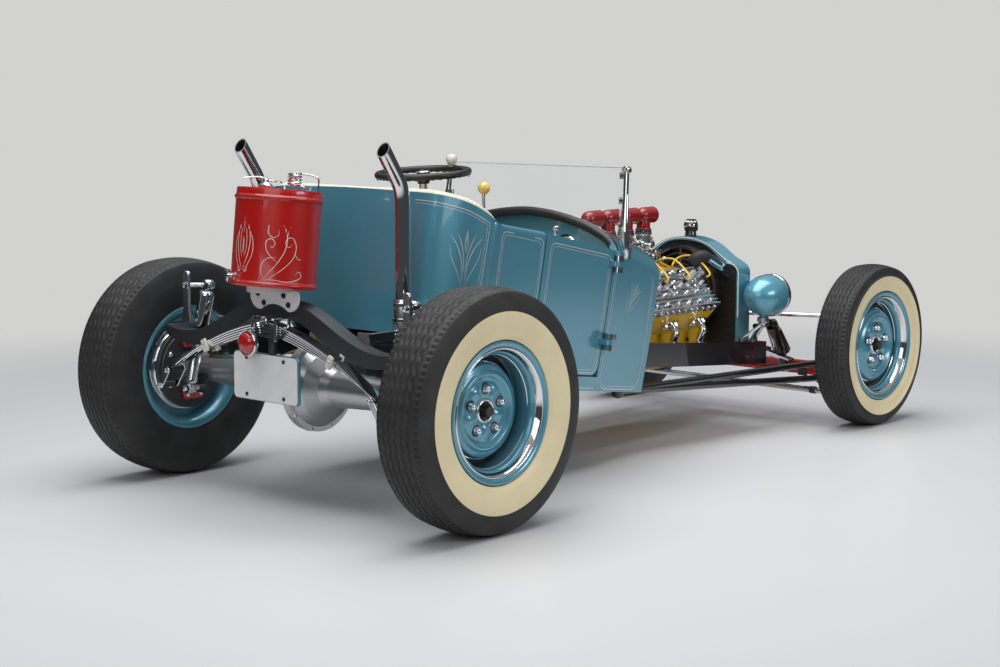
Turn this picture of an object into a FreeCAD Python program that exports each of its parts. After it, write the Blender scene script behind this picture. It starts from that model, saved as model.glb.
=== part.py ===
"""Street rod roadster: a two-seat open car on a ladder frame with an open V-eight.

Origin on the ground below the centre of the whole car.
+Z is up, the car faces -Y and its left side is +X.  Millimetres and degrees.
"""
import FreeCAD, Part
import math
import os

V = FreeCAD.Vector
X_AXIS = V(1, 0, 0)
Y_AXIS = V(0, 1, 0)
Z_AXIS = V(0, 0, 1)

# Whole car
WHEELBASE = 2540.0
REAR_TRACK = 1460.0
FRONT_TRACK = 1226.0
FIT = 0.3
RUN_GAP = 8.0
OVERRUN = 400.0

# Tyres and wheels
REAR_TYRE_R = 385.0
FRONT_TYRE_R = 332.0
REAR_TYRE_W = 195.0
FRONT_TYRE_W = 150.0
REAR_TREAD_W = 160.0
FRONT_TREAD_W = 116.0
TYRE_WALL = 13.0
RIM_R = 222.0
RIM_SEAT_R = 203.0
RIM_WELL_R = 180.0
RIM_LIP = 6.0
RIM_WALL = 4.0
REAR_RIM_W = 165.0
FRONT_RIM_W = 130.0
REAR_FACE_IN = 70.0
FRONT_FACE_IN = 38.0
DISC_WALL = 6.0
DISC_BOWL_R = 118.0
DISC_BOWL_RISE = 16.0
HUB_R = 42.0
HUB_NOSE_R = 26.0
HUB_NOSE_L = 30.0
LUG_CIRCLE_R = 69.85
LUG_R = 11.0
LUG_L = 18.0
LUGS = 5
DRUM_R = 150.0
DRUM_W = 56.0
DRUM_WALL = 9.0
DRUM_RIB = 5.0
DRUM_RIBS = 3
BACKING_R = 146.0
BACKING_T = 6.0
SPINDLE_R = 16.0

# Frame
RAIL_RAKE = 5.3
RAIL_H = 92.0
RAIL_W = 46.0
RAIL_TOP_Z = 423.0
RAIL_REF_Y = -161.5
RAIL_FRONT_Y = -985.0
RAIL_FRONT_X = 288.0
RAIL_WAIST_Y = -330.0
RAIL_WAIST_X = 330.0
CROSS_Y = 1399.5
CROSS_DEPTH = 60.0
CROSS_WALL = 5.0
CROSS_PEAK_Z = 685.0
CROSS_THICK = 60.0
CROSS_PEAK_HALF = 95.0
CROSS_SHOULDER_X = 296.0
CROSS_SHOULDER_Z = 596.0
CROSS_DIP_X = 414.0
CROSS_DIP_Z = 555.0
CROSS_END_X = 560.0
CROSS_END_Z = 563.0
CROSS_END_THICK = 34.0
MID_CROSS_Y = 520.0
MID_CROSS_R = 21.0
FRONT_CROSS_L = 70.0
FRONT_CROSS_H = 62.0

# Rear axle and suspension
TUBE_R = 38.0
BELL_R = 62.0
BANJO_R = 135.0
BANJO_W = 150.0
BANJO_LIP_R = 152.0
BANJO_LIP_W = 16.0
REAR_SPRING_W = 45.0
REAR_SPRING_LEAF = 8.0
REAR_SPRING_LEAVES = 5
REAR_SPRING_TOP_Z = 622.0
REAR_SPRING_END_Z = 415.0
REAR_SPRING_HALF = 500.0
SHACKLE_L = 70.0
SHACKLE_R = 11.0
SHOCK_R = 27.0
SHOCK_ROD_R = 20.0
REAR_SHOCK_TOP_X = 494.0
REAR_SHOCK_TOP_Y = 1297.5
REAR_SHOCK_TOP_Z = 693.0
REAR_SHOCK_LOW_X = 545.0
REAR_SHOCK_LOW_Y = 1345.0
REAR_SHOCK_LOW_Z = 330.0
SHOCK_EYE_R = 20.0
SHOCK_EYE_W = 32.0
SHOCK_PLATE_T = 8.0
SHOCK_PLATE_W = 54.0
TORQUE_TUBE_R = 34.0
REAR_ROD_R = 15.0
REAR_ROD_NOSE_Y = 420.0

# Front axle and suspension
AXLE_BEAM_Z = 206.0
AXLE_BEAM_H = 52.0
AXLE_BEAM_T = 44.0
AXLE_WEB_T = 13.0
AXLE_FLANGE_T = 12.0
KING_PIN_INSET = 108.0
AXLE_RISE_L = 35.0
AXLE_DROP_L = 70.0
AXLE_EYE_X = FRONT_TRACK / 2 - KING_PIN_INSET
AXLE_RISE_X = AXLE_EYE_X - AXLE_RISE_L
AXLE_DROP_X = AXLE_RISE_X - AXLE_DROP_L
AXLE_EYE_R = 24.0
AXLE_EYE_H = 80.0
KING_PIN_R = 11.0
YOKE_T = 15.0
YOKE_W = 40.0
STEER_ARM_L = 150.0
STEER_ARM_R = 10.0
STEER_ARM_Z = 150.0
DRAG_ARM_L = 120.0
BALL_END_R = 17.0
BALL_END_H = 34.0
TIE_ROD_R = 12.0
DRAG_LINK_R = 10.0
PITMAN_X = 150.0
PITMAN_OUT = 25.0
HAIRPIN_R = 14.0
HAIRPIN_REAR_X = 330.0
HAIRPIN_REAR_Y = 40.0
HAIRPIN_REAR_Z = 262.0
HAIRPIN_INSET = 103.0
HAIRPIN_FRONT_X = AXLE_EYE_X - HAIRPIN_INSET
HAIRPIN_SPREAD = 66.0
FRONT_SPRING_Y = -1130.0
FRONT_SPRING_Z = 318.0
FRONT_SPRING_END_Z = 262.0
FRONT_SPRING_INSET = 60.0
FRONT_SPRING_HALF = AXLE_DROP_X - FRONT_SPRING_INSET
PERCH_HALF = 55.0
PERCH_T = 26.0
FRONT_SPRING_W = 44.0
FRONT_SPRING_LEAF = 7.0
FRONT_SPRING_LEAVES = 5
FRONT_SHOCK_TOP_X = 252.0
FRONT_SHOCK_TOP_Y = -1110.0
FRONT_SHOCK_TOP_Z = 404.0
FRONT_SHOCK_LOW_X = 236.0

# Body, in its own frame: s runs rearwards and h upwards from the cowl's lower front edge
BODY_RAKE = 8.0
BODY_FRONT_Y = -54.5
BODY_LOW_Z = 250.0
BODY_WALL = 22.0
BODY_TUCK = 34.0
COWL_L = 298.0
DOOR_FRONT_S = 342.0
DOOR_REAR_S = 777.0
CORNER_S = 1086.0
BACK_S = 1250.0
COWL_HALF = 400.0
DASH_HALF = 437.0
DOOR_REAR_HALF = 485.0
CORNER_HALF = 500.0
COWL_SPRING_H = 437.0
COWL_CROWN_H = 595.0
DASH_SPRING_H = 505.0
DASH_CROWN_H = 650.0
DOOR_FRONT_H = 509.0
DOOR_REAR_H = 534.0
QUARTER_S = 1038.0
QUARTER_H = 542.0
CORNER_H = 562.0
BACK_H = 622.0
BACK_LOW_H = 153.0
RIM_SWELL = 6.0
KICK_START_S = 880.0
KICK_END_S = 1060.0
SILL_H = 52.0
DOOR_T = 30.0
DOOR_GAP = 5.5
DOOR_CURVE_R = 40.0
HINGE_X = 465.0
HINGE_R = 7.0
HINGE_PIN_R = 3.0
HINGE_PIN_FIT = 0.05
HINGE_L = 20.0
HINGE_LEAF_T = 4.0
HINGE_LEAF_REACH = 22.0
HINGE_LEAF_DEPTH = 40.0
HINGE_LOW_H = 150.0
HINGE_HIGH_H = 430.0
FLOOR_T = 8.0
FLOOR_H = 192.0
TUNNEL_GAP = 22.0
TUNNEL_L = 190.0
FIREWALL_S = 34.0
FIREWALL_T = 8.0
DASH_T = 20.0
DASH_H = 120.0
DASH_ROLL_R = 17.0
ROLL_R = 17.0
SEAT_FRONT_S = 640.0
SEAT_REAR_S = 1010.0
SEAT_HALF = 412.0
SEAT_T = 120.0
BACKREST_T = 110.0

# Windscreen
GLASS_S = 292.0
GLASS_TOP_H = 808.0
GLASS_HALF = 415.0
GLASS_LOW_H = 574.0
GLASS_T = 6.0
POST_R = 10.0

# Steering and controls
WHEEL_CENTRE_X = 200.0
WHEEL_CENTRE_Y = 525.5
WHEEL_CENTRE_Z = 1065.0
STEERING_R = 165.0
STEERING_GRIP_R = 12.0
STEERING_TILT = -4.0
COLUMN_R = 16.0
LEVER_KNOB_Y = 416.5
LEVER_KNOB_Z = 1014.0
LEVER_KNOB_R = 23.0
LEVER_R = 6.0

# Engine
ENGINE_FRONT_Y = -760.0
ENGINE_REAR_Y = -118.0
CRANK_Z = 395.0
BLOCK_HALF = 150.0
BANK_ANGLE = 45.0
DECK_OUT = 236.0
BANK_W = 190.0
HEAD_T = 46.0
HEAD_L = 560.0
HEAD_W = 190.0
FIN_T = 5.0
FIN_H = 14.0
FINS = 11
SUMP_DROP = 125.0
MANIFOLD_Z = 690.0
MANIFOLD_T = 36.0
MANIFOLD_HALF = 62.0
MANIFOLD_FOOT_HALF = 40.0
CARB_FIRST_Y = -201.5
CARB_PITCH = 115.0
CARBS = 4
CARB_R = 27.0
CARB_H = 118.0
SCOOP_R = 33.0
SCOOP_L = 60.0
SCOOP_Z = 872.0
PORT_PIPE_R = 16.0
COLLECTOR_R = 26.0
COLLECTOR_DROP = 75.0
HEADER_END_Y = 60.0
PULLEY_R = 80.0
PULLEY_L = 34.0
GEARBOX_R = 120.0
GEARBOX_L = 330.0
HOSE_R = 25.0
HOSE_TANK_X = 195.0
HOSE_TANK_Z = 636.0

# Radiator and lamps
SHELL_Y = -876.5
SHELL_DEPTH = 78.0
SHELL_HALF = 270.0
SHELL_LOW_Z = 352.0
SHELL_TOP_Z = 771.0
SHELL_SHOULDER_X = 246.0
SHELL_SHOULDER_Z = 676.0
SHELL_WALL = 14.0
SHELL_CORNER = 60.0
CORE_DEPTH = 54.0
GUARD_R = 170.0
GUARD_WIRE_R = 3.5
GUARD_RINGS = 8
GUARD_DEPTH = 40.0
GUARD_LIFT = 35.0
GUARD_SPOKES = 4
CAP_NECK_R = 21.0
CAP_R = 28.0
CAP_H = 44.0
CAP_KNOB_H = 25.0
LAMP_X = 358.0
LAMP_Y = -884.0
LAMP_Z = 545.0
LAMP_R = 84.0
LAMP_L = 150.0
LAMP_RIM_W = 18.0
LAMP_STAND_R = 12.0
STAND_GAP = 26.0

# Exhaust stacks
STACK_R = 25.0
STACK_WALL = 2.5
STACK_X = 340.0
STACK_Y = 1188.5
STACK_LOW_Z = 556.0
STACK_BEND_Z = 1070.0
STACK_TIP_Y = 1262.0
STACK_TIP_Z = 1187.0
STACK_BEND_R = 140.0
STACK_CLAMP_R = 31.0
STACK_CLAMP_Z = 568.0

# Fuel can, plate and tail lamp
CAN_R = 138.0
CAN_BEAD_R = 143.0
CAN_LOW_Y = 1440.5
CAN_LOW_Z = 730.0
CAN_H = 315.0
CAN_LEAN = 6.4
CAN_BEAD_W = 12.0
CAN_TOP_BEAD = 36.0
CAN_LID_R = 46.0
BAIL_R = 3.5
BAIL_RISE = 62.0
GRIP_L = 70.0
VALVE_TURN = 0.85
CAN_PLATE_HALF = 109.0
CAN_PLATE_H = 70.0
CAN_PLATE_T = 6.0
PLATE_W = 305.0
PLATE_H = 152.0
PLATE_T = 2.0
PLATE_Y = 1478.0
PLATE_Z = 437.0
PLATE_HOLE_R = 3.5
PLATE_HOLE_X = 177.8
PLATE_HOLE_Z = 120.65
PLATE_FRAME_W = 16.0
PLATE_FRAME_T = 12.0
PLATE_HANGER_X = 14.0
TAIL_LAMP_R = 41.0
TAIL_LAMP_X = 42.0
TAIL_LAMP_Z = 552.0

REAR_AXLE_Y = WHEELBASE / 2 - (REAR_TYRE_R - FRONT_TYRE_R) / 2
FRONT_AXLE_Y = REAR_AXLE_Y - WHEELBASE
REAR_SPRING_Y = CROSS_Y + CROSS_DEPTH / 2 + REAR_SPRING_W / 2 + FIT


def block(x0, x1, y0, y1, z0, z1):
    return Part.makeBox(x1 - x0, y1 - y0, z1 - z0, V(x0, y0, z0))


def rod(start, end, radius):
    return Part.makeCylinder(radius, start.distanceToPoint(end), start, end - start)


def taper(start, end, start_radius, end_radius):
    return Part.makeCone(start_radius, end_radius, start.distanceToPoint(end), start, end - start)


def ball(centre, radius):
    return Part.makeSphere(radius, centre)


def joined(shapes):
    """One solid of pieces that meet."""
    return shapes[0].fuse(list(shapes[1:])).removeSplitter()


def mirrored(shape):
    return shape.mirror(V(0, 0, 0), X_AXIS)


def pair(shape):
    """A piece of the left side and its like on the right, as separate solids."""
    return Part.makeCompound([shape, mirrored(shape)])


def face_of(points):
    return Part.Face(Part.makePolygon(list(points) + [points[0]]))


def turned(profile, origin, axis):
    """A solid of revolution: profile holds (along, radius) corners, along measured from origin."""
    face = face_of([V(radius, 0, along) for along, radius in profile])
    solid = face.revolve(V(0, 0, 0), Z_AXIS, 360)
    solid.Placement = FreeCAD.Placement(origin, FreeCAD.Rotation(Z_AXIS, axis))
    return solid


def path_wire(points, bend):
    """Straight runs through the points, joined by tangent arcs of the bend radius."""
    edges = []
    last = points[0]
    for before, corner, after in zip(points, points[1:], points[2:]):
        back = (before - corner).normalize()
        ahead = (after - corner).normalize()
        half = back.getAngle(ahead) / 2
        cut = bend / math.tan(half)
        middle = (back + ahead).normalize()
        enter = corner + back * cut
        leave = corner + ahead * cut
        crest = corner + middle * (bend / math.sin(half) - bend)
        edges.append(Part.LineSegment(last, enter).toShape())
        edges.append(Part.Arc(enter, crest, leave).toShape())
        last = leave
    edges.append(Part.LineSegment(last, points[-1]).toShape())
    return Part.Wire(edges)


def pipe(points, radius, bend):
    path = path_wire(points, bend)
    start = points[0]
    ring = Part.Wire(Part.makeCircle(radius, start, points[1] - start))
    return path.makePipeShell([ring], True, False)


def smooth(points):
    curve = Part.BSplineCurve()
    curve.interpolate(points)
    return curve.toShape()


def save(name, shape):
    os.makedirs("parts", exist_ok=True)
    if shape.ShapeType == "Compound" and len(shape.Solids) == 1:
        shape = shape.Solids[0]
    shape.exportStep("parts/" + name + ".step")


def tyre(name, centre, side, radius, width, tread, rim_width):
    """Hollow casing with round shoulders and an open bead; side is 1 on the left."""
    half = width / 2
    bead = rim_width / 2 - RIM_LIP - FIT
    belly = (radius + RIM_R) / 2
    shoulder = radius - TYRE_WALL
    outer = [
        (bead, RIM_SEAT_R + FIT),
        (bead, RIM_R + RIM_LIP),
        (half, belly),
        (half * SIDE_SHARE, shoulder - TYRE_WALL),
        (tread / 2 - TYRE_WALL / 2, radius),
    ]
    inner = [
        (tread / 2 - TYRE_WALL, radius - TYRE_WALL * 2),
        (bead - TYRE_WALL, RIM_SEAT_R + FIT),
    ]
    section = outer + [(-along, r) for along, r in reversed(outer)]
    section += [(-along, r) for along, r in reversed(inner)] + inner
    solid = turned(section, V(0, 0, 0), Z_AXIS)
    solid.Placement = FreeCAD.Placement(centre, FreeCAD.Rotation(Z_AXIS, X_AXIS * side))
    save(name, solid)


def wheel(name, centre, side, rim_width, face_in):
    """Steel wheel with its drop-centre rim, pressed centre, hub, lug nuts and ribbed drum."""
    out = rim_width / 2
    well = out * WELL_SHARE
    face = out - face_in
    rim = turned([
        (out, RIM_R),
        (out, RIM_R - RIM_WALL * 2),
        (out - RIM_LIP, RIM_SEAT_R - RIM_WALL),
        (well, RIM_WELL_R - RIM_WALL),
        (-well, RIM_WELL_R - RIM_WALL),
        (-out + RIM_LIP, RIM_SEAT_R - RIM_WALL),
        (-out, RIM_R - RIM_WALL * 2),
        (-out, RIM_R),
        (-out + RIM_LIP, RIM_R),
        (-out + RIM_LIP, RIM_SEAT_R),
        (-well - RIM_WALL, RIM_WELL_R),
        (well + RIM_WALL, RIM_WELL_R),
        (out - RIM_LIP, RIM_SEAT_R),
        (out - RIM_LIP, RIM_R),
    ], V(0, 0, 0), Z_AXIS)
    dish = face - DISC_BOWL_RISE
    bowl = face + DISC_BOWL_RISE
    crest_r = (DISC_BOWL_R + RIM_WELL_R) / 2
    disc = turned([
        (face, HUB_R),
        (face, LUG_CIRCLE_R + LUG_R * 2),
        (dish + DISC_BOWL_RISE, DISC_BOWL_R - DISC_BOWL_RISE),
        (bowl, DISC_BOWL_R),
        (bowl, crest_r),
        (dish, RIM_WELL_R - RIM_WALL / 2),
        (dish - DISC_WALL, RIM_WELL_R - RIM_WALL / 2),
        (bowl - DISC_WALL, crest_r - DISC_WALL),
        (bowl - DISC_WALL, DISC_BOWL_R + DISC_WALL),
        (face - DISC_WALL, DISC_BOWL_R - DISC_BOWL_RISE + DISC_WALL),
        (face - DISC_WALL, HUB_R),
    ], V(0, 0, 0), Z_AXIS)
    hub = turned([
        (face - DISC_WALL - DRUM_WALL, SPINDLE_R + FIT),
        (face - DISC_WALL - DRUM_WALL, HUB_R + FIT),
        (face, HUB_R + FIT),
        (face, HUB_R - DISC_WALL),
        (face + HUB_NOSE_L, HUB_NOSE_R),
        (face + HUB_NOSE_L, 0),
        (face, 0),
        (face, SPINDLE_R + FIT),
    ], V(0, 0, 0), Z_AXIS)
    nuts = []
    for number in range(LUGS):
        turn = 2 * math.pi * number / LUGS
        foot = V(LUG_CIRCLE_R * math.cos(turn), LUG_CIRCLE_R * math.sin(turn), face - DISC_WALL / 2)
        nuts.append(taper(foot, foot + Z_AXIS * (LUG_L + DISC_WALL / 2), LUG_R, LUG_R * NUT_TAPER_SHARE))
    drum_face = face - DISC_WALL - FIT
    drum_profile = [
        (drum_face, HUB_R + FIT * 2),
        (drum_face, DRUM_R - DRUM_WALL),
    ]
    step = (DRUM_W - DRUM_WALL) / (DRUM_RIBS * 2)
    for rib in range(DRUM_RIBS):
        near = drum_face - DRUM_WALL - step * 2 * rib
        drum_profile.append((near, DRUM_R))
        drum_profile.append((near - step, DRUM_R))
        drum_profile.append((near - step, DRUM_R + DRUM_RIB))
        drum_profile.append((near - step * 2 + FIT, DRUM_R + DRUM_RIB))
    drum_profile.append((drum_face - DRUM_W, DRUM_R))
    drum_profile.append((drum_face - DRUM_W, DRUM_R - DRUM_WALL))
    drum_profile.append((drum_face - DRUM_WALL, DRUM_R - DRUM_WALL * 2))
    drum_profile.append((drum_face - DRUM_WALL, HUB_R + FIT * 2))
    drum = turned(drum_profile, V(0, 0, 0), Z_AXIS)
    steel = joined([rim, disc, hub] + nuts)
    both = Part.makeCompound([steel, drum])
    both.Placement = FreeCAD.Placement(centre, FreeCAD.Rotation(Z_AXIS, X_AXIS * side))
    save(name, both)


WELL_SHARE = 0.42
SIDE_SHARE = 0.96
NUT_TAPER_SHARE = 0.75
for side, word in ((1, "left"), (-1, "right")):
    rear_centre = V(side * REAR_TRACK / 2, REAR_AXLE_Y, REAR_TYRE_R)
    front_centre = V(side * FRONT_TRACK / 2, FRONT_AXLE_Y, FRONT_TYRE_R)
    tyre("tyre_rear_" + word, rear_centre, side, REAR_TYRE_R, REAR_TYRE_W, REAR_TREAD_W, REAR_RIM_W)
    tyre("tyre_front_" + word, front_centre, side, FRONT_TYRE_R, FRONT_TYRE_W, FRONT_TREAD_W, FRONT_RIM_W)
    wheel("wheel_rear_" + word, rear_centre, side, REAR_RIM_W, REAR_FACE_IN)
    wheel("wheel_front_" + word, front_centre, side, FRONT_RIM_W, FRONT_FACE_IN)


def rail_top(y):
    """Height of the side rails' upper face, which climbs rearwards."""
    return RAIL_TOP_Z + (y - RAIL_REF_Y) * math.tan(math.radians(RAIL_RAKE))


RAIL_REAR_Y = CROSS_Y - CROSS_DEPTH / 2


def rail_section(x, y):
    top = rail_top(y)
    outer = Part.makePolygon([
        V(x - RAIL_W / 2, y, top - RAIL_H),
        V(x + RAIL_W / 2, y, top - RAIL_H),
        V(x + RAIL_W / 2, y, top),
        V(x - RAIL_W / 2, y, top),
        V(x - RAIL_W / 2, y, top - RAIL_H),
    ])
    return outer


def side_rail():
    """Box rail: parallel behind the waist, drawn in towards the radiator."""
    rear = Part.makeLoft([
        rail_section(RAIL_WAIST_X, RAIL_WAIST_Y),
        rail_section(RAIL_WAIST_X, RAIL_REAR_Y),
    ], True, True)
    nose = Part.makeLoft([
        rail_section(RAIL_FRONT_X, RAIL_FRONT_Y),
        rail_section(RAIL_WAIST_X, RAIL_WAIST_Y),
    ], True, True)
    return joined([rear, nose])


left_rail = side_rail()
save("frame_rail_left", left_rail)
save("frame_rail_right", mirrored(left_rail))


def front_crossmembers():
    """Crossmember at the nose with the forward perch of its spring, and a tube behind the gearbox."""
    high = rail_top(RAIL_FRONT_Y + FRONT_CROSS_L)
    inner = RAIL_FRONT_X - RAIL_W / 2 - FIT
    base = high - FRONT_CROSS_H
    half = FRONT_CROSS_L / 2
    y = RAIL_FRONT_Y + FRONT_CROSS_L
    top = SHELL_LOW_Z - FIT
    crown = FRONT_CROSS_H / 2
    profile = Part.Wire([
        Part.makeLine(V(-inner, y - half, base), V(-inner, y - half, top)),
        Part.makeLine(V(-inner, y - half, top), V(inner, y - half, top)),
        Part.makeLine(V(inner, y - half, top), V(inner, y - half, base)),
        Part.Arc(V(inner, y - half, base), V(0, y - half, base + crown), V(-inner, y - half, base)).toShape(),
    ])
    perch = block(-PERCH_HALF, PERCH_HALF, FRONT_SPRING_Y - FRONT_SPRING_W / 2, y,
                  FRONT_SPRING_Z + FIT, FRONT_SPRING_Z + FIT + PERCH_T)
    front = joined([Part.Face(profile).extrude(V(0, FRONT_CROSS_L, 0)), perch])
    middle_z = rail_top(MID_CROSS_Y) - MID_CROSS_R
    reach = RAIL_WAIST_X - RAIL_W / 2 - FIT
    middle = rod(V(-reach, MID_CROSS_Y, middle_z), V(reach, MID_CROSS_Y, middle_z), MID_CROSS_R)
    return Part.makeCompound([front, middle])


save("front_crossmembers", front_crossmembers())


def cross_curve(drop, end_drop, y):
    """Half of the arched crossmember's edge, from the crown down to the dip and out."""
    return [
        V(0, y, CROSS_PEAK_Z - drop),
        V(CROSS_PEAK_HALF, y, CROSS_PEAK_Z - drop * ARCH_SIDE_SHARE - CROSS_WALL),
        V(CROSS_SHOULDER_X - drop * ARCH_LEAN_SHARE, y, CROSS_SHOULDER_Z - drop * ARCH_SIDE_SHARE),
        V(CROSS_DIP_X, y, CROSS_DIP_Z - end_drop * ARCH_DIP_SHARE),
        V(CROSS_END_X, y, CROSS_END_Z - end_drop),
    ]


ARCH_SIDE_SHARE = 0.95
ARCH_LEAN_SHARE = 0.45
ARCH_DIP_SHARE = 1.5


def rear_crossmember():
    """Arched channel, open to the front, that rises over the spring."""
    y = CROSS_Y + CROSS_DEPTH / 2
    top = cross_curve(0, 0, y)
    low = cross_curve(CROSS_THICK, CROSS_END_THICK, y)

    def whole(points):
        return smooth([V(-p.x, p.y, p.z) for p in reversed(points[1:])] + points)

    upper = whole(top)
    lower = whole(low)
    wire = Part.Wire([
        upper,
        Part.makeLine(top[-1], low[-1]),
        lower,
        Part.makeLine(V(-low[-1].x, y, low[-1].z), V(-top[-1].x, y, top[-1].z)),
    ])
    solid = Part.Face(wire).extrude(V(0, -CROSS_DEPTH, 0))
    inner_top = cross_curve(CROSS_WALL, CROSS_WALL, y)
    inner_low = cross_curve(CROSS_THICK - CROSS_WALL, CROSS_END_THICK - CROSS_WALL, y)
    pocket_wire = Part.Wire([
        whole(inner_top),
        Part.makeLine(inner_top[-1], inner_low[-1]),
        whole(inner_low),
        Part.makeLine(V(-inner_low[-1].x, y, inner_low[-1].z), V(-inner_top[-1].x, y, inner_top[-1].z)),
    ])
    pocket = Part.Face(pocket_wire).extrude(V(0, -CROSS_DEPTH, 0))
    pocket.translate(V(0, -CROSS_WALL, 0))
    keep = block(-CROSS_PEAK_HALF, CROSS_PEAK_HALF, y - CROSS_DEPTH, y, 0, CROSS_PEAK_Z)
    return solid.cut(pocket.cut(keep)).removeSplitter()


save("rear_crossmember", rear_crossmember())

HUB_FACE_X = REAR_TRACK / 2 + REAR_RIM_W / 2 - REAR_FACE_IN
REAR_BACKING_X = HUB_FACE_X - DISC_WALL - DRUM_W - FIT - RUN_GAP


def rear_axle():
    """Banjo housing with a bolted lip, tapered tubes, bells, backing plates and stub shafts."""
    centre = V(0, REAR_AXLE_Y, REAR_TYRE_R)
    stub_end = HUB_FACE_X - DISC_WALL - DRUM_WALL - FIT
    half = [
        (BANJO_LIP_W, BANJO_LIP_R),
        (BANJO_LIP_W, BANJO_R),
        (BANJO_W * BANJO_W_SHARE, BANJO_R * BANJO_R_SHARES[0]),
        (BANJO_W / 2, BANJO_R * BANJO_R_SHARES[1]),
        (BANJO_W / 2 + BELL_R / 2, BELL_R),
        (REAR_BACKING_X - BELL_R, TUBE_R),
        (REAR_BACKING_X - BELL_R, BELL_R),
        (REAR_BACKING_X - BACKING_T, BELL_R),
        (REAR_BACKING_X - BACKING_T, BACKING_R),
        (REAR_BACKING_X, BACKING_R),
        (REAR_BACKING_X, SPINDLE_R),
        (stub_end, SPINDLE_R),
        (stub_end, 0),
    ]
    parts = [turned([(-along, radius) for along, radius in reversed(half)] + half, centre, X_AXIS)]
    nose = taper(centre, centre - Y_AXIS * (BANJO_LIP_R + BELL_R), BELL_R + TUBE_R / 2, BELL_R)
    parts.append(nose)
    return joined(parts)


BANJO_W_SHARE = 0.3
BANJO_R_SHARES = (0.86, 0.55)
save("rear_axle", rear_axle())


def leaf_pack(y, half, top_z, end_z, width, leaf, leaves):
    """Transverse spring: arched leaves that shorten downwards from the long top leaf."""
    stack = []
    drop = top_z - end_z
    for number in range(leaves):
        share = 1 - number * LEAF_STEP_SHARE
        reach = half * share
        fall = drop * (share * ARCH_FALL_SHARES[0] + share * share * ARCH_FALL_SHARES[1])
        middle = drop * (share * ARCH_FALL_SHARES[0] / 2 + share * share * ARCH_FALL_SHARES[1] / 4)
        lift = -number * leaf

        def edge(shift):
            return [
                V(-reach, y - width / 2, top_z - fall + lift + shift),
                V(-reach / 2, y - width / 2, top_z - middle + lift + shift),
                V(0, y - width / 2, top_z + lift + shift),
                V(reach / 2, y - width / 2, top_z - middle + lift + shift),
                V(reach, y - width / 2, top_z - fall + lift + shift),
            ]
        upper = edge(0)
        lower = edge(-leaf - FIT / 2)
        wire = Part.Wire([
            smooth(upper),
            Part.makeLine(upper[-1], lower[-1]),
            smooth(lower),
            Part.makeLine(lower[0], upper[0]),
        ])
        stack.append(Part.Face(wire).extrude(V(0, width, 0)))
    return joined(stack)


LEAF_STEP_SHARE = 0.13
ARCH_FALL_SHARES = (0.35, 0.65)


def shackles(y, half, end_z, width):
    """A hanging pair of shackle plates with two bolts at each end of a spring."""
    made = []
    reach = width / 2 + SHACKLE_R
    for side in (1, -1):
        top = V(side * (half - SHACKLE_R), y, end_z)
        low = top + V(side * SHACKLE_L * SHACKLE_SHARES[0], 0, -SHACKLE_L * SHACKLE_SHARES[1])
        for spot in (top, low):
            made.append(rod(spot - Y_AXIS * reach, spot + Y_AXIS * reach, SHACKLE_R))
        for face in (-reach, reach - SHACKLE_R / 2):
            along = (low - top)
            across = along.cross(Y_AXIS).normalize() * SHACKLE_R
            shift = V(0, face, 0)
            plate = face_of([top + across + shift, low + across + shift,
                             low - across + shift, top - across + shift])
            made.append(plate.extrude(V(0, SHACKLE_R / 2, 0)))
    return made


SHACKLE_SHARES = (0.55, 0.8)


def rear_spring():
    leaves = leaf_pack(REAR_SPRING_Y, REAR_SPRING_HALF, REAR_SPRING_TOP_Z, REAR_SPRING_END_Z,
                       REAR_SPRING_W, REAR_SPRING_LEAF, REAR_SPRING_LEAVES)
    return joined([leaves] + shackles(REAR_SPRING_Y, REAR_SPRING_HALF, REAR_SPRING_END_Z, REAR_SPRING_W))


rear_spring_shape = rear_spring()
save("rear_spring", rear_spring_shape)


def shock(top, low):
    """Telescopic damper with an eye at each end; the dust tube is the wider upper half."""
    along = (low - top).normalize()
    length = top.distanceToPoint(low)
    waist = top + along * length * SHOCK_WAIST_SHARE
    return [
        rod(top + along * SHOCK_EYE_R / 2, waist, SHOCK_R),
        rod(waist, low - along * SHOCK_EYE_R / 2, SHOCK_ROD_R),
        rod(top - Y_AXIS * SHOCK_EYE_W / 2, top + Y_AXIS * SHOCK_EYE_W / 2, SHOCK_EYE_R),
        rod(low - Y_AXIS * SHOCK_EYE_W / 2, low + Y_AXIS * SHOCK_EYE_W / 2, SHOCK_EYE_R),
    ]


SHOCK_WAIST_SHARE = 0.55


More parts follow.
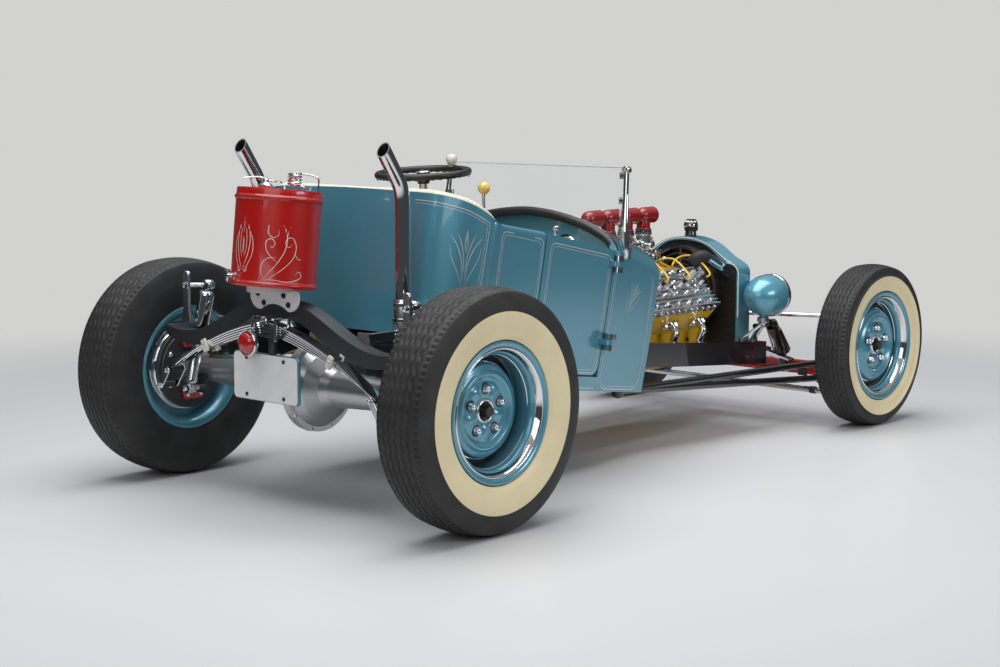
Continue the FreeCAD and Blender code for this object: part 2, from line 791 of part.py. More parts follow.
def rear_shock():
    """Damper with the polished strut that stands on the crossmember's end, and its lower arm."""
    top = V(REAR_SHOCK_TOP_X, REAR_SHOCK_TOP_Y, REAR_SHOCK_TOP_Z)
    low = V(REAR_SHOCK_LOW_X, REAR_SHOCK_LOW_Y, REAR_SHOCK_LOW_Z)
    parts = shock(top, low)
    seat_y = CROSS_Y - CROSS_DEPTH / 2
    foot_z = CROSS_END_Z - CROSS_END_THICK
    x = REAR_SHOCK_TOP_X + SHOCK_R
    parts.append(block(x, x + SHOCK_PLATE_T, seat_y - SHOCK_PLATE_W, seat_y - FIT,
                       foot_z, REAR_SHOCK_TOP_Z + SHOCK_EYE_R * 2))
    parts.append(block(top.x, x, top.y - SHOCK_PLATE_T, top.y + SHOCK_PLATE_T,
                       REAR_SHOCK_TOP_Z - SHOCK_PLATE_T, REAR_SHOCK_TOP_Z + SHOCK_PLATE_T))
    parts.append(block(x, x + SHOCK_PLATE_T, top.y - SHOCK_PLATE_T, seat_y - FIT,
                       REAR_SHOCK_TOP_Z - SHOCK_EYE_R, REAR_SHOCK_TOP_Z + SHOCK_EYE_R * 2))
    centre = V(REAR_SHOCK_LOW_X, REAR_AXLE_Y + TUBE_R + FIT, REAR_SHOCK_LOW_Z)
    parts.append(rod(low, centre, SHACKLE_R))
    return joined(parts)


save("rear_shocks", pair(rear_shock()))


def front_shock():
    top = V(FRONT_SHOCK_TOP_X, FRONT_SHOCK_TOP_Y, FRONT_SHOCK_TOP_Z)
    beam_face = FRONT_AXLE_Y + AXLE_BEAM_T / 2
    low = V(FRONT_SHOCK_LOW_X, beam_face + FIT + SHOCK_EYE_W / 2 + SHACKLE_R, AXLE_BEAM_Z)
    parts = shock(top, low)
    parts.append(rod(V(low.x, FRONT_AXLE_Y + AXLE_WEB_T / 2 + FIT, low.z), low, SHACKLE_R))
    foot = V(top.x, RAIL_FRONT_Y - FIT, top.z)
    parts.append(rod(top, foot, SHACKLE_R))
    return joined(parts)


save("front_shocks", pair(front_shock()))


def driveline():
    """Gearbox, closed drive-shaft tube and its rear radius rods' ball."""
    start = V(0, ENGINE_REAR_Y + FIT, CRANK_Z)
    bell = start + Y_AXIS * GEARBOX_L * BELL_SHARE
    tail = start + Y_AXIS * GEARBOX_L
    nose = V(0, REAR_AXLE_Y - BANJO_LIP_R - BELL_R - FIT * 4, REAR_TYRE_R)
    return joined([
        taper(start, bell, GEARBOX_R * BELL_MOUTH_SHARE, GEARBOX_R),
        taper(bell, tail, GEARBOX_R, TORQUE_TUBE_R * 2),
        ball(tail, TORQUE_TUBE_R * 2),
        taper(tail, nose, TORQUE_TUBE_R, BELL_R),
    ])


BELL_SHARE = 0.4
BELL_MOUTH_SHARE = 1.3
save("driveline", driveline())


def rear_radius_rod():
    """Locating rod from the axle's tube forward to the drive-shaft tube."""
    tail = V(REAR_BACKING_X - BELL_R * 2, REAR_AXLE_Y - TUBE_R * TUBE_SWELL_SHARE - FIT - SHOCK_EYE_R,
             REAR_TYRE_R)
    nose = V(TORQUE_TUBE_R * NOSE_SHARE + SHOCK_EYE_R + FIT, REAR_ROD_NOSE_Y, CRANK_Z)
    post = Z_AXIS * SHOCK_EYE_R
    return joined([
        rod(nose, tail, REAR_ROD_R),
        rod(nose - post, nose + post, SHOCK_EYE_R),
        rod(tail - post, tail + post, SHOCK_EYE_R),
    ])


TUBE_SWELL_SHARE = 1.08
NOSE_SHARE = 1.21
save("rear_radius_rods", pair(rear_radius_rod()))


def front_axle():
    """Dropped I-beam: flanges and web follow one curve up to the king-pin eyes."""
    wheel_z = FRONT_TYRE_R
    depth = AXLE_BEAM_H / 2

    def band(top, low, thick):
        def line(shift):
            return [
                V(AXLE_EYE_X, FRONT_AXLE_Y, wheel_z + shift),
                V(AXLE_RISE_X, FRONT_AXLE_Y, wheel_z + (shift - depth) * RISE_SHARE),
                V(AXLE_DROP_X, FRONT_AXLE_Y, AXLE_BEAM_Z + shift),
                V(0, FRONT_AXLE_Y, AXLE_BEAM_Z + shift),
            ]

        def whole(points):
            return path_wire(points[:-1] + [V(-p.x, p.y, p.z) for p in reversed(points[:-1])],
                             depth).Edges
        upper = line(top)
        lower = line(low)
        ends = [
            Part.makeLine(upper[0], lower[0]),
            Part.makeLine(V(-upper[0].x, upper[0].y, upper[0].z), V(-lower[0].x, lower[0].y, lower[0].z)),
        ]
        wire = Part.Wire(Part.__sortEdges__(whole(upper) + whole(lower) + ends))
        solid = Part.Face(wire).extrude(V(0, thick, 0))
        solid.translate(V(0, -thick / 2, 0))
        return solid

    beam = [
        band(depth, depth - AXLE_FLANGE_T, AXLE_BEAM_T),
        band(depth, -depth, AXLE_WEB_T),
        band(-depth + AXLE_FLANGE_T, -depth, AXLE_BEAM_T),
    ]
    for side in (1, -1):
        eye = V(side * AXLE_EYE_X, FRONT_AXLE_Y, wheel_z - AXLE_EYE_H / 2)
        beam.append(rod(eye, eye + Z_AXIS * AXLE_EYE_H, AXLE_EYE_R))
    solid = joined(beam)
    for side in (1, -1):
        foot = V(side * AXLE_EYE_X, FRONT_AXLE_Y, 0)
        solid = solid.cut(rod(foot, foot + Z_AXIS * OVERRUN * 2, KING_PIN_R + FIT))
    return solid


RISE_SHARE = 0.86
save("front_axle", front_axle())


def front_spring():
    y = FRONT_SPRING_Y
    leaves = leaf_pack(y, FRONT_SPRING_HALF, FRONT_SPRING_Z, FRONT_SPRING_END_Z,
                       FRONT_SPRING_W, FRONT_SPRING_LEAF, FRONT_SPRING_LEAVES)
    return joined([leaves] + shackles(y, FRONT_SPRING_HALF, FRONT_SPRING_END_Z, FRONT_SPRING_W))


save("front_spring", front_spring())


def hairpin():
    """Split radius rod: two arms of one tube that meet at the rail's bracket."""
    y_face = FRONT_AXLE_Y + AXLE_BEAM_T / 2 + FIT
    rear = V(HAIRPIN_REAR_X, HAIRPIN_REAR_Y, HAIRPIN_REAR_Z)
    parts = [ball(rear, HAIRPIN_R * 2)]
    for lift in (HAIRPIN_SPREAD / 2, -HAIRPIN_SPREAD / 2):
        tip = V(HAIRPIN_FRONT_X, y_face, AXLE_BEAM_Z + lift)
        parts.append(rod(rear, tip + Y_AXIS * HAIRPIN_R, HAIRPIN_R))
        parts.append(rod(tip, tip + Y_AXIS * HAIRPIN_R * 2, HAIRPIN_R * 2 * EYE_SHARE))
    gusset_y = FRONT_SPRING_Y - FRONT_SPRING_W / 2 - SHACKLE_R - FIT
    gusset_x = HAIRPIN_FRONT_X - HAIRPIN_R / 2
    parts.append(block(gusset_x - HAIRPIN_R * 3, gusset_x, gusset_y - AXLE_WEB_T / 2, gusset_y,
                       AXLE_BEAM_Z - HAIRPIN_R, AXLE_BEAM_Z + HAIRPIN_SPREAD / 2))
    low = rail_top(HAIRPIN_REAR_Y - SHOCK_PLATE_W / 2) - RAIL_H - FIT
    parts.append(block(HAIRPIN_REAR_X - SHOCK_PLATE_T, HAIRPIN_REAR_X + SHOCK_PLATE_T,
                       HAIRPIN_REAR_Y - SHOCK_PLATE_W / 2, HAIRPIN_REAR_Y + SHOCK_PLATE_W / 2,
                       HAIRPIN_REAR_Z, low))
    return joined(parts)


EYE_SHARE = 0.7
save("front_radius_rods", pair(hairpin()))

FRONT_HUB_X = FRONT_TRACK / 2 + FRONT_RIM_W / 2 - FRONT_FACE_IN
FRONT_BACKING_X = FRONT_HUB_X - DISC_WALL - DRUM_W - FIT - RUN_GAP


def knuckle(side):
    """Yoke round the axle's eye with king pin, spindle, backing plate and steering arm."""
    pin_x = side * AXLE_EYE_X
    y = FRONT_AXLE_Y
    z = FRONT_TYRE_R
    half = AXLE_EYE_H / 2 + FIT
    parts = [rod(V(pin_x, y, z - half - YOKE_T), V(pin_x, y, z + half + YOKE_T), KING_PIN_R)]
    for low in (z - half - YOKE_T, z + half):
        parts.append(rod(V(pin_x, y, low), V(pin_x, y, low + YOKE_T), YOKE_W / 2))
        ends = sorted((pin_x, side * FRONT_BACKING_X))
        parts.append(block(ends[0], ends[1], y - YOKE_W / 2, y + YOKE_W / 2, low, low + YOKE_T))
    plate = side * FRONT_BACKING_X
    parts.append(rod(V(plate - side * BACKING_T, y, z), V(plate, y, z), BACKING_R))
    parts.append(rod(V(plate - side * BACKING_T, y, z),
                     V(side * (FRONT_HUB_X - DISC_WALL - DRUM_WALL - FIT), y, z), SPINDLE_R))
    low = V(pin_x, y, z - half - YOKE_T / 2)
    knee = V(pin_x, y + STEER_ARM_L * KNEE_SHARE, STEER_ARM_Z + BALL_END_H / 2)
    eye = V(pin_x, y + STEER_ARM_L, STEER_ARM_Z + BALL_END_H / 2)
    parts.append(rod(low, knee, STEER_ARM_R))
    parts.append(ball(knee, STEER_ARM_R))
    parts.append(rod(knee, eye, STEER_ARM_R))
    parts.append(rod(eye - Z_AXIS * STEER_ARM_R, eye + Z_AXIS * STEER_ARM_R, BALL_END_R))
    if side < 0:
        high = V(pin_x, y, z + half + YOKE_T)
        drag_eye = high + V(0, -DRAG_ARM_L, STEER_ARM_R)
        parts.append(rod(high, high + Z_AXIS * STEER_ARM_R * 2, YOKE_W / 2))
        parts.append(rod(high + Z_AXIS * STEER_ARM_R, drag_eye, STEER_ARM_R))
        parts.append(rod(drag_eye - Z_AXIS * STEER_ARM_R, drag_eye + Z_AXIS * STEER_ARM_R, BALL_END_R))
    return joined(parts)


KNEE_SHARE = 0.5
save("knuckle_left", knuckle(1))
save("knuckle_right", knuckle(-1))


def link(first, second, radius):
    """Rod with a ball socket below each of two eyes."""
    parts = [rod(first, second, radius)]
    for spot in (first, second):
        parts.append(rod(spot - Z_AXIS * BALL_END_H / 2, spot + Z_AXIS * BALL_END_H / 2, BALL_END_R))
    return joined(parts)


arm_low = STEER_ARM_Z + BALL_END_H / 2 - STEER_ARM_R
tie_z = arm_low - FIT - BALL_END_H / 2
save("tie_rod", link(V(AXLE_EYE_X, FRONT_AXLE_Y + STEER_ARM_L, tie_z),
                     V(-AXLE_EYE_X, FRONT_AXLE_Y + STEER_ARM_L, tie_z), TIE_ROD_R))

drag_y = FRONT_AXLE_Y - DRAG_ARM_L
drag_arm_z = FRONT_TYRE_R + AXLE_EYE_H / 2 + FIT + YOKE_T + STEER_ARM_R
drag_z = drag_arm_z + STEER_ARM_R + FIT + BALL_END_H / 2
PITMAN_EYE = V(PITMAN_X, RAIL_FRONT_Y - PITMAN_OUT - DRAG_ARM_L, drag_arm_z)
save("drag_link", link(V(-AXLE_EYE_X, drag_y, drag_z),
                       V(PITMAN_EYE.x, PITMAN_EYE.y, drag_z), DRAG_LINK_R))


def pitman():
    """Arm on the steering box's shaft, parallel to the right knuckle's upper arm."""
    hub = PITMAN_EYE + Y_AXIS * DRAG_ARM_L
    thick = Z_AXIS * STEER_ARM_R
    return joined([
        rod(PITMAN_EYE - thick, PITMAN_EYE + thick, BALL_END_R),
        rod(hub - thick, hub + thick, BALL_END_R),
        rod(PITMAN_EYE, hub, STEER_ARM_R),
    ])


save("pitman_arm", pitman())


def steering_box():
    """Cast box on the front crossmember, its output shaft upright below the pitman arm."""
    hub = PITMAN_EYE + Y_AXIS * DRAG_ARM_L
    seat_y = RAIL_FRONT_Y + FRONT_CROSS_L / 2 - FIT
    top = drag_arm_z - STEER_ARM_R - FIT
    low = rail_top(RAIL_FRONT_Y + FRONT_CROSS_L) - FRONT_CROSS_H
    body = rod(V(hub.x, hub.y, low), V(hub.x, hub.y, top), BALL_END_R * 2)
    foot = block(hub.x - BALL_END_R * 2, hub.x + BALL_END_R * 2, hub.y, seat_y,
                 low, low + FRONT_CROSS_H / 2)
    worm = rod(V(hub.x - FRONT_CROSS_L, hub.y, low + BALL_END_R * 2),
               V(hub.x + FRONT_CROSS_L, hub.y, low + BALL_END_R * 2), BALL_END_R * 2 * EYE_SHARE)
    return joined([body, foot, worm])


save("steering_box", steering_box())


def body_placed(shape):
    """From the body's own frame (x, s, h) into the car's."""
    made = shape.copy()
    turn = FreeCAD.Rotation(X_AXIS, BODY_RAKE)
    made.Placement = FreeCAD.Placement(V(0, BODY_FRONT_Y, BODY_LOW_Z), turn).multiply(made.Placement)
    return made


def in_car(x, s, h):
    turn = FreeCAD.Rotation(X_AXIS, BODY_RAKE)
    return V(0, BODY_FRONT_Y, BODY_LOW_Z) + turn.multVec(V(x, s, h))


TOP_OVER = BACK_H + CORNER_HALF


def plan(height, inset, tuck):
    """The body's outline seen from above at one height, drawn in by inset and tuck."""
    lost = inset + tuck
    side = [
        V(COWL_HALF - lost, 0, height),
        V(DASH_HALF - lost, COWL_L, height),
        V(DOOR_REAR_HALF - lost, DOOR_REAR_S, height),
        V(CORNER_HALF - lost, CORNER_S, height),
    ]
    back = BACK_S - inset - tuck / 2
    deep = back - CORNER_S
    wide = CORNER_HALF - lost
    rear = [
        V(wide, CORNER_S, height),
        V(wide * REAR_X_SHARES[0], CORNER_S + deep * REAR_S_SHARES[0], height),
        V(wide * REAR_X_SHARES[1], CORNER_S + deep * REAR_S_SHARES[1], height),
        V(wide * REAR_X_SHARES[2], CORNER_S + deep * REAR_S_SHARES[2], height),
        V(0, back, height),
    ]
    whole_rear = rear + [V(-p.x, p.y, p.z) for p in reversed(rear[:-1])]
    left = smooth(side)
    right = smooth([V(-p.x, p.y, p.z) for p in side])
    return Part.Wire([
        Part.makeLine(V(-side[0].x, 0, height), side[0]),
        left,
        smooth(whole_rear),
        right,
    ])


REAR_X_SHARES = (0.965, 0.86, 0.5)
REAR_S_SHARES = (0.36, 0.7, 0.93)


def shell_solid(inset):
    """Everything inside the body's sides and back, drawn in by inset."""
    return Part.makeLoft([
        plan(-BODY_WALL, inset, BODY_TUCK),
        plan(COWL_SPRING_H * TUCK_SHARE, inset, BODY_TUCK * TUCK_SHARE / 2),
        plan(TOP_OVER, inset, 0),
    ], True, False)


TUCK_SHARE = 0.6


def slab(points):
    """A prism across the whole body from an outline in (s, h)."""
    face = face_of([V(-OVERRUN * 2, s, h) for s, h in points])
    return face.extrude(X_AXIS * OVERRUN * 4)


def edge_slab(curve, s_start, s_end, far_h):
    """A prism across the body between a curved edge and a level far from it."""
    points = [V(-OVERRUN * 2, s, h) for s, h in curve]
    wire = Part.Wire([
        Part.makeLine(V(-OVERRUN * 2, s_start, far_h), points[0]),
        smooth(points),
        Part.makeLine(points[-1], V(-OVERRUN * 2, s_end, far_h)),
        Part.makeLine(V(-OVERRUN * 2, s_end, far_h), V(-OVERRUN * 2, s_start, far_h)),
    ])
    return Part.Face(wire).extrude(X_AXIS * OVERRUN * 4)


def arch(s, spring_half, spring_h, crown_h, inset):
    """The cowl's upper outline at one station, closed below."""
    half = spring_half - inset
    rise = crown_h - inset - spring_h
    points = []
    for number in range(ARCH_STEPS + 1):
        turn = math.pi * number / ARCH_STEPS
        along = math.cos(turn)
        up = math.sin(turn)
        x = half * math.copysign(abs(along) ** ARCH_POWER_SHARE, along)
        points.append(V(x, s, spring_h + rise * up ** ARCH_POWER_SHARE))
    return Part.Wire([
        smooth(points),
        Part.makeLine(points[-1], V(-half, s, -OVERRUN)),
        Part.makeLine(V(-half, s, -OVERRUN), V(half, s, -OVERRUN)),
        Part.makeLine(V(half, s, -OVERRUN), points[0]),
    ])


ARCH_STEPS = 12
ARCH_POWER_SHARE = 1.18


def cowl_solid(inset, s_end):
    over = BODY_WALL * 2
    ahead = arch(-over, COWL_HALF - over * FLARE_SHARE, COWL_SPRING_H, COWL_CROWN_H, inset)
    middle = arch(COWL_L, DASH_HALF, DASH_SPRING_H, DASH_CROWN_H, inset)
    rear = arch(s_end, DASH_HALF + (s_end - COWL_L) * FLARE_SHARE, DASH_SPRING_H, DASH_CROWN_H, inset)
    return Part.makeLoft([ahead, middle], True, True).fuse(Part.makeLoft([middle, rear], True, True))


FLARE_SHARE = 0.13


def make_cowl():
    """Cowl with its crowned top, open at the firewall and the dash; sills run back below the doors."""
    outer = shell_solid(0).common(cowl_solid(0, DOOR_FRONT_S))
    inner = shell_solid(BODY_WALL).common(cowl_solid(BODY_WALL, DOOR_FRONT_S))
    keep = slab([(0, 0), (DOOR_FRONT_S - DOOR_GAP, 0),
                 (DOOR_FRONT_S - DOOR_GAP, DOOR_FRONT_H), (COWL_L, DASH_CROWN_H), (0, DASH_CROWN_H)])
    shell = outer.cut(inner).common(keep)
    shell = shell.cut(slab([(-BODY_WALL, -BODY_WALL), (DOOR_FRONT_S, -BODY_WALL),
                            (DOOR_FRONT_S, 0), (-BODY_WALL, 0)]))
    return shell


def rim_line(lift):
    return [
        (DOOR_REAR_S, DOOR_REAR_H + lift),
        (QUARTER_S, QUARTER_H + lift),
        (CORNER_S, CORNER_H + lift),
        ((CORNER_S + BACK_S) / 2, (CORNER_H + BACK_H) / 2 + lift + RIM_SWELL),
        (BACK_S, BACK_H + lift),
    ]



def kick_line():
    return [
        (KICK_START_S, 0),
        (KICK_START_S + (KICK_END_S - KICK_START_S) * KICK_SHARES[0], BACK_LOW_H * KICK_SHARES[1]),
        (KICK_START_S + (KICK_END_S - KICK_START_S) * KICK_SHARES[2], BACK_LOW_H * KICK_SHARES[3]),
        (KICK_END_S, BACK_LOW_H),
    ]


KICK_SHARES = (0.3, 0.12, 0.7, 0.88)


def make_rear_body():
    """Quarter panels and back in one curved wall, with the sills below the doors."""
    wall = shell_solid(0).cut(shell_solid(BODY_WALL))
    keep = slab([(DOOR_REAR_S + DOOR_GAP, 0), (BACK_S + OVERRUN, 0),
                 (BACK_S + OVERRUN, TOP_OVER), (DOOR_REAR_S + DOOR_GAP, TOP_OVER)])
    sill = slab([(DOOR_FRONT_S - DOOR_GAP, 0), (DOOR_REAR_S + DOOR_GAP, 0),
                 (DOOR_REAR_S + DOOR_GAP, SILL_H), (DOOR_FRONT_S - DOOR_GAP, SILL_H)])
    body = wall.common(keep.fuse(sill).removeSplitter())
    over = edge_slab(rim_line(0) + [(BACK_S + OVERRUN, BACK_H)], DOOR_REAR_S, BACK_S + OVERRUN, TOP_OVER)
    under = edge_slab(kick_line(), KICK_START_S, KICK_END_S, -OVERRUN)
    behind = slab([(KICK_END_S, -OVERRUN), (BACK_S + OVERRUN, -OVERRUN),
                   (BACK_S + OVERRUN, BACK_LOW_H), (KICK_END_S, BACK_LOW_H)])
    return body.cut(over).cut(under).cut(behind)


def door_outline(gap):
    """Side view of a door with its rounded lower corners."""
    front = DOOR_FRONT_S + gap
    rear = DOOR_REAR_S - gap
    low = SILL_H + DOOR_GAP + gap
    curve = DOOR_CURVE_R
    near = (1 - math.sin(math.pi / 4)) * curve
    x = -OVERRUN * 2
    edges = [
        Part.makeLine(V(x, front, TOP_OVER), V(x, front, low + curve)),
        Part.Arc(V(x, front, low + curve), V(x, front + near, low + near),
                 V(x, front + curve, low)).toShape(),
        Part.makeLine(V(x, front + curve, low), V(x, rear - curve, low)),
        Part.Arc(V(x, rear - curve, low), V(x, rear - near, low + near),
                 V(x, rear, low + curve)).toShape(),
        Part.makeLine(V(x, rear, low + curve), V(x, rear, TOP_OVER)),
        Part.makeLine(V(x, rear, TOP_OVER), V(x, front, TOP_OVER)),
    ]
    return Part.Face(Part.Wire(edges)).extrude(X_AXIS * OVERRUN * 4)


def make_doors():
    wall = shell_solid(0).cut(shell_solid(DOOR_T))
    top = slab([(DOOR_FRONT_S - OVERRUN, DOOR_FRONT_H - OVERRUN * DOOR_RISE), (DOOR_FRONT_S, DOOR_FRONT_H),
                (DOOR_REAR_S, DOOR_REAR_H), (DOOR_REAR_S + OVERRUN, DOOR_REAR_H + OVERRUN * DOOR_RISE),
                (DOOR_REAR_S + OVERRUN, TOP_OVER * 2), (DOOR_FRONT_S - OVERRUN, TOP_OVER * 2)])
    both = wall.common(door_outline(0)).cut(top)
    return sorted(both.Solids, key=lambda solid: solid.CenterOfMass.x)


DOOR_RISE = (DOOR_REAR_H - DOOR_FRONT_H) / (DOOR_REAR_S - DOOR_FRONT_S)


def hinge_leaf(low, s_near, s_far):
    """One knuckle of a left door's hinge, its leaf running into the skin."""
    barrel = rod(V(HINGE_X, DOOR_FRONT_S, low), V(HINGE_X, DOOR_FRONT_S, low + HINGE_L), HINGE_R)
    leaf = block(HINGE_X - HINGE_LEAF_DEPTH, HINGE_X - HINGE_R / 2, s_near, s_far, low, low + HINGE_L)
    web = block(HINGE_X - HINGE_R / 2, HINGE_X + HINGE_LEAF_T / 2, s_near, s_far, low, low + HINGE_L)
    return joined([barrel, leaf, web])


def body_hinges():
    """Both hinges' outer knuckles with the pin between them, seated on the cowl's side."""
    hinges = []
    near = DOOR_FRONT_S - DOOR_GAP - HINGE_LEAF_REACH
    far = DOOR_FRONT_S - DOOR_GAP
    for low in (HINGE_LOW_H, HINGE_HIGH_H):
        high = low + (HINGE_L + FIT) * 2
        pin = rod(V(HINGE_X, DOOR_FRONT_S, low), V(HINGE_X, DOOR_FRONT_S, high + HINGE_L), HINGE_PIN_R)
        hinge = joined([hinge_leaf(low, near, far), pin, hinge_leaf(high, near, far)]).cut(cowl_shape)
        hinges += [hinge, mirrored(hinge)]
    return hinges


def door_knuckles():
    """Middle knuckles of a left door, bored for the pins and grown from the door's skin."""
    near = DOOR_FRONT_S + DOOR_GAP
    made = []
    for low in (HINGE_LOW_H, HINGE_HIGH_H):
        leaf = hinge_leaf(low + HINGE_L + FIT, near, near + HINGE_LEAF_REACH)
        bore = rod(V(HINGE_X, DOOR_FRONT_S, low), V(HINGE_X, DOOR_FRONT_S, low + HINGE_L * 3),
                   HINGE_PIN_R + HINGE_PIN_FIT)
        made.append(leaf.cut(bore).cut(cowl_inner))
    return made


cowl_inner = shell_solid(BODY_WALL / 2)
cowl_shape = make_cowl()
save("cowl", body_placed(cowl_shape))
save("door_hinges", body_placed(Part.makeCompound(body_hinges())))
save("rear_body", body_placed(make_rear_body()))
door_right, door_left = make_doors()
leaves = door_knuckles()
save("door_left", body_placed(joined([door_left] + leaves)))
save("door_right", body_placed(joined([door_right] + [mirrored(part) for part in leaves])))


def tunnel(grow):
    """Half-round space over the gearbox, from ahead of the firewall into the cabin."""
    radius = GEARBOX_R + TUNNEL_GAP + grow
    start = V(0, BODY_FRONT_Y, CRANK_Z)
    return rod(start, start + Y_AXIS * (FIREWALL_S + TUNNEL_L + grow), radius)


def floor_pan():
    """Flat floor above the rails, with a half-round cover over the gearbox."""
    area = shell_solid(BODY_WALL + FIT)
    flat = body_placed(area.common(slab([
        (FIREWALL_S + FIREWALL_T, FLOOR_H), (BACK_S, FLOOR_H),
        (BACK_S, FLOOR_H + FLOOR_T), (FIREWALL_S + FIREWALL_T, FLOOR_H + FLOOR_T)])))
    above = body_placed(slab([
        (FIREWALL_S + FIREWALL_T, FLOOR_H), (BACK_S, FLOOR_H),
        (BACK_S, DASH_CROWN_H), (FIREWALL_S + FIREWALL_T, DASH_CROWN_H)]))
    cover = tunnel(FLOOR_T).common(above)
    beside = slab([(DOOR_FRONT_S - RUN_GAP, 0), (DOOR_REAR_S + RUN_GAP, 0),
                   (DOOR_REAR_S + RUN_GAP, DASH_CROWN_H), (DOOR_FRONT_S - RUN_GAP, DASH_CROWN_H)])
    beside = body_placed(beside.cut(shell_solid(DOOR_T + RUN_GAP)))
    return flat.cut(beside).fuse(cover).cut(tunnel(0)).removeSplitter()


def firewall():
    """Flat panel across the cowl above the rails, cut away round the gearbox."""
    area = shell_solid(BODY_WALL + FIT).common(cowl_solid(BODY_WALL + FIT, DOOR_FRONT_S))
    panel = area.common(slab([(FIREWALL_S, FLOOR_H), (FIREWALL_S + FIREWALL_T - FIT, FLOOR_H),
                              (FIREWALL_S + FIREWALL_T - FIT, DASH_CROWN_H), (FIREWALL_S, DASH_CROWN_H)]))
    bell = rod(V(0, ENGINE_REAR_Y, CRANK_Z), V(0, BODY_FRONT_Y + TUNNEL_L, CRANK_Z),
               GEARBOX_R * BELL_MOUTH_SHARE + TUNNEL_GAP)
    return body_placed(panel).cut(bell)


def dashboard():
    """Instrument panel hung under the cowl's rear edge, with a padded roll along it."""
    area = shell_solid(BODY_WALL + FIT).common(cowl_solid(BODY_WALL + FIT, DOOR_FRONT_S))
    front = COWL_L - DASH_T * 2
    low = DASH_SPRING_H - DASH_H
    panel = area.common(slab([(front, low), (front + DASH_T, low),
                              (front + DASH_T, DASH_CROWN_H), (front, DASH_CROWN_H)]))
    half = DASH_HALF + (DASH_ROLL_R + FIT) * FLARE_SHARE
    line = arch(COWL_L + DASH_ROLL_R + FIT, half, DASH_SPRING_H, DASH_CROWN_H, DASH_ROLL_R)
    crown = line.Edges[0]
    start = crown.valueAt(crown.FirstParameter)
    way = crown.tangentAt(crown.FirstParameter)
    ring = Part.Wire(Part.makeCircle(DASH_ROLL_R, start, way))
    roll = Part.Wire([crown]).makePipeShell([ring], True, False)
    return Part.makeCompound([panel, roll.cut(cowl_shape)])


def seat_cushion():
    area = shell_solid(BODY_WALL + FIT * 2)
    low = FLOOR_H + FLOOR_T + FIT
    return area.common(slab([(SEAT_FRONT_S, low), (SEAT_REAR_S - FIT, low),
                             (SEAT_REAR_S - FIT, low + SEAT_T), (SEAT_FRONT_S, low + SEAT_T)])).common(
        block(-SEAT_HALF, SEAT_HALF, SEAT_FRONT_S, SEAT_REAR_S, 0, TOP_OVER))


def seat_back():
    """Upright backrest that rises to the cockpit's rear rim."""
    area = shell_solid(BODY_WALL + FIT * 2).common(edge_slab(rim_line(ROLL_R), DOOR_REAR_S, BACK_S, 0))
    low = FLOOR_H + FLOOR_T + FIT
    lean = BACKREST_T * LEAN_SHARE
    return area.common(slab([(SEAT_REAR_S, low), (SEAT_REAR_S + BACKREST_T, low),
                             (SEAT_REAR_S + BACKREST_T + lean, BACK_H + ROLL_R),
                             (SEAT_REAR_S + lean, BACK_H + ROLL_R)]))


LEAN_SHARE = 0.5

floor_shape = floor_pan()
save("floor_pan", floor_shape)
save("firewall", firewall())
save("dashboard", body_placed(dashboard()))
save("seat_cushion", body_placed(seat_cushion()))
save("seat_back", body_placed(seat_back()))


def windscreen_glass():
    """One frameless pane that follows the cowl's crown at its lower edge."""
    lower = arch(GLASS_S, DASH_HALF, DASH_SPRING_H, DASH_CROWN_H, -FIT).Edges[0]
    face = face_of([V(-GLASS_HALF, GLASS_S, GLASS_LOW_H), V(GLASS_HALF, GLASS_S, GLASS_LOW_H),
                    V(GLASS_HALF, GLASS_S, GLASS_TOP_H), V(-GLASS_HALF, GLASS_S, GLASS_TOP_H)])
    pane = face.extrude(V(0, GLASS_T, 0))
    ends = [lower.valueAt(lower.FirstParameter), lower.valueAt(lower.LastParameter)]
    under = Part.Face(Part.Wire([lower, Part.makeLine(ends[1], V(ends[1].x, GLASS_S, 0)),
                                 Part.makeLine(V(ends[1].x, GLASS_S, 0), V(ends[0].x, GLASS_S, 0)),
                                 Part.makeLine(V(ends[0].x, GLASS_S, 0), ends[0])]))
    return pane.cut(under.extrude(V(0, GLASS_T, 0)))


def windscreen_post():
    """Polished post outside the cowl: a long foot that tapers, and a clamp at the pane's corner."""
    foot = V(DASH_HALF + POST_R * POST_FOOT_SHARE, GLASS_S - POST_R, DASH_SPRING_H - POST_R * 3)
    waist = V(GLASS_HALF + POST_R + FIT, GLASS_S + GLASS_T / 2, GLASS_LOW_H)
    top = V(GLASS_HALF + POST_R + FIT, GLASS_S + GLASS_T / 2, GLASS_TOP_H - POST_R)
    return joined([
        ball(foot, POST_R),
        rod(foot, waist, POST_R),
        ball(waist, POST_R),
        rod(waist, top + Z_AXIS * POST_R, POST_R),
    ]).cut(cowl_shape)


POST_FOOT_SHARE = 0.9
save("windscreen_glass", body_placed(windscreen_glass()))
save("windscreen_posts", body_placed(pair(windscreen_post())))


def steering_wheel():
    """Rim, four spokes and hub on the upper shaft, turning about the column's line."""
    hub = V(WHEEL_CENTRE_X, WHEEL_CENTRE_Y, WHEEL_CENTRE_Z)
    drop = Z_AXIS * STEERING_GRIP_R * WHEEL_DISH_SHARE
    rim = Part.makeTorus(STEERING_R, STEERING_GRIP_R)
    parts = [rim, rod(-drop, Z_AXIS * STEERING_GRIP_R, COLUMN_R * HUB_SHARE)]
    for number in range(SPOKES):
        turn = 2 * math.pi * number / SPOKES
        way = V(math.cos(turn), math.sin(turn), 0)
        parts.append(rod(-drop / 2 + way * COLUMN_R, way * STEERING_R, STEERING_GRIP_R * SPOKE_SHARE))
    made = joined(parts)
    made.Placement = FreeCAD.Placement(hub, FreeCAD.Rotation(X_AXIS, STEERING_TILT))
    return made


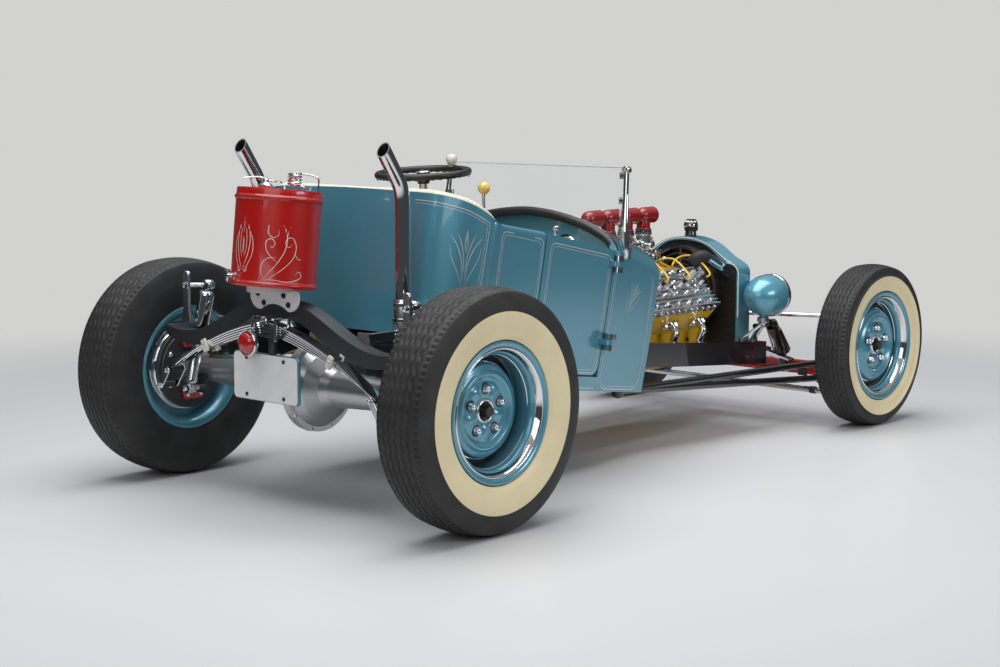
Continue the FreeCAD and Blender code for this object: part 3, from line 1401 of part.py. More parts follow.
WHEEL_DISH_SHARE = 3.0
HUB_SHARE = 1.9
SPOKE_SHARE = 0.55
SPOKES = 4
save("steering_wheel", steering_wheel())
COLUMN_AXIS = FreeCAD.Rotation(X_AXIS, STEERING_TILT).multVec(Z_AXIS)


def steering_column():
    """Straight tube from below the wheel's hub down through the floor to its flange."""
    hub = V(WHEEL_CENTRE_X, WHEEL_CENTRE_Y, WHEEL_CENTRE_Z)
    top = hub - COLUMN_AXIS * (STEERING_GRIP_R * WHEEL_DISH_SHARE + FIT)
    floor = in_car(0, 0, FLOOR_H + FLOOR_T + FIT)
    pitch = math.tan(math.radians(BODY_RAKE))
    level = floor.z + (WHEEL_CENTRE_Y - floor.y) * pitch
    low = top - COLUMN_AXIS * ((top.z - level + COLUMN_R) / COLUMN_AXIS.z)
    flange = rod(low, low + COLUMN_AXIS * COLUMN_R * 2, COLUMN_R * HUB_SHARE)
    under = body_placed(block(-OVERRUN, OVERRUN, 0, BACK_S, 0, FLOOR_H + FLOOR_T))
    return joined([rod(low, top, COLUMN_R), flange]).cut(under)


save("steering_column", steering_column())


def gear_lever():
    """Floor lever with a round knob."""
    knob = V(0, LEVER_KNOB_Y, LEVER_KNOB_Z)
    foot_s = (LEVER_KNOB_Y - BODY_FRONT_Y) * FOOT_SHARE
    foot = in_car(0, foot_s, FLOOR_H + FLOOR_T + FIT)
    boot = taper(foot, foot + Z_AXIS * GEARBOX_R / 2, GEARBOX_R / 2, LEVER_R * 2)
    boot = boot.cut(body_placed(block(-GEARBOX_R, GEARBOX_R, 0, BACK_S, 0, FLOOR_H + FLOOR_T + FIT)))
    return joined([boot, rod(foot + Z_AXIS * LEVER_R * 2, knob, LEVER_R), ball(knob, LEVER_KNOB_R)])


FOOT_SHARE = 0.9
save("gear_lever", gear_lever())


def bank_point(side, out, along_deck, y):
    """A place on one cylinder bank: out from the crank, and along the deck outwards."""
    tilt = math.radians(BANK_ANGLE) * side
    return V(math.sin(tilt) * out + side * math.cos(tilt) * along_deck,
             y, CRANK_Z + math.cos(tilt) * out - math.sin(abs(tilt)) * along_deck)


def bank_block(side, out_low, out_high, half, y_start, y_end):
    """A slab on one bank between two distances from the crank."""
    face = face_of([
        bank_point(side, out_low, -half, y_start),
        bank_point(side, out_low, half, y_start),
        bank_point(side, out_high, half, y_start),
        bank_point(side, out_high, -half, y_start),
    ])
    return face.extrude(V(0, y_end - y_start, 0))


ENGINE_L = ENGINE_REAR_Y - ENGINE_FRONT_Y
BANK_FRONT_Y = ENGINE_FRONT_Y + (ENGINE_L - HEAD_L) / 2


def engine_block():
    """Crankcase, two banks, valley, sump, front cover, bell flange and front mount ears."""
    low = CRANK_Z - SUMP_DROP
    crankcase = block(-BLOCK_HALF, BLOCK_HALF, ENGINE_FRONT_Y, ENGINE_REAR_Y, CRANK_Z - BLOCK_HALF / 2,
                      CRANK_Z + BLOCK_HALF / 2)
    sump = block(-BLOCK_HALF * SUMP_SHARE, BLOCK_HALF * SUMP_SHARE, ENGINE_FRONT_Y + BLOCK_HALF / 2,
                 ENGINE_REAR_Y - BLOCK_HALF / 2, low, CRANK_Z)
    parts = [crankcase, sump]
    for side in (1, -1):
        parts.append(bank_block(side, 0, DECK_OUT, BANK_W / 2, BANK_FRONT_Y, BANK_FRONT_Y + HEAD_L))
    parts.append(rod(V(0, ENGINE_FRONT_Y - PULLEY_L, CRANK_Z), V(0, ENGINE_FRONT_Y, CRANK_Z), PULLEY_R))
    return joined(parts)


SUMP_SHARE = 0.85
block_shape = engine_block()
save("engine_block", block_shape)


def cylinder_head(side):
    """Finned aluminium head with its nuts, and the cast water neck at the front."""
    floor = DECK_OUT + FIT
    top = floor + HEAD_T - FIN_H
    half = HEAD_W / 2
    end = BANK_FRONT_Y + HEAD_L
    parts = [bank_block(side, floor, top, half, BANK_FRONT_Y, end)]
    pitch = (HEAD_W - FIN_T) / (FINS - 1)
    for number in range(FINS):
        across = -half + FIN_T / 2 + pitch * number
        face = face_of([
            bank_point(side, top - FIN_T, across - FIN_T / 2, BANK_FRONT_Y + FIN_T),
            bank_point(side, top - FIN_T, across + FIN_T / 2, BANK_FRONT_Y + FIN_T),
            bank_point(side, top + FIN_H, across + FIN_T / 2, BANK_FRONT_Y + FIN_T),
            bank_point(side, top + FIN_H, across - FIN_T / 2, BANK_FRONT_Y + FIN_T),
        ])
        parts.append(face.extrude(V(0, HEAD_L - FIN_T * 2, 0)))
    neck = bank_point(side, top, -half / 2, BANK_FRONT_Y + HOSE_R * 2)
    tip = bank_point(side, top + HOSE_R * 2, -half / 2, BANK_FRONT_Y + HOSE_R * 2)
    parts.append(rod(neck, tip, HOSE_R))
    return joined(parts)


save("cylinder_heads", Part.makeCompound([cylinder_head(1), cylinder_head(-1)]))


def intake():
    """Manifold across the valley and the four carburettors in line on it."""
    low = CRANK_Z + BLOCK_HALF / 2 + FIT
    first = CARB_FIRST_Y + CARB_PITCH / 2
    last = CARB_FIRST_Y - CARB_PITCH * (CARBS - HALF_SHARE)
    parts = [
        block(-MANIFOLD_HALF, MANIFOLD_HALF, last, first, MANIFOLD_Z - MANIFOLD_T, MANIFOLD_Z),
        block(-MANIFOLD_FOOT_HALF, MANIFOLD_FOOT_HALF, last + MANIFOLD_T, first - MANIFOLD_T,
              low, MANIFOLD_Z - MANIFOLD_T).cut(block_shape),
    ]
    for number in range(CARBS):
        y = CARB_FIRST_Y - CARB_PITCH * number
        foot = V(0, y, MANIFOLD_Z)
        parts.append(rod(foot, foot + Z_AXIS * CARB_H, CARB_R))
        bowl = foot + Z_AXIS * CARB_H * BOWL_SHARE
        throat = bowl + Y_AXIS * CARB_R * THROAT_SHARE
        parts.append(rod(bowl - Y_AXIS * CARB_R * 2, throat, CARB_R * BOWL_R_SHARE))
        parts.append(block(-CARB_R * FLANGE_SHARE, CARB_R * FLANGE_SHARE, y - CARB_R, y + CARB_R,
                           MANIFOLD_Z, MANIFOLD_Z + FIREWALL_T))
    return joined(parts)


HALF_SHARE = 0.5
BOWL_SHARE = 0.55
BOWL_R_SHARE = 0.7
THROAT_SHARE = 1.2
FLANGE_SHARE = 1.5
save("carburettors", intake())


def air_scoop(y):
    """Bell-mouthed air horn that leans forward over its carburettor."""
    foot = V(0, y, MANIFOLD_Z + CARB_H + FIT)
    elbow = V(0, y, SCOOP_Z)
    return joined([
        rod(foot, elbow, CARB_R),
        turned([(-SCOOP_R, 0), (-SCOOP_R, SCOOP_R * SCOOP_SHARES[0]), (0, SCOOP_R * SCOOP_SHARES[1]),
                (SCOOP_L, SCOOP_R), (SCOOP_L, SCOOP_R - FIN_T), (SCOOP_R / 2, CARB_R * SCOOP_SHARES[0]),
                (SCOOP_R / 2, 0)], elbow, -Y_AXIS),
    ])


SCOOP_SHARES = (0.6, 0.95)
save("air_scoops", Part.makeCompound([air_scoop(CARB_FIRST_Y - CARB_PITCH * n) for n in range(CARBS)]))


def header():
    """Port pipes that sweep from the block's side down into one collector along the rail."""
    collector_z = CRANK_Z - COLLECTOR_DROP
    collector_x = BLOCK_HALF + COLLECTOR_R * 2
    start = V(collector_x, BANK_FRONT_Y + HEAD_L * PORT_SHARES[0] - PORT_PIPE_R, collector_z)
    parts = [rod(start, V(collector_x, HEADER_END_Y, collector_z), COLLECTOR_R)]
    for share in PORT_SHARES:
        y = BANK_FRONT_Y + HEAD_L * share
        port = bank_point(1, DECK_OUT * PORT_OUT_SHARE, BANK_W / 2 + FIT, y)
        knee = bank_point(1, DECK_OUT * PORT_OUT_SHARE, BANK_W / 2 + PORT_PIPE_R * 3, y)
        foot = V(collector_x, y + PORT_PIPE_R * 2, collector_z)
        parts.append(pipe([port, knee, foot], PORT_PIPE_R, PORT_PIPE_R * HOSE_BEND_SHARE))
    return joined(parts)


PORT_SHARES = (0.12, 0.45, 0.8)
PORT_OUT_SHARE = 0.76
HOSE_BEND_SHARE = 1.3
save("exhaust_headers", pair(header()))


def stack():
    """Upright pipe from the crossmember that sweeps back to a slanted tip."""
    low = V(STACK_X, STACK_Y, STACK_LOW_Z)
    bend = V(STACK_X, STACK_Y, STACK_BEND_Z)
    tip = V(STACK_X, STACK_TIP_Y, STACK_TIP_Z)
    end = tip + (tip - bend).normalize() * STACK_R
    outer = pipe([low, bend, end], STACK_R, STACK_BEND_R)
    inner = pipe([low + Z_AXIS * STACK_R, bend, end], STACK_R - STACK_WALL, STACK_BEND_R)
    tube = outer.cut(inner)
    tube = tube.cut(block(STACK_X - STACK_R * 2, STACK_X + STACK_R * 2, STACK_Y, CROSS_Y,
                          STACK_TIP_Z, STACK_TIP_Z + OVERRUN))
    seat = V(STACK_X, STACK_Y, STACK_CLAMP_Z)
    clamp = rod(seat, seat + Z_AXIS * STACK_CLAMP_R, STACK_CLAMP_R)
    arm = block(STACK_X - SHOCK_PLATE_T / 2, STACK_X + SHOCK_PLATE_T / 2, STACK_Y + STACK_R,
                CROSS_Y - CROSS_DEPTH / 2 - FIT, STACK_CLAMP_Z, STACK_CLAMP_Z + STACK_CLAMP_R)
    core = rod(V(STACK_X, STACK_Y, STACK_LOW_Z + STACK_R), V(STACK_X, STACK_Y, STACK_BEND_Z - STACK_R * 4),
               STACK_R - STACK_WALL)
    return joined([tube, clamp.cut(core), arm])


save("exhaust_stacks", pair(stack()))


def shell_outline(grow, y):
    """The radiator shell's front view: upright sides, sloping shoulders and a soft crown."""
    half = SHELL_HALF + grow
    low = SHELL_LOW_Z - (grow if grow > 0 else 0)
    points = [
        V(half, y, SHELL_SHOULDER_Z - SHELL_CORNER),
        V(half - SHELL_CORNER * CORNER_SHARES[0], y, SHELL_SHOULDER_Z - SHELL_CORNER * CORNER_SHARES[0]),
        V(SHELL_SHOULDER_X - SHELL_CORNER * CORNER_SHARES[1] + grow, y,
          SHELL_SHOULDER_Z + SHELL_CORNER * CORNER_SHARES[2] + grow),
        V(SHELL_HALF / 2 + grow / 2, y, SHELL_TOP_Z - SHELL_CORNER * CORNER_SHARES[3] + grow),
        V(0, y, SHELL_TOP_Z + grow),
    ]
    whole = points + [V(-p.x, p.y, p.z) for p in reversed(points[:-1])]
    return Part.Wire([
        smooth(whole),
        Part.makeLine(whole[-1], V(-half, y, low)),
        Part.makeLine(V(-half, y, low), V(half, y, low)),
        Part.makeLine(V(half, y, low), whole[0]),
    ])


CORNER_SHARES = (0.22, 0.6, 0.22, 0.55)


def shell_prism(grow, y_start, y_end):
    return Part.Face(shell_outline(grow, y_start)).extrude(V(0, y_end - y_start, 0))


def radiator_shell():
    """Surround with a rolled lip at its front, open at the rear for the core."""
    front = SHELL_Y - SHELL_DEPTH / 2
    rear = SHELL_Y + SHELL_DEPTH / 2
    outer = shell_prism(0, front, rear)
    inner = shell_prism(-SHELL_WALL, front + SHELL_WALL, rear + SHELL_WALL)
    window = shell_prism(-SHELL_WALL * 2, front - SHELL_WALL, rear)
    return outer.cut(inner).cut(window).removeSplitter()


def radiator():
    """Core with its tanks, filler neck and cap, and the wire guard over the fan's opening."""
    front = SHELL_Y - SHELL_DEPTH / 2 + SHELL_WALL + FIT
    core = shell_prism(-SHELL_WALL - FIT, front, front + CORE_DEPTH)
    parts = [core]
    centre = V(0, front + CORE_DEPTH, SHELL_LOW_Z + GUARD_R + GUARD_LIFT)
    back = Y_AXIS * GUARD_DEPTH
    for number in range(GUARD_RINGS):
        radius = GUARD_R * (number + 1) / GUARD_RINGS
        ring = rod(centre + back, centre + back + Y_AXIS * GUARD_WIRE_R, radius).cut(
            rod(centre + back, centre + back + Y_AXIS * GUARD_WIRE_R, radius - GUARD_WIRE_R))
        parts.append(ring)
    for number in range(GUARD_SPOKES):
        turn = math.pi * number / GUARD_SPOKES
        way = V(math.cos(turn), 0, math.sin(turn)) * GUARD_R
        across = V(-math.sin(turn), 0, math.cos(turn)) * GUARD_WIRE_R
        bar = face_of([centre + back + way + across, centre + back + way - across,
                       centre + back - way - across, centre + back - way + across])
        parts.append(bar.extrude(Y_AXIS * GUARD_WIRE_R))
    shroud = rod(centre, centre + back + Y_AXIS * GUARD_WIRE_R, GUARD_R + SHELL_WALL / 2)
    parts.append(shroud.cut(rod(centre, centre + back * 2, GUARD_R)))
    body = joined(parts)
    top = V(0, SHELL_Y, SHELL_TOP_Z - SHELL_WALL * 2)
    cap = joined([
        rod(top, V(0, SHELL_Y, SHELL_TOP_Z + CAP_H), CAP_NECK_R),
        rod(V(0, SHELL_Y, SHELL_TOP_Z + CAP_H * CAP_SHARE), V(0, SHELL_Y, SHELL_TOP_Z + CAP_H), CAP_R),
        rod(V(0, SHELL_Y, SHELL_TOP_Z + CAP_H), V(0, SHELL_Y, SHELL_TOP_Z + CAP_H + CAP_KNOB_H), CAP_NECK_R),
    ])
    return body, cap


CAP_SHARE = 0.5
radiator_body, radiator_cap = radiator()
neck_hole = rod(V(0, SHELL_Y, SHELL_SHOULDER_Z), V(0, SHELL_Y, SHELL_TOP_Z + CAP_H), CAP_NECK_R + FIT)
save("radiator_shell", radiator_shell().cut(neck_hole))
save("radiator", radiator_body.fuse(radiator_cap).removeSplitter())


def coolant_hose(side):
    """Dark elbow from the head's neck, then a polished tube forward to the top tank."""
    y = BANK_FRONT_Y + HOSE_R * 2
    mouth = bank_point(side, DECK_OUT + FIT * 2 + HEAD_T - FIN_H + HOSE_R * 2, -HEAD_W / 2, y)
    away = (mouth - bank_point(side, 0, -HEAD_W / 2, y)).normalize()
    tank_y = SHELL_Y - SHELL_DEPTH / 2 + SHELL_WALL + CORE_DEPTH + FIT * 2
    end = V(side * HOSE_TANK_X, tank_y, HOSE_TANK_Z)
    corner = mouth + away * HOSE_R * 2
    hose = pipe([mouth, corner, end - (corner - end).normalize() * HOSE_R], HOSE_R, HOSE_R * HOSE_BEND_SHARE)
    ahead = block(-OVERRUN, OVERRUN, SHELL_Y - OVERRUN, tank_y, 0, OVERRUN * 2)
    return hose.cut(ahead)


save("coolant_hoses", Part.makeCompound([coolant_hose(1), coolant_hose(-1)]))


def headlamp():
    """Bullet-shaped bucket, open to a lens set in a polished rim."""
    face = V(LAMP_X, LAMP_Y - LAMP_L / 2, LAMP_Z)
    profile = [(LAMP_RIM_W * RIM_FACE_SHARE, 0), (LAMP_RIM_W * RIM_FACE_SHARE, LAMP_R - LAMP_RIM_W / 2),
               (0, LAMP_R - LAMP_RIM_W / 2), (0, LAMP_R), (LAMP_RIM_W, LAMP_R), (LAMP_RIM_W, LAMP_R - FIN_T)]
    for along, radius in LAMP_SHARES:
        profile.append((LAMP_RIM_W + (LAMP_L - LAMP_RIM_W) * along, (LAMP_R - FIN_T) * radius))
    profile.append((LAMP_L, 0))
    return turned(profile, face, Y_AXIS)


RIM_FACE_SHARE = 0.35
LAMP_SHARES = ((0.3, 0.96), (0.55, 0.83), (0.75, 0.64), (0.9, 0.4))
save("headlamps", pair(headlamp()))


def lamp_stand():
    """Upright bar from the rail's nose with a saddle below the lamp, braced back to the rail."""
    foot_y = RAIL_FRONT_Y + FRONT_CROSS_L
    rail_up = V(0, -math.sin(math.radians(RAIL_RAKE)), math.cos(math.radians(RAIL_RAKE)))
    low = V(RAIL_FRONT_X + FIN_T, foot_y, rail_top(foot_y) + FIT * 2)
    top = V(LAMP_X, LAMP_Y, LAMP_Z - LAMP_R - STAND_GAP)
    seat = rod(top, V(LAMP_X, LAMP_Y, LAMP_Z), LAMP_STAND_R)
    foot = rod(low, low + rail_up * LAMP_STAND_R, LAMP_STAND_R * FOOT_SHARE)
    back = V(RAIL_FRONT_X, foot_y + FRONT_CROSS_L, rail_top(foot_y + FRONT_CROSS_L) + FIT)
    bar = joined([seat, rod(low + rail_up * LAMP_STAND_R, top, LAMP_STAND_R), ball(top, LAMP_STAND_R), foot,
                  rod(back + Z_AXIS * LAMP_STAND_R, top, LAMP_STAND_R / 2),
                  rod(back, back + rail_up * LAMP_STAND_R, LAMP_STAND_R)])
    return bar.cut(headlamp())



FOOT_SHARE = 1.4
save("headlamp_stands", pair(lamp_stand()))


def fuel_can():
    """Leaning drum with two rolled beads, a filler collar, a valve and a wire bail."""
    lid_z = CAN_H - FIN_T * 2
    bead = [(0, CAN_R), (FIN_T, CAN_BEAD_R), (CAN_BEAD_W, CAN_BEAD_R), (CAN_BEAD_W + FIN_T, CAN_R)]
    profile = [(0, 0)] + bead
    for along, radius in bead:
        profile.append((CAN_H - CAN_TOP_BEAD + along, radius))
    profile += [(CAN_H, CAN_R), (CAN_H, CAN_R - FIN_T), (lid_z, CAN_R - FIN_T), (lid_z, 0)]
    can = turned(profile, V(0, 0, 0), Z_AXIS)
    cap = V(CAN_R / 2, 0, lid_z)
    parts = [
        can,
        rod(cap, cap + Z_AXIS * CAN_LID_R / 2, CAN_LID_R * CAN_CAP_SHARE),
        rod(cap + Z_AXIS * CAN_LID_R / 2, cap + Z_AXIS * CAN_LID_R, CAN_LID_R * CAN_CAP_SHARE / 2),
    ]
    ear_x = CAN_R * EAR_SHARE
    left = V(-CAN_R + BAIL_R * 2, 0, lid_z)
    right = V(-ear_x, 0, lid_z)
    high = Z_AXIS * BAIL_RISE
    parts.append(pipe([left, left + high, right + high, right], BAIL_R, BAIL_R * 4))
    grip = V((left.x + right.x) / 2 - GRIP_L / 2, 0, lid_z + BAIL_RISE)
    parts.append(rod(grip, grip + X_AXIS * GRIP_L, BAIL_R * 2))
    valve = V(CAN_R * math.sin(VALVE_TURN), CAN_R * math.cos(VALVE_TURN), CAN_BEAD_W * 3)
    out = V(valve.x, valve.y, 0).normalize()
    parts.append(rod(valve - out * FIN_T, valve + out * CAN_BEAD_W * 2, BAIL_R * 2))
    parts.append(rod(valve + out * CAN_BEAD_W, valve + out * CAN_BEAD_W - Z_AXIS * CAN_BEAD_W * 2, BAIL_R))
    made = joined(parts)
    made.Placement = FreeCAD.Placement(V(0, CAN_LOW_Y, CAN_LOW_Z), FreeCAD.Rotation(X_AXIS, CAN_LEAN))
    return made


CAN_CAP_SHARE = 0.4
EAR_SHARE = 0.1
save("fuel_can", fuel_can())


def can_bracket():
    """Scalloped plate on the crossmember's rear face with a tray and strap up to the can."""
    y = CROSS_Y + CROSS_DEPTH / 2 + FIT
    top = CAN_LOW_Z - CAN_PLATE_T
    low = top - CAN_PLATE_H
    half = CAN_PLATE_HALF
    wire = Part.Wire([
        Part.makeLine(V(-half, y, top), V(half, y, top)),
        Part.Arc(V(half, y, top), V(half * PLATE_SHARES[0], y, low + CAN_PLATE_T * 2),
                 V(half * PLATE_SHARES[1], y, low)).toShape(),
        Part.Arc(V(half * PLATE_SHARES[1], y, low), V(0, y, low + CAN_PLATE_H * PLATE_SHARES[2]),
                 V(-half * PLATE_SHARES[1], y, low)).toShape(),
        Part.Arc(V(-half * PLATE_SHARES[1], y, low), V(-half * PLATE_SHARES[0], y, low + CAN_PLATE_T * 2),
                 V(-half, y, top)).toShape(),
    ])
    plate = Part.Face(wire).extrude(V(0, CAN_PLATE_T, 0))
    tray = rod(V(0, CAN_LOW_Y, top - CAN_PLATE_T), V(0, CAN_LOW_Y, CAN_LOW_Z + OVERRUN), CAN_R * TRAY_SHARE)
    lean = block(-CAN_R, CAN_R, -CAN_R, CAN_R, -FIT, OVERRUN * 2)
    lean.Placement = FreeCAD.Placement(V(0, CAN_LOW_Y, CAN_LOW_Z), FreeCAD.Rotation(X_AXIS, CAN_LEAN))
    made = joined([plate, tray]).cut(lean)
    clear = block(-CAN_R, CAN_R, CAN_LOW_Y - CAN_R, y - FIT / 2, 0, CROSS_PEAK_Z + FIT)
    return made.cut(clear)


PLATE_SHARES = (0.93, 0.6, 0.3)
TRAY_SHARE = 0.62
save("can_bracket", can_bracket())


def number_plate():
    """Blank plate with four fixing holes, on a frame that hangs from the spring's clamp."""
    back_y = PLATE_Y - PLATE_T
    half = PLATE_W / 2
    low = PLATE_Z - PLATE_H / 2
    high = PLATE_Z + PLATE_H / 2
    plate = block(-half, half, back_y, PLATE_Y, low, high)
    upright = [edge for edge in plate.Edges if abs(edge.tangentAt(edge.FirstParameter).y) > HALF_SHARE]
    plate = plate.makeFillet(PLATE_HOLE_R * PLATE_CORNER_SHARE, upright)
    top = high - PLATE_FRAME_W / 2
    frame = block(-half + PLATE_FRAME_W, half - PLATE_FRAME_W, back_y - PLATE_FRAME_T, back_y,
                  low + PLATE_FRAME_W / 2, top)
    hollow = block(-half + PLATE_FRAME_W * 2, half - PLATE_FRAME_W * 2, back_y - OVERRUN, back_y,
                   low + PLATE_FRAME_W, high - PLATE_FRAME_W)
    made = joined([plate, frame.cut(hollow)])
    for x in (-PLATE_HOLE_X / 2, PLATE_HOLE_X / 2):
        for z in (-PLATE_HOLE_Z / 2, PLATE_HOLE_Z / 2):
            spot = V(x, PLATE_Y - OVERRUN, PLATE_Z + z)
            made = made.cut(rod(spot, spot + Y_AXIS * OVERRUN * 2, PLATE_HOLE_R))
    spring_low = REAR_SPRING_TOP_Z - REAR_SPRING_LEAF * REAR_SPRING_LEAVES - FIT * 2
    back = REAR_SPRING_Y - REAR_SPRING_W / 2
    near = -PLATE_HANGER_X
    return joined([
        made,
        block(near * 3, near, back_y - PLATE_FRAME_T, back_y, top - FIN_T, spring_low),
        block(near * 3, near, back, back_y, spring_low - FIN_T, spring_low),
    ]).cut(rear_spring_shape)


PLATE_CORNER_SHARE = 4.0
save("number_plate", number_plate())


def tail_lamp():
    """Round lens in a polished rim, its stem resting on the plate's frame."""
    back = V(TAIL_LAMP_X, REAR_SPRING_Y + REAR_SPRING_W / 2 + SHACKLE_R, TAIL_LAMP_Z)
    small = TAIL_LAMP_R * LAMP_BACK_SHARE
    bucket = turned([(0, 0), (0, small), (small, TAIL_LAMP_R), (small + FIN_T, TAIL_LAMP_R),
                     (TAIL_LAMP_R, TAIL_LAMP_R * LENS_SHARE), (TAIL_LAMP_R, 0)], back, Y_AXIS)
    low = PLATE_Z + PLATE_H / 2 + FIT
    y = PLATE_Y - PLATE_T - PLATE_FRAME_T / 2
    x = TAIL_LAMP_X + PLATE_FRAME_W
    stem = block(x - FIN_T, x + FIN_T, y - FIN_T, back.y + FIN_T * 2, low, low + FIN_T * 2)
    neck = block(x - FIN_T, x + FIN_T, back.y + FIN_T, back.y + FIN_T * 2, low, TAIL_LAMP_Z)
    return joined([bucket, stem, neck])


LAMP_BACK_SHARE = 0.5
LENS_SHARE = 0.82
save("tail_lamp", tail_lamp())
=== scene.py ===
"""Studio scene of the street rod roadster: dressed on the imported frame, in metres."""
import bpy
import math
from mathutils import Matrix, Vector


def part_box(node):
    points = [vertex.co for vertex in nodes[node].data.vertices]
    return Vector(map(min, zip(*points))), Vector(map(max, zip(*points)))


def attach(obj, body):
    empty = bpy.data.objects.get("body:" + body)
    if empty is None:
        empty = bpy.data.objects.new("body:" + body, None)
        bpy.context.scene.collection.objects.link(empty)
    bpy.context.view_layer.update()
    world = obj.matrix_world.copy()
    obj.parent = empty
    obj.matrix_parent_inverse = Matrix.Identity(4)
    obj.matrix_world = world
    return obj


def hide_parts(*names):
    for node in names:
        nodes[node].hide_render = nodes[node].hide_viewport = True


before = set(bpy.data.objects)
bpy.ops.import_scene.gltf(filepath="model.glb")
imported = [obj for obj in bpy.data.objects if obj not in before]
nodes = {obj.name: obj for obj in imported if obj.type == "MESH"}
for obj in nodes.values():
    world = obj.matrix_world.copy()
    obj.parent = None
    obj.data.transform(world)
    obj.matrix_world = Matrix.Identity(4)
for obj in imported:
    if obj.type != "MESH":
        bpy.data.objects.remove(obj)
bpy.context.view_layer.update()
UP, DOWN = (0, 0, 1), (0, 0, -1)
BACK, AHEAD = (0, 1, 0), (0, -1, 0)
SIDES = (1, -1)
BLUE = (0.092, 0.315, 0.42, 1.0)
CREAM = (0.82, 0.71, 0.45, 1.0)
UPHOLSTERY = (0.72, 0.66, 0.52, 1.0)
RED = (0.46, 0.005, 0.002, 1.0)
DEEP_RED = (0.26, 0.004, 0.006, 1.0)
YELLOW = (0.82, 0.5, 0.012, 1.0)
SILVER_LINE = (0.62, 0.68, 0.7, 1.0)


def material(name, color, rough, metal=0.0, coat=0.0):
    """A node material with its shader; detail is added by the helpers below."""
    made = bpy.data.materials.new(name)
    made.use_nodes = True
    shader = made.node_tree.nodes["Principled BSDF"]
    shader.inputs["Base Color"].default_value = color
    shader.inputs["Roughness"].default_value = rough
    shader.inputs["Metallic"].default_value = metal
    shader.inputs["Coat Weight"].default_value = coat
    shader.inputs["Coat Roughness"].default_value = 0.03
    return made


def noise(made, scale, detail=3.0):
    """A noise texture in the object's own metres."""
    tree = made.node_tree
    place = tree.nodes.new("ShaderNodeTexCoord")
    made_noise = tree.nodes.new("ShaderNodeTexNoise")
    made_noise.inputs["Scale"].default_value = scale
    made_noise.inputs["Detail"].default_value = detail
    tree.links.new(place.outputs["Object"], made_noise.inputs["Vector"])
    return made_noise


def mottle(made, scale, dark, light, detail=3.0):
    """Base colour that wanders between two tones."""
    tree = made.node_tree
    source = noise(made, scale, detail)
    ramp = tree.nodes.new("ShaderNodeValToRGB")
    ramp.color_ramp.elements[0].position = 0.35
    ramp.color_ramp.elements[1].position = 0.65
    ramp.color_ramp.elements[0].color = dark
    ramp.color_ramp.elements[1].color = light
    tree.links.new(source.outputs["Fac"], ramp.inputs["Fac"])
    tree.links.new(ramp.outputs["Color"], made.node_tree.nodes["Principled BSDF"].inputs["Base Color"])
    return made


def grain(made, scale, strength, distance, detail=3.0):
    """Surface relief from noise."""
    tree = made.node_tree
    source = noise(made, scale, detail)
    bump = tree.nodes.new("ShaderNodeBump")
    bump.inputs["Strength"].default_value = strength
    bump.inputs["Distance"].default_value = distance
    tree.links.new(source.outputs["Fac"], bump.inputs["Height"])
    tree.links.new(bump.outputs["Normal"], tree.nodes["Principled BSDF"].inputs["Normal"])
    return made


def smudge(made, scale, low, high):
    """Roughness that varies over the surface."""
    tree = made.node_tree
    source = noise(made, scale)
    spread = tree.nodes.new("ShaderNodeMapRange")
    spread.inputs["To Min"].default_value = low
    spread.inputs["To Max"].default_value = high
    tree.links.new(source.outputs["Fac"], spread.inputs["Value"])
    tree.links.new(spread.outputs["Result"], tree.nodes["Principled BSDF"].inputs["Roughness"])
    return made


def tone(color, factor):
    """A lighter or darker tone of a colour."""
    return tuple(channel * factor for channel in color[:3]) + (1.0,)


def make_paint(name, color, flake, coat=1.0):
    """Coated car paint, with metal flake or plain."""
    made = material(name, color, 0.32, 0.35 if flake else 0.0, coat)
    if flake:
        mottle(made, 900.0, tone(color, 0.9), tone(color, 1.12), 2.0)
    else:
        mottle(made, 6.0, tone(color, 0.95), tone(color, 1.03))
    return grain(made, 9.0, 0.03, 0.002)


paint = make_paint("blue_metallic_paint", BLUE, True)
red_paint = make_paint("red_paint", RED, False, 0.6)
scoop_red = make_paint("scoop_red", DEEP_RED, False, 0.6)
yellow_paint = grain(make_paint("yellow_enamel", YELLOW, False, 0.25), 120.0, 0.25, 0.001)
black_paint = make_paint("black_gloss_paint", (0.006, 0.006, 0.007, 1.0), False)
chrome = smudge(grain(material("chrome", (0.74, 0.75, 0.77, 1.0), 0.05, 1.0), 30.0, 0.02, 0.001), 12.0,
    0.03, 0.1)
satin_dark = smudge(material("satin_dark_metal", (0.035, 0.036, 0.04, 1.0), 0.38, 0.3), 20.0, 0.32, 0.46)
silver = smudge(grain(material("satin_silver", (0.52, 0.53, 0.54, 1.0), 0.32, 0.9), 60.0, 0.06, 0.001),
    15.0, 0.26, 0.4)
aluminium = smudge(grain(material("polished_aluminium", (0.66, 0.67, 0.68, 1.0), 0.2, 1.0), 80.0, 0.05,
    0.001), 25.0, 0.15, 0.3)
iron = grain(mottle(material("dark_cast_iron", (0.05, 0.05, 0.05, 1.0), 0.55, 0.5), 40.0,
    (0.035, 0.035, 0.037, 1.0), (0.07, 0.068, 0.065, 1.0)), 180.0, 0.3, 0.002)
rubber = grain(mottle(material("black_rubber", (0.018, 0.018, 0.019, 1.0), 0.62), 12.0,
    (0.014, 0.014, 0.015, 1.0), (0.026, 0.026, 0.027, 1.0)), 260.0, 0.15, 0.001)
white_rubber = grain(mottle(material("cream_whitewall", CREAM, 0.5), 7.0, tone(CREAM, 0.95),
    tone(CREAM, 1.03)), 200.0, 0.08, 0.001)
leather = grain(mottle(material("cream_leather", UPHOLSTERY, 0.48), 9.0, tone(UPHOLSTERY, 0.92),
    tone(UPHOLSTERY, 1.05)), 320.0, 0.25, 0.002)
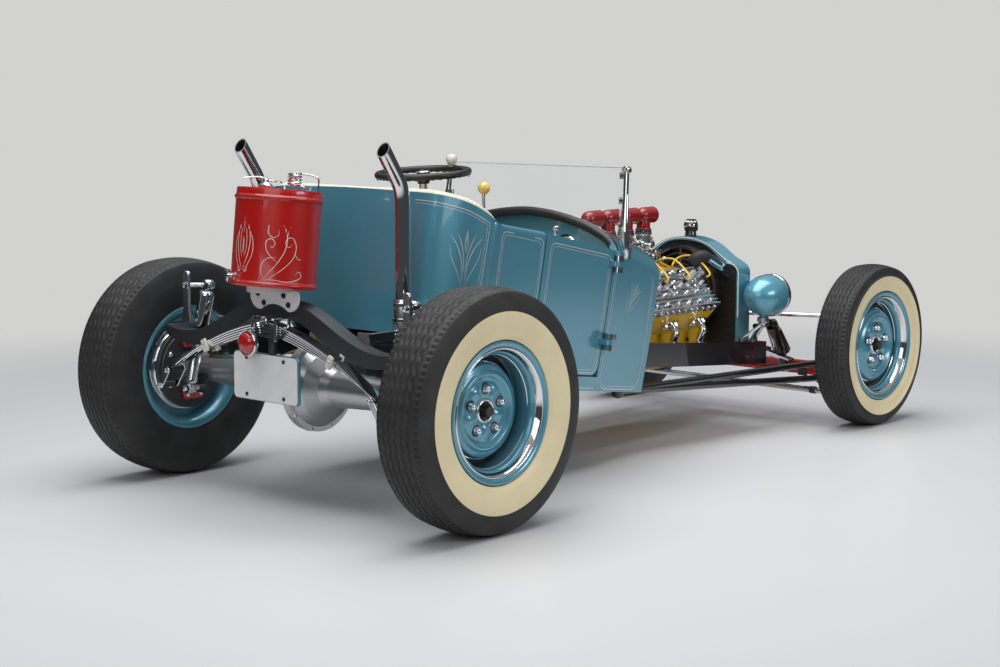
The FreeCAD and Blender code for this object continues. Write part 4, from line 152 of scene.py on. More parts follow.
black_leather = grain(mottle(material("black_vinyl", (0.012, 0.012, 0.013, 1.0), 0.4), 10.0,
    (0.009, 0.009, 0.01, 1.0), (0.018, 0.018, 0.019, 1.0)), 320.0, 0.25, 0.002)
carpet = grain(mottle(material("charcoal_carpet", (0.03, 0.03, 0.032, 1.0), 0.95), 300.0,
    (0.02, 0.02, 0.022, 1.0), (0.06, 0.06, 0.062, 1.0)), 500.0, 0.6, 0.004)
white_plate = grain(mottle(material("white_enamel", (0.78, 0.78, 0.78, 1.0), 0.3, 0.0, 0.4), 20.0,
    (0.75, 0.75, 0.76, 1.0), (0.8, 0.8, 0.8, 1.0)), 90.0, 0.03, 0.001)
glass = smudge(material("clear_glass", (0.96, 0.98, 0.98, 1.0), 0.02), 3.0, 0.01, 0.03)
glass.node_tree.nodes["Principled BSDF"].inputs["Transmission Weight"].default_value = 1.0
glass.node_tree.nodes["Principled BSDF"].inputs["IOR"].default_value = 1.12
core = mottle(material("radiator_core", (0.02, 0.02, 0.02, 1.0), 0.6, 0.4), 150.0,
    (0.008, 0.008, 0.008, 1.0), (0.035, 0.035, 0.035, 1.0))
guard_metal = smudge(material("guard_wire_metal", (0.16, 0.16, 0.165, 1.0), 0.35, 0.8), 30.0, 0.3, 0.4)
line_paint = mottle(material("silver_line_paint", SILVER_LINE, 0.35, 0.2, 0.5), 60.0,
    tone(SILVER_LINE, 0.9), tone(SILVER_LINE, 1.05))
white_line = mottle(material("white_line_paint", (0.75, 0.74, 0.72, 1.0), 0.4), 60.0,
    (0.7, 0.69, 0.67, 1.0), (0.78, 0.77, 0.75, 1.0))
red_glass = smudge(material("red_lens", (0.45, 0.008, 0.006, 1.0), 0.08, 0.0, 1.0), 30.0, 0.05, 0.12)
clear_lens = smudge(material("lamp_lens", (0.62, 0.64, 0.66, 1.0), 0.12, 0.2, 1.0), 30.0, 0.08, 0.16)
brass = smudge(material("brass", (0.62, 0.46, 0.2, 1.0), 0.25, 1.0), 30.0, 0.2, 0.35)
ivory = mottle(material("ivory_plastic", (0.72, 0.68, 0.6, 1.0), 0.3, 0.0, 0.5), 20.0,
    (0.68, 0.64, 0.56, 1.0), (0.75, 0.71, 0.63, 1.0))

FINISH = {
    paint: ["cowl", "rear_body", "door_left", "door_right", "firewall", "radiator_shell", "headlamps"],
    satin_dark: ["rear_crossmember", "pitman_arm", "number_plate"],
    silver: ["rear_axle"],
    chrome: ["rear_spring", "rear_shocks", "rear_radius_rods", "front_spring", "tie_rod", "drag_link",
        "windscreen_posts", "steering_column", "exhaust_stacks", "coolant_hoses", "headlamp_stands",
        "tail_lamp", "gear_lever", "door_hinges", "exhaust_headers"],
    black_paint: ["front_radius_rods", "front_shocks", "frame_rail_left", "frame_rail_right",
        "front_crossmembers"],
    red_paint: ["front_axle", "knuckle_left", "knuckle_right", "fuel_can"],
    scoop_red: ["air_scoops"],
    iron: ["driveline", "steering_box"],
    aluminium: ["cylinder_heads", "carburettors"],
    yellow_paint: ["engine_block"],
    carpet: ["floor_pan"],
    black_leather: ["dashboard", "steering_wheel"],
    leather: ["seat_cushion", "seat_back"],
    white_plate: ["can_bracket"],
    glass: ["windscreen_glass"],
    core: ["radiator"],
}


def dress(name, made):
    """One material over the whole of a CAD node."""
    shown = nodes[name].data
    shown.materials.clear()
    shown.materials.append(made)


def second_tone(name, made, chosen):
    """A second material on the faces of a CAD node whose centre is chosen."""
    shown = nodes[name].data
    shown.materials.append(made)
    shown.polygons.foreach_set("material_index", [int(chosen(face.center)) for face in shown.polygons])


for finish, names in FINISH.items():
    for name in names:
        dress(name, finish)


def new_object(name, points, faces, made, body, smooth=True):
    """A mesh piece from points and faces, riding on a body."""
    mesh = bpy.data.meshes.new(name)
    mesh.from_pydata(points, [], faces)
    mesh.materials.append(made)
    mesh.polygons.foreach_set("use_smooth", [smooth] * len(mesh.polygons))
    mesh.update()
    piece = bpy.data.objects.new(name, mesh)
    bpy.context.collection.objects.link(piece)
    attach(piece, body)
    return piece


def polar(radius, turn, along=0.0):
    """A point round local Z, at a radius, an angle and a height."""
    return Vector((radius * math.cos(turn), radius * math.sin(turn), along))


def turns(count, first=0.0):
    """Even angles round a circle, from a first one that is counted in steps."""
    return [2 * math.pi * (number + first) / count for number in range(count)]


def mm(*sizes, wide=2):
    """Corners in metres from a row of millimetres, two numbers to a corner or as many as wide says."""
    return [tuple(size / 1000 for size in sizes[n:n + wide]) for n in range(0, len(sizes), wide)]


def grid_faces(rows, wide, loop_rows=False, loop_wide=False, turned_over=False):
    """Four-cornered faces over rows of points, joined round where a direction loops."""
    faces = []
    for row in range(rows if loop_rows else rows - 1):
        here, ahead = row * wide, (row + 1) % rows * wide
        for spot in range(wide if loop_wide else wide - 1):
            after = (spot + 1) % wide
            if turned_over:
                faces.append((here + spot, here + after, ahead + after, ahead + spot))
            else:
                faces.append((here + spot, ahead + spot, ahead + after, here + after))
    return faces


def lathe_mesh(profile, steps, place, closed=True):
    """Points and faces of (along, radius) corners turned about local Z, put in place by a matrix."""
    points = []
    for turn in turns(steps):
        for along, radius in profile:
            points.append(place @ polar(radius, turn, along))
    return points, grid_faces(steps, len(profile), True, closed)


# Shapes, and the class that makes one piece of them.

def round_edges(made_object, angle=35.0):
    """Smooth shading that keeps the edges sharper than an angle."""
    mesh = made_object.data
    mesh.polygons.foreach_set("use_smooth", [True] * len(mesh.polygons))
    mesh.set_sharp_from_angle(angle=math.radians(angle))
    return made_object


class Build:
    """Collects shapes with their materials and makes one piece of them."""

    def __init__(self, name, body="chassis"):
        self.name = name
        self.body = body
        self.points = []
        self.faces = []
        self.kinds = []
        self.made = []

    def add(self, shape, made=chrome):
        """A shape in a material, which is chrome unless another is named."""
        points, faces = shape
        base = len(self.points)
        if made not in self.made:
            self.made.append(made)
        kind = self.made.index(made)
        self.points += points
        for face in faces:
            self.faces.append(tuple(base + corner for corner in face))
            self.kinds.append(kind)
        return self

    def done(self, *replaced, angle=35.0):
        piece = new_object(self.name, self.points, self.faces, self.made[0], self.body)
        for made in self.made[1:]:
            piece.data.materials.append(made)
        piece.data.polygons.foreach_set("material_index", self.kinds)
        round_edges(piece, angle)
        if replaced:
            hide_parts(*replaced)
        return piece


def frame_at(centre, axis, aside=None):
    """Matrix at a centre whose Z runs along an axis."""
    along = Vector(axis).normalized()
    hint = Vector(aside) if aside is not None else (Vector(UP) if abs(along.z) < 0.9 else Vector(BACK))
    level = (hint - along * hint.dot(along)).normalized()
    across = along.cross(level)
    turned = Matrix((level, across, along)).transposed().to_4x4()
    return Matrix.Translation(Vector(centre)) @ turned


def turned(profile, centre, axis, steps=32):
    """A lathe shape of (along, radius) corners about an axis through a centre."""
    return lathe_mesh(profile, steps, frame_at(centre, axis), closed=False)


def ball(centre, radius, steps=24):
    """A sphere."""
    rings = steps // 2
    profile = [(-radius * math.cos(math.pi * n / rings), max(radius * math.sin(math.pi * n / rings), 1e-5))
        for n in range(rings + 1)]
    return lathe_mesh(profile, steps, Matrix.Translation(Vector(centre)), closed=False)


def nut(centre, axis, across, height, turn=0.0, dome=True):
    """A hexagon nut with a washer and a rounded end standing on a point."""
    place = frame_at(centre, axis) @ Matrix.Rotation(turn, 4, "Z")
    points, faces = lathe_mesh([(0.0, across * 0.72), (height * 0.16, across * 0.72),
        (height * 0.16, across * 0.5)], 20, place, closed=False)
    levels = [(height * 0.16, across * 0.57), (height * 0.62, across * 0.57), (height * 0.7, across * 0.5)]
    if dome:
        levels += [(height * 0.88, across * 0.34), (height, across * 0.02)]
    else:
        levels += [(height * 0.7, across * 0.28), (height * 0.95, across * 0.26), (height, across * 0.02)]
    hexagon = lathe_mesh(levels, 6, place, closed=False)
    base = len(points)
    points = points + hexagon[0]
    faces = faces + [tuple(base + corner for corner in face) for face in hexagon[1]]
    return points, faces


def smooth_path(corners, count=8):
    """A Catmull-Rom line through corners."""
    corners = [Vector(corner) for corner in corners]
    ends = [corners[0] * 2 - corners[1]] + corners + [corners[-1] * 2 - corners[-2]]
    path = []
    for number in range(1, len(ends) - 2):
        before, start, stop, after = ends[number - 1:number + 3]
        for step in range(count):
            t = step / count
            path.append(0.5 * ((2 * start) + (stop - before) * t + (2 * before - 5 * start + 4 * stop
                - after) * t * t + (3 * start - before - 3 * stop + after) * t ** 3))
    path.append(corners[-1])
    return path


def tube(path, radius, sides=12, flat=1.0, closed=False):
    """A pipe along a path; flat squeezes it across."""
    path = [Vector(point) for point in path]
    count = len(path)
    points = []
    level = None
    for number, point in enumerate(path):
        back = path[(number - 1) % count] if (number or closed) else point
        fore = path[(number + 1) % count] if (number < count - 1 or closed) else point
        along = (fore - back).normalized()
        if level is None:
            hint = Vector(UP) if abs(along.z) < 0.9 else Vector(BACK)
            level = (hint - along * hint.dot(along)).normalized()
        else:
            level = (level - along * level.dot(along)).normalized()
        across = along.cross(level)
        size = radius[number] if isinstance(radius, (list, tuple)) else radius
        for turn in turns(sides):
            points.append(point + across * (size * math.cos(turn)) + level * (size * flat * math.sin(turn)))
    faces = grid_faces(count, sides, closed, True, True)
    if not closed:
        faces.append(tuple(reversed(range(sides))))
        faces.append(tuple(range((count - 1) * sides, count * sides)))
    return points, faces


def slab(outline, depth, place, bevel=0.0015):
    """A plate with chamfered rims: 2-D outline in the matrix's XY plane, raised along its Z."""
    count = len(outline)
    centre = Vector((sum(p[0] for p in outline) / count, sum(p[1] for p in outline) / count))
    inner = []
    for number in range(count):
        back, here, fore = (Vector(outline[(number + k) % count]) for k in (-1, 0, 1))
        one, two = (here - back).normalized(), (fore - here).normalized()
        normal = Vector((-(one.y + two.y), one.x + two.x))
        if normal.length < 1e-6:
            normal = centre - here
        normal.normalize()
        inner.append(here + normal * bevel)
    points = []
    for level, ring_points in ((0.0, inner), (bevel, outline), (depth - bevel, outline), (depth, inner)):
        for corner in ring_points:
            points.append(place @ Vector((corner[0], corner[1], level)))
    faces = grid_faces(4, count, False, True, True)
    faces.append(tuple(reversed(range(count))))
    faces.append(tuple(range(3 * count, 4 * count)))
    return points, faces


def rounded_rectangle(width, height, radius, steps=6):
    """The 2-D outline of a rectangle with round corners."""
    corners = []
    for number, (x, y) in enumerate(((1, 1), (-1, 1), (-1, -1), (1, -1))):
        for step in range(steps + 1):
            turn = math.pi / 2 * (number + step / steps)
            corners.append(((width / 2 - radius) * x + radius * math.cos(turn), (height / 2 - radius) * y
                + radius * math.sin(turn)))
    return corners


def on_surface(names, start, towards, lift):
    """The first point met on CAD nodes from a start point, lifted off the surface, with its normal."""
    best = None
    for name in names:
        met, place, normal, _ = nodes[name].ray_cast(Vector(start), Vector(towards).normalized())
        if met and (best is None or (place - Vector(start)).length < best[2]):
            best = (place, normal, (place - Vector(start)).length)
    if best is None:
        return None
    place, normal = best[0], best[1]
    if normal.dot(Vector(towards)) > 0:
        normal = -normal
    return place + normal * lift, normal


def ribbon(spots, width, taper=False):
    """A thin painted line: a strip lying over (point, normal) spots."""
    points = []
    count = len(spots)
    for number, (place, normal) in enumerate(spots):
        back = spots[max(number - 1, 0)][0]
        fore = spots[min(number + 1, count - 1)][0]
        across = normal.cross(fore - back).normalized()
        share = math.sin(math.pi * (number + 0.3) / (count - 0.4)) ** 0.6 if taper else 1.0
        half = width / 2 * max(share, 0.15)
        points += [place + across * half, place - across * half]
    return points, grid_faces(count, 2, turned_over=True)


# Wheels, tyres and brakes.

class Corner:
    """Sizes of one wheel station, taken from the CAD nodes."""

    def __init__(self, word, body):
        self.word = word
        self.body = body
        low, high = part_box("tyre_" + word)
        self.side = 1.0 if low.x > 0 else -1.0
        self.radius = (high.z - low.z) / 2
        self.half = (high.x - low.x) / 2
        self.centre = Vector(((low.x + high.x) / 2, (low.y + high.y) / 2, (low.z + high.z) / 2))
        self.rear = "rear" in word
        self.rim_half = (REAR_RIM_W if self.rear else FRONT_RIM_W) / 2
        self.face = self.rim_half - (REAR_FACE_IN if self.rear else FRONT_FACE_IN)
        turn = Matrix.Rotation(math.pi / 2 * self.side, 4, "Y")
        self.place = Matrix.Translation(self.centre) @ turn


REAR_RIM_W = 0.165
FRONT_RIM_W = 0.13
REAR_FACE_IN = 0.07
FRONT_FACE_IN = 0.038
REAR_BACKING_X = 0.666
FRONT_BACKING_X = 0.563
LUG_CIRCLE_R = 0.06985
RIM_R = 0.222
WHITE_OUT = {True: 0.316, False: 0.288}
TREAD_STEPS = 432
GROOVES = (-0.62, -0.31, 0.0, 0.31, 0.62)
GROOVE_HALF = 0.045
ZIGZAGS = 54
ZIGZAG_REACH = 0.05
GROOVE_DEEP = 0.007


def tyre_profile(c):
    """(along, radius) corners from the outer bead over the tread to the inner bead."""
    r, h = c.radius, c.half
    tread = h * 0.8
    side = [(c.rim_half - 0.008, RIM_R - 0.015), (c.rim_half - 0.003, RIM_R + 0.004),
        (c.rim_half + 0.006, RIM_R + 0.014), (h * 0.93, RIM_R + 0.032), (h * 0.985, RIM_R + 0.058),
        (h, (r + RIM_R) / 2 + 0.004), (h * 0.99, WHITE_OUT[c.rear] - 0.002),
        (h * 0.985, WHITE_OUT[c.rear] + 0.002), (h * 0.965, r - 0.05), (h * 0.93, r - 0.032),
        (h * 0.88, r - 0.016), (h * 0.845, r - 0.009)]
    return side, tread


def make_tyre(c):
    """Tyre with a whitewall, zigzag grooves and shoulder blocks."""
    side, tread = tyre_profile(c)
    crown = c.radius
    bands = 40
    tread_points = [tread * (1 - 2 * n / bands) for n in range(bands + 1)]
    points = []
    rows = len(side) * 2 + len(tread_points)
    for step in range(TREAD_STEPS):
        turn = 2 * math.pi * step / TREAD_STEPS
        wave = abs((step * ZIGZAGS / TREAD_STEPS) % 1.0 - 0.5) * 4 - 1
        row = list(side)
        for along in tread_points:
            share = along / tread
            radius = crown - 0.0085 * share * share
            for groove in GROOVES:
                if abs(share - groove - ZIGZAG_REACH * wave) < GROOVE_HALF:
                    radius -= GROOVE_DEEP
            if abs(share) > 0.86 and (step // 2) % 2:
                radius -= GROOVE_DEEP * 0.7
            row.append((along, radius))
        row += [(-along, radius) for along, radius in reversed(side)]
        for along, radius in row:
            points.append(c.place @ polar(radius, turn, along))
    faces = grid_faces(TREAD_STEPS, rows, True)
    kinds = [1 if 1 <= corner < 6 else 0 for corner in range(rows - 1)] * TREAD_STEPS
    tyre = new_object("tyre_" + c.word + "_tread", points, faces, rubber, c.body)
    tyre.data.materials.append(white_rubber)
    tyre.data.polygons.foreach_set("material_index", kinds)
    tyre.data.update()
    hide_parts("tyre_" + c.word)


def ring(c, name, profile, made, steps=96, closed=False):
    """A turned piece of a wheel."""
    points, faces = lathe_mesh(profile, steps, c.place, closed)
    return new_object(name, points, faces, made, c.body)


def make_wheel(c):
    """Painted rim and pressed centre, polished trim ring, dome nuts and open hub."""
    out, face = c.rim_half, c.face
    well = 0.178
    ring(c, "rim_" + c.word, [(out - 0.02, RIM_R - 0.024), (out - 0.006, RIM_R - 0.018),
        (out + 0.001, RIM_R - 0.006), (out, RIM_R), (out - 0.006, RIM_R + 0.001),
        (out - 0.012, RIM_R - 0.004), (out - 0.016, RIM_R - 0.018), (out * 0.5, 0.188), (-out * 0.5, 0.188),
        (-out + 0.016, RIM_R - 0.018), (-out + 0.012, RIM_R - 0.004), (-out + 0.004, RIM_R),
        (-out, RIM_R - 0.006), (-out + 0.01, RIM_R - 0.02), (-out + 0.03, well), (out - 0.045, well),
        (out - 0.03, well + 0.002), (out - 0.02, RIM_R - 0.026), (out - 0.02, RIM_R - 0.024)], paint)
    ring(c, "trim_ring_" + c.word, [(out - 0.017, 0.2015), (out - 0.006, 0.2035), (out - 0.0035, 0.2),
        (out - 0.006, 0.196), (out - 0.018, 0.19), (out - 0.028, 0.1865), (out - 0.036, 0.183),
        (out - 0.046, 0.181), (out - 0.05, 0.176)], chrome)
    wave = []
    steps, rings = 120, [(0.036, -0.002, 0), (0.042, 0.001, 0), (0.05, 0.001, 1), (0.058, 0.002, 1),
        (0.066, 0.002, 1), (0.074, 0.002, 1), (0.082, 0.001, 1), (0.09, -0.003, 0.6), (0.097, -0.004, 0),
        (0.103, 0.0, 0), (0.11, 0.009, 0), (0.116, 0.012, 0), (0.121, 0.01, 0), (0.126, 0.004, 0),
        (0.132, 0.001, 0), (0.142, 0.0, 0), (0.146, -0.004, 0), (0.15, -0.016, 0), (0.152, -0.03, 0)]
    for turn in turns(steps):
        ridge = 0.006 * max(0.0, -math.cos(5 * turn)) ** 1.5
        for radius, along, share in rings:
            wave.append(c.place @ polar(radius, turn, face + along + ridge * share))
    new_object("disc_" + c.word, wave, grid_faces(steps, len(rings), True, False, True), paint, c.body)
    # A dark satin ring closes the space between the disc's edge and the rim's well: painted shade.
    ring(c, "disc_painted_shade_" + c.word, [(face - 0.028, 0.15), (face - 0.034, well - 0.001)], satin_dark)
    for number, turn in enumerate(turns(5)):
        place = c.place @ Matrix.Translation(polar(LUG_CIRCLE_R, turn, face))
        points, faces = lathe_mesh(mm(0, 13.5, 4, 13.5, 6, 11.5, 14, 11.2, 18, 9, 20.5, 5, 21.2, 0), 24,
            place, closed=False)
        new_object("lug_nut_%s_%d" % (c.word, number + 1), points, faces, chrome, c.body)
        seat_points, seat_faces = lathe_mesh(mm(0, 19, 2.5, 18.5, 3, 14), 24, place, closed=False)
        new_object("lug_seat_%s_%d" % (c.word, number + 1), seat_points, seat_faces, satin_dark, c.body)
    ring(c, "hub_collar_" + c.word, [(face - 0.006, 0.039), (face + 0.004, 0.038), (face + 0.006, 0.035),
        (face + 0.006, 0.031), (face - 0.004, 0.029)], chrome, 48)
    ring(c, "hub_well_" + c.word, [(face - 0.004, 0.03), (face - 0.01, 0.02), (face - 0.01, 0.0)], iron, 48)
    teeth = []
    for turn in turns(12):
        for delta, radius in ((-0.1, 0.0185), (0.1, 0.0185), (0.13, 0.0155), (0.39, 0.0155)):
            teeth.append((turn + delta, radius))
    points = []
    for level in (face - 0.01, face + 0.022):
        for turn, radius in teeth:
            points.append(c.place @ polar(radius, turn, level))
    count = len(teeth)
    faces = grid_faces(2, count, False, True, True)
    faces.append(tuple(range(count, count * 2)))
    new_object("hub_cap_" + c.word, points, faces, iron, c.body, smooth=False)


def make_drum(c):
    """Ribbed brake drum behind the wheel's centre, and the CAD wheel it stands for."""
    front = c.face - 0.0063
    profile = [(front, 0.038), (front, 0.136), (front - 0.003, 0.142), (front - 0.006, 0.146)]
    for number in range(4):
        low = front - 0.01 - 0.011 * number
        profile += [(low, 0.146), (low - 0.0015, 0.1535), (low - 0.0045, 0.1535), (low - 0.006, 0.146)]
    profile += [(front - 0.054, 0.146), (front - 0.056, 0.144), (front - 0.056, 0.139),
        (front - 0.012, 0.138), (front - 0.012, 0.038)]
    points, faces = lathe_mesh(profile, 96, c.place, closed=True)
    drum = new_object("brake_drum_" + c.word, points, faces, chrome, c.body)
    round_edges(drum, 30.0)
    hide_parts("wheel_" + c.word)
    profile = [(c.face - 0.02, 0.048), (c.face - 0.0105, 0.118), (c.face + 0.0035, 0.122),
        (c.face - 0.006, 0.134), (c.face - 0.012, 0.1425), (c.face - 0.03, 0.146), (c.face - 0.034, 0.176)]
    points, faces = lathe_mesh([(along - 0.004, radius) for along, radius in profile], 72, c.place,
        closed=False)
    back = new_object("disc_back_" + c.word, points, [tuple(reversed(face)) for face in faces], paint,
        c.body)
    round_edges(back, 40.0)


def backing_plate(c, centre_x, body):
    """Pressed plate behind the drum with its wheel cylinder, adjusters and brake line."""
    side = c.side
    made = Build("brake_backing_" + c.word, body)
    centre = Vector((side * centre_x, c.centre.y, c.centre.z))
    inward = Vector((-side, 0, 0))
    made.add(turned(mm(0, 145.5, 3, 146.5, 6, 144, 6, 132, 10, 128, 10, 104, 6.5, 100, 6.5, 60, 12, 56,
        13, 36), centre, inward, 72), satin_dark)
    for up in SIDES:
        place = frame_at(centre + Vector((0, 0, up * 0.094)) + inward * 0.006, inward, BACK)
        made.add(slab(rounded_rectangle(0.092, 0.04, 0.018), 0.018, place, 0.004), red_paint)
        for shift in (-0.03, 0.03):
            made.add(nut(place @ Vector((shift, 0, 0.018)), inward, 0.012, 0.01))
    for turn in (0.5, 2.64, 3.64, 5.78):
        spot = centre + Vector((0, 0.112 * math.cos(turn), 0.112 * math.sin(turn))) + inward * 0.01
        made.add(nut(spot, inward, 0.015, 0.012))
    made.add(tube(smooth_path([centre + Vector((0, -0.02, 0.1)) + inward * 0.026,
        centre + Vector((0, -0.05, 0.075)) + inward * 0.045, centre + Vector((0, -0.05, 0.03))
        + inward * 0.06], 6), 0.005, 10), rubber)
    made.done()


CORNERS = [Corner("rear_left", "wheel_rl"), Corner("rear_right", "wheel_rr"),
    Corner("front_left", "wheel_fl"), Corner("front_right", "wheel_fr")]
for corner in CORNERS:
    make_tyre(corner)
    make_wheel(corner)
    make_drum(corner)
    if corner.rear:
        backing_plate(corner, REAR_BACKING_X, "chassis")
    else:
        backing_plate(corner, FRONT_BACKING_X, corner.word.replace("front", "steer_knuckle"))


# Body paint, lines and rims.
RAKE = math.radians(8.0)
BODY_FRONT_Y = -0.0545
BODY_LOW_Z = 0.25
SKIN = ["cowl", "rear_body", "door_left", "door_right"]
RIM = mm(342, 509, 777, 534, 1038, 542, 1086, 562, 1168, 598, 1250, 622)
CORNER_CENTRE = (0.3, 1.0)
LINE_LIFT = 0.0008


def body_point(x, s, h):
    """From the body's own frame, s rearwards and h up, into the car's."""
    return Vector((x, BODY_FRONT_Y + s * math.cos(RAKE) - h * math.sin(RAKE),
        BODY_LOW_Z + s * math.sin(RAKE) + h * math.cos(RAKE)))


def body_way(x, s, h):
    """A direction from the body's own frame into the car's."""
    return body_point(x, s, h) - body_point(0.0, 0.0, 0.0)


def rearward(place):
    """How far rearwards a place is in the body's own frame."""
    back = place - body_point(0.0, 0.0, 0.0)
    return back.y * math.cos(RAKE) + back.z * math.sin(RAKE)


def rim_height(s):
    """The rim's height above the body's underside, from straight stretches."""
    for (start, low), (stop, high) in zip(RIM, RIM[1:]):
        if s <= stop:
            return low + (high - low) * max(s - start, 0.0) / (stop - start)
    return RIM[-1][1]


def side_spot(side, s, h, lift=LINE_LIFT):
    """A spot on the body's side or a door."""
    return on_surface(SKIN, body_point(side * 0.9, s, h), body_way(-side, 0.0, 0.0), lift)


def corner_spot(side, turn, h, lift=LINE_LIFT):
    """A spot on the body's rounded back corner; turn runs from the side to the middle of the back."""
    way = (side * math.cos(turn), math.sin(turn))
    start = body_point(side * CORNER_CENTRE[0] + way[0] * 0.6, CORNER_CENTRE[1] + way[1] * 0.6, h)
    return on_surface(["rear_body"], start, body_way(-way[0], -way[1], 0.0), lift)


def runs(spots, longest=0.03):
    """Splits a line of spots where it misses the skin or jumps a gap."""
    part = []
    for spot in spots:
        if spot is None or (part and (spot[0] - part[-1][0]).length > longest):
            if len(part) > 2:
                yield part
            part = []
        if spot is not None:
            part.append(spot)
    if len(part) > 2:
        yield part


def fine(corners, step=0.006):
    """Straight stretches cut into short steps."""
    line = []
    for start, stop in zip(corners, corners[1:]):
        start, stop = Vector(start), Vector(stop)
        count = max(int((stop - start).length / step), 1)
        line += [start + (stop - start) * (number / count) for number in range(count)]
    return line + [Vector(corners[-1])]


def rounded(corners, radius, steps=6):
    """A closed outline whose corners are arcs."""
    line = []
    count = len(corners)
    for number in range(count):
        back, here, fore = (Vector(corners[(number + k) % count]) for k in (-1, 0, 1))
        one, two = (back - here).normalized(), (fore - here).normalized()
        start, stop = here + one * radius, here + two * radius
        for step in range(steps + 1):
            t = step / steps
            line.append(start * (1 - t) ** 2 + here * 2 * t * (1 - t) + stop * t ** 2)
    return line + [line[0]]


def curve_2d(corners, count=10):
    """A smooth flat line through flat corners."""
    return [Vector((p.x, p.y)) for p in smooth_path([Vector((c[0], c[1], 0.0)) for c in corners], count)]


STRIPES = Build("body_pinstripes")
DOOR_STRIPES = {1: Build("door_left_pinstripes", "door_left_body"), -1: Build("door_right_pinstripes",
    "door_right_body")}
WIDE = 0.003
FINE = 0.0016


def stripe(target, side, corners, width, step=0.006):
    """A pinstripe on the body's side through (s, h) corners."""
    for part in runs([side_spot(side, point.x, point.y) for point in fine(corners, step)]):
        target.add(ribbon(part, width), line_paint)


def corner_stripe(side, low_turn, high_turn, height, width):
    """Line round the back corner at a height below the rim, or over the lower edge."""
    spots = []
    for number in range(61):
        turn = math.radians(low_turn + (high_turn - low_turn) * number / 60)
        met = corner_spot(side, turn, 0.45)
        spots.append(corner_spot(side, turn, height(rearward(met[0]))) if met else None)
    for part in runs(spots, 0.06):
        STRIPES.add(ribbon(part, width), line_paint)


def flourish(place, strokes, made, target, mirror=True):
    """A small traditional scroll: tapered strokes that meet in a point."""
    for corners, width in strokes:
        for flip in ((1, -1) if mirror else (1,)):
            spots = [place(point.x * flip, point.y) for point in curve_2d(corners)]
            for part in runs(spots, 0.05):
                target.add(ribbon(part, width, taper=True), made)


SCROLL = [
    (mm(4, -75, 10, -20, 28, 30, 52, 62), 0.003),
    (mm(2, -50, 6, 0, 18, 45, 30, 70), 0.0026),
    (mm(5, -90, 22, -50, 44, -5, 50, 30), 0.0022),
    (mm(0, 10, 4, 35, 2, 60, 0, 80), 0.0028),
]

for side in SIDES:
    for inset, width in ((0.0, WIDE), (0.01, FINE)):
        door = rounded([(0.362 + inset, 0.066 + inset), (0.362 + inset, 0.488 - inset),
            (0.748 - inset, 0.506 - inset), (0.748 - inset, 0.066 + inset)], 0.03)
        stripe(DOOR_STRIPES[side], side, door, width)
        panel = rounded([(0.794 + inset, 0.03 + inset), (0.794 + inset, 0.511 - inset),
            (1.022 - inset, 0.521 - inset), (1.022 - inset, 0.175 + inset), (0.89 - inset, 0.03 + inset)],
            0.024)
        stripe(STRIPES, side, panel, width)
        stripe(STRIPES, side, [(0.318 - inset, 0.484), (0.318 - inset, 0.048),
            (0.306 - inset, 0.02 + inset), (0.28, 0.01 + inset), (0.08, 0.01 + inset),
            (0.052 + inset, 0.022 + inset), (0.038 + inset, 0.05), (0.036 + inset, 0.4),
            (0.046 + inset, 0.432)], width)
        stripe(STRIPES, side, [(0.35, 0.01 + inset / 2), (0.84, 0.01 + inset / 2)], width * 0.7)
        corner_stripe(side, 24.0, 90.0, lambda s, d=inset: rim_height(s) - 0.024 - d, width)
        # The lower pair of lines round the back is partly a pinstripe and partly a painted highlight along
        # the body's lit lower edge.
        corner_stripe(side, 24.0, 90.0, lambda s, d=inset: 0.186 + d, width * 0.8)
        stripe(STRIPES, side, [(1.09 + inset, 0.536 - inset), (1.104 + inset, 0.2)], width)
    flourish(lambda u, v, k=side: side_spot(k, 0.175 + u * 0.8 - v * 0.35, 0.345 + v * 0.7 + u * 0.2),
        SCROLL, line_paint, STRIPES)
    flourish(lambda u, v, k=side: corner_spot(k, math.radians(43.0) + u * 4.4, 0.425 + v * 1.05), SCROLL,
        line_paint, STRIPES)
STRIPES.done()
for build in DOOR_STRIPES.values():
    build.done()

BEAD_W = 0.03
BEAD_RISE = 0.0075


def quarter_bead(side):
    """Raised pressed moulding that runs down the body's quarter behind the door."""
    rows = []
    profile = [(-0.5, 0.0), (-0.38, 0.45), (-0.2, 0.9), (0.0, 1.0), (0.2, 0.9), (0.38, 0.45), (0.5, 0.0)]
    for number in range(41):
        h = 0.545 - 0.4 * number / 40
        middle = 1.062 + (0.545 - h) * 0.1
        fade = min(1.0, (h - 0.145) / 0.03 + 0.05, (0.56 - h) / 0.02)
        row = []
        for across, rise in profile:
            met = side_spot(side, middle + across * BEAD_W, h, 0.0002 + BEAD_RISE * rise * max(fade, 0.05))
            if met is None:
                break
            row.append(met[0])
        if len(row) == len(profile):
            rows.append(row)
    points = [point for row in rows for point in row]
    faces = grid_faces(len(rows), len(profile), turned_over=True)
    return points, faces if side < 0 else [tuple(reversed(face)) for face in faces]


BEADS = Build("quarter_beads")
for side in SIDES:
    BEADS.add(quarter_bead(side), paint)
BEADS.done(angle=60.0)


def rim_cap(side):
    """Painted rounded edge along the dip of the body behind the door."""
    path = []
    for number in range(25):
        s = 0.786 + 0.272 * number / 24
        met = side_spot(side, s, rim_height(s) - 0.026, 0.0)
        if met is None:
            continue
        x = (met[0].x * side - 0.0115) * side
        path.append(body_point(x, s, rim_height(s) - 0.02))
    return tube(path, 0.0105, 18, 2.1)


CAPS = Build("body_rim_caps")
for side in SIDES:
    CAPS.add(rim_cap(side), paint)
CAPS.done(angle=60.0)


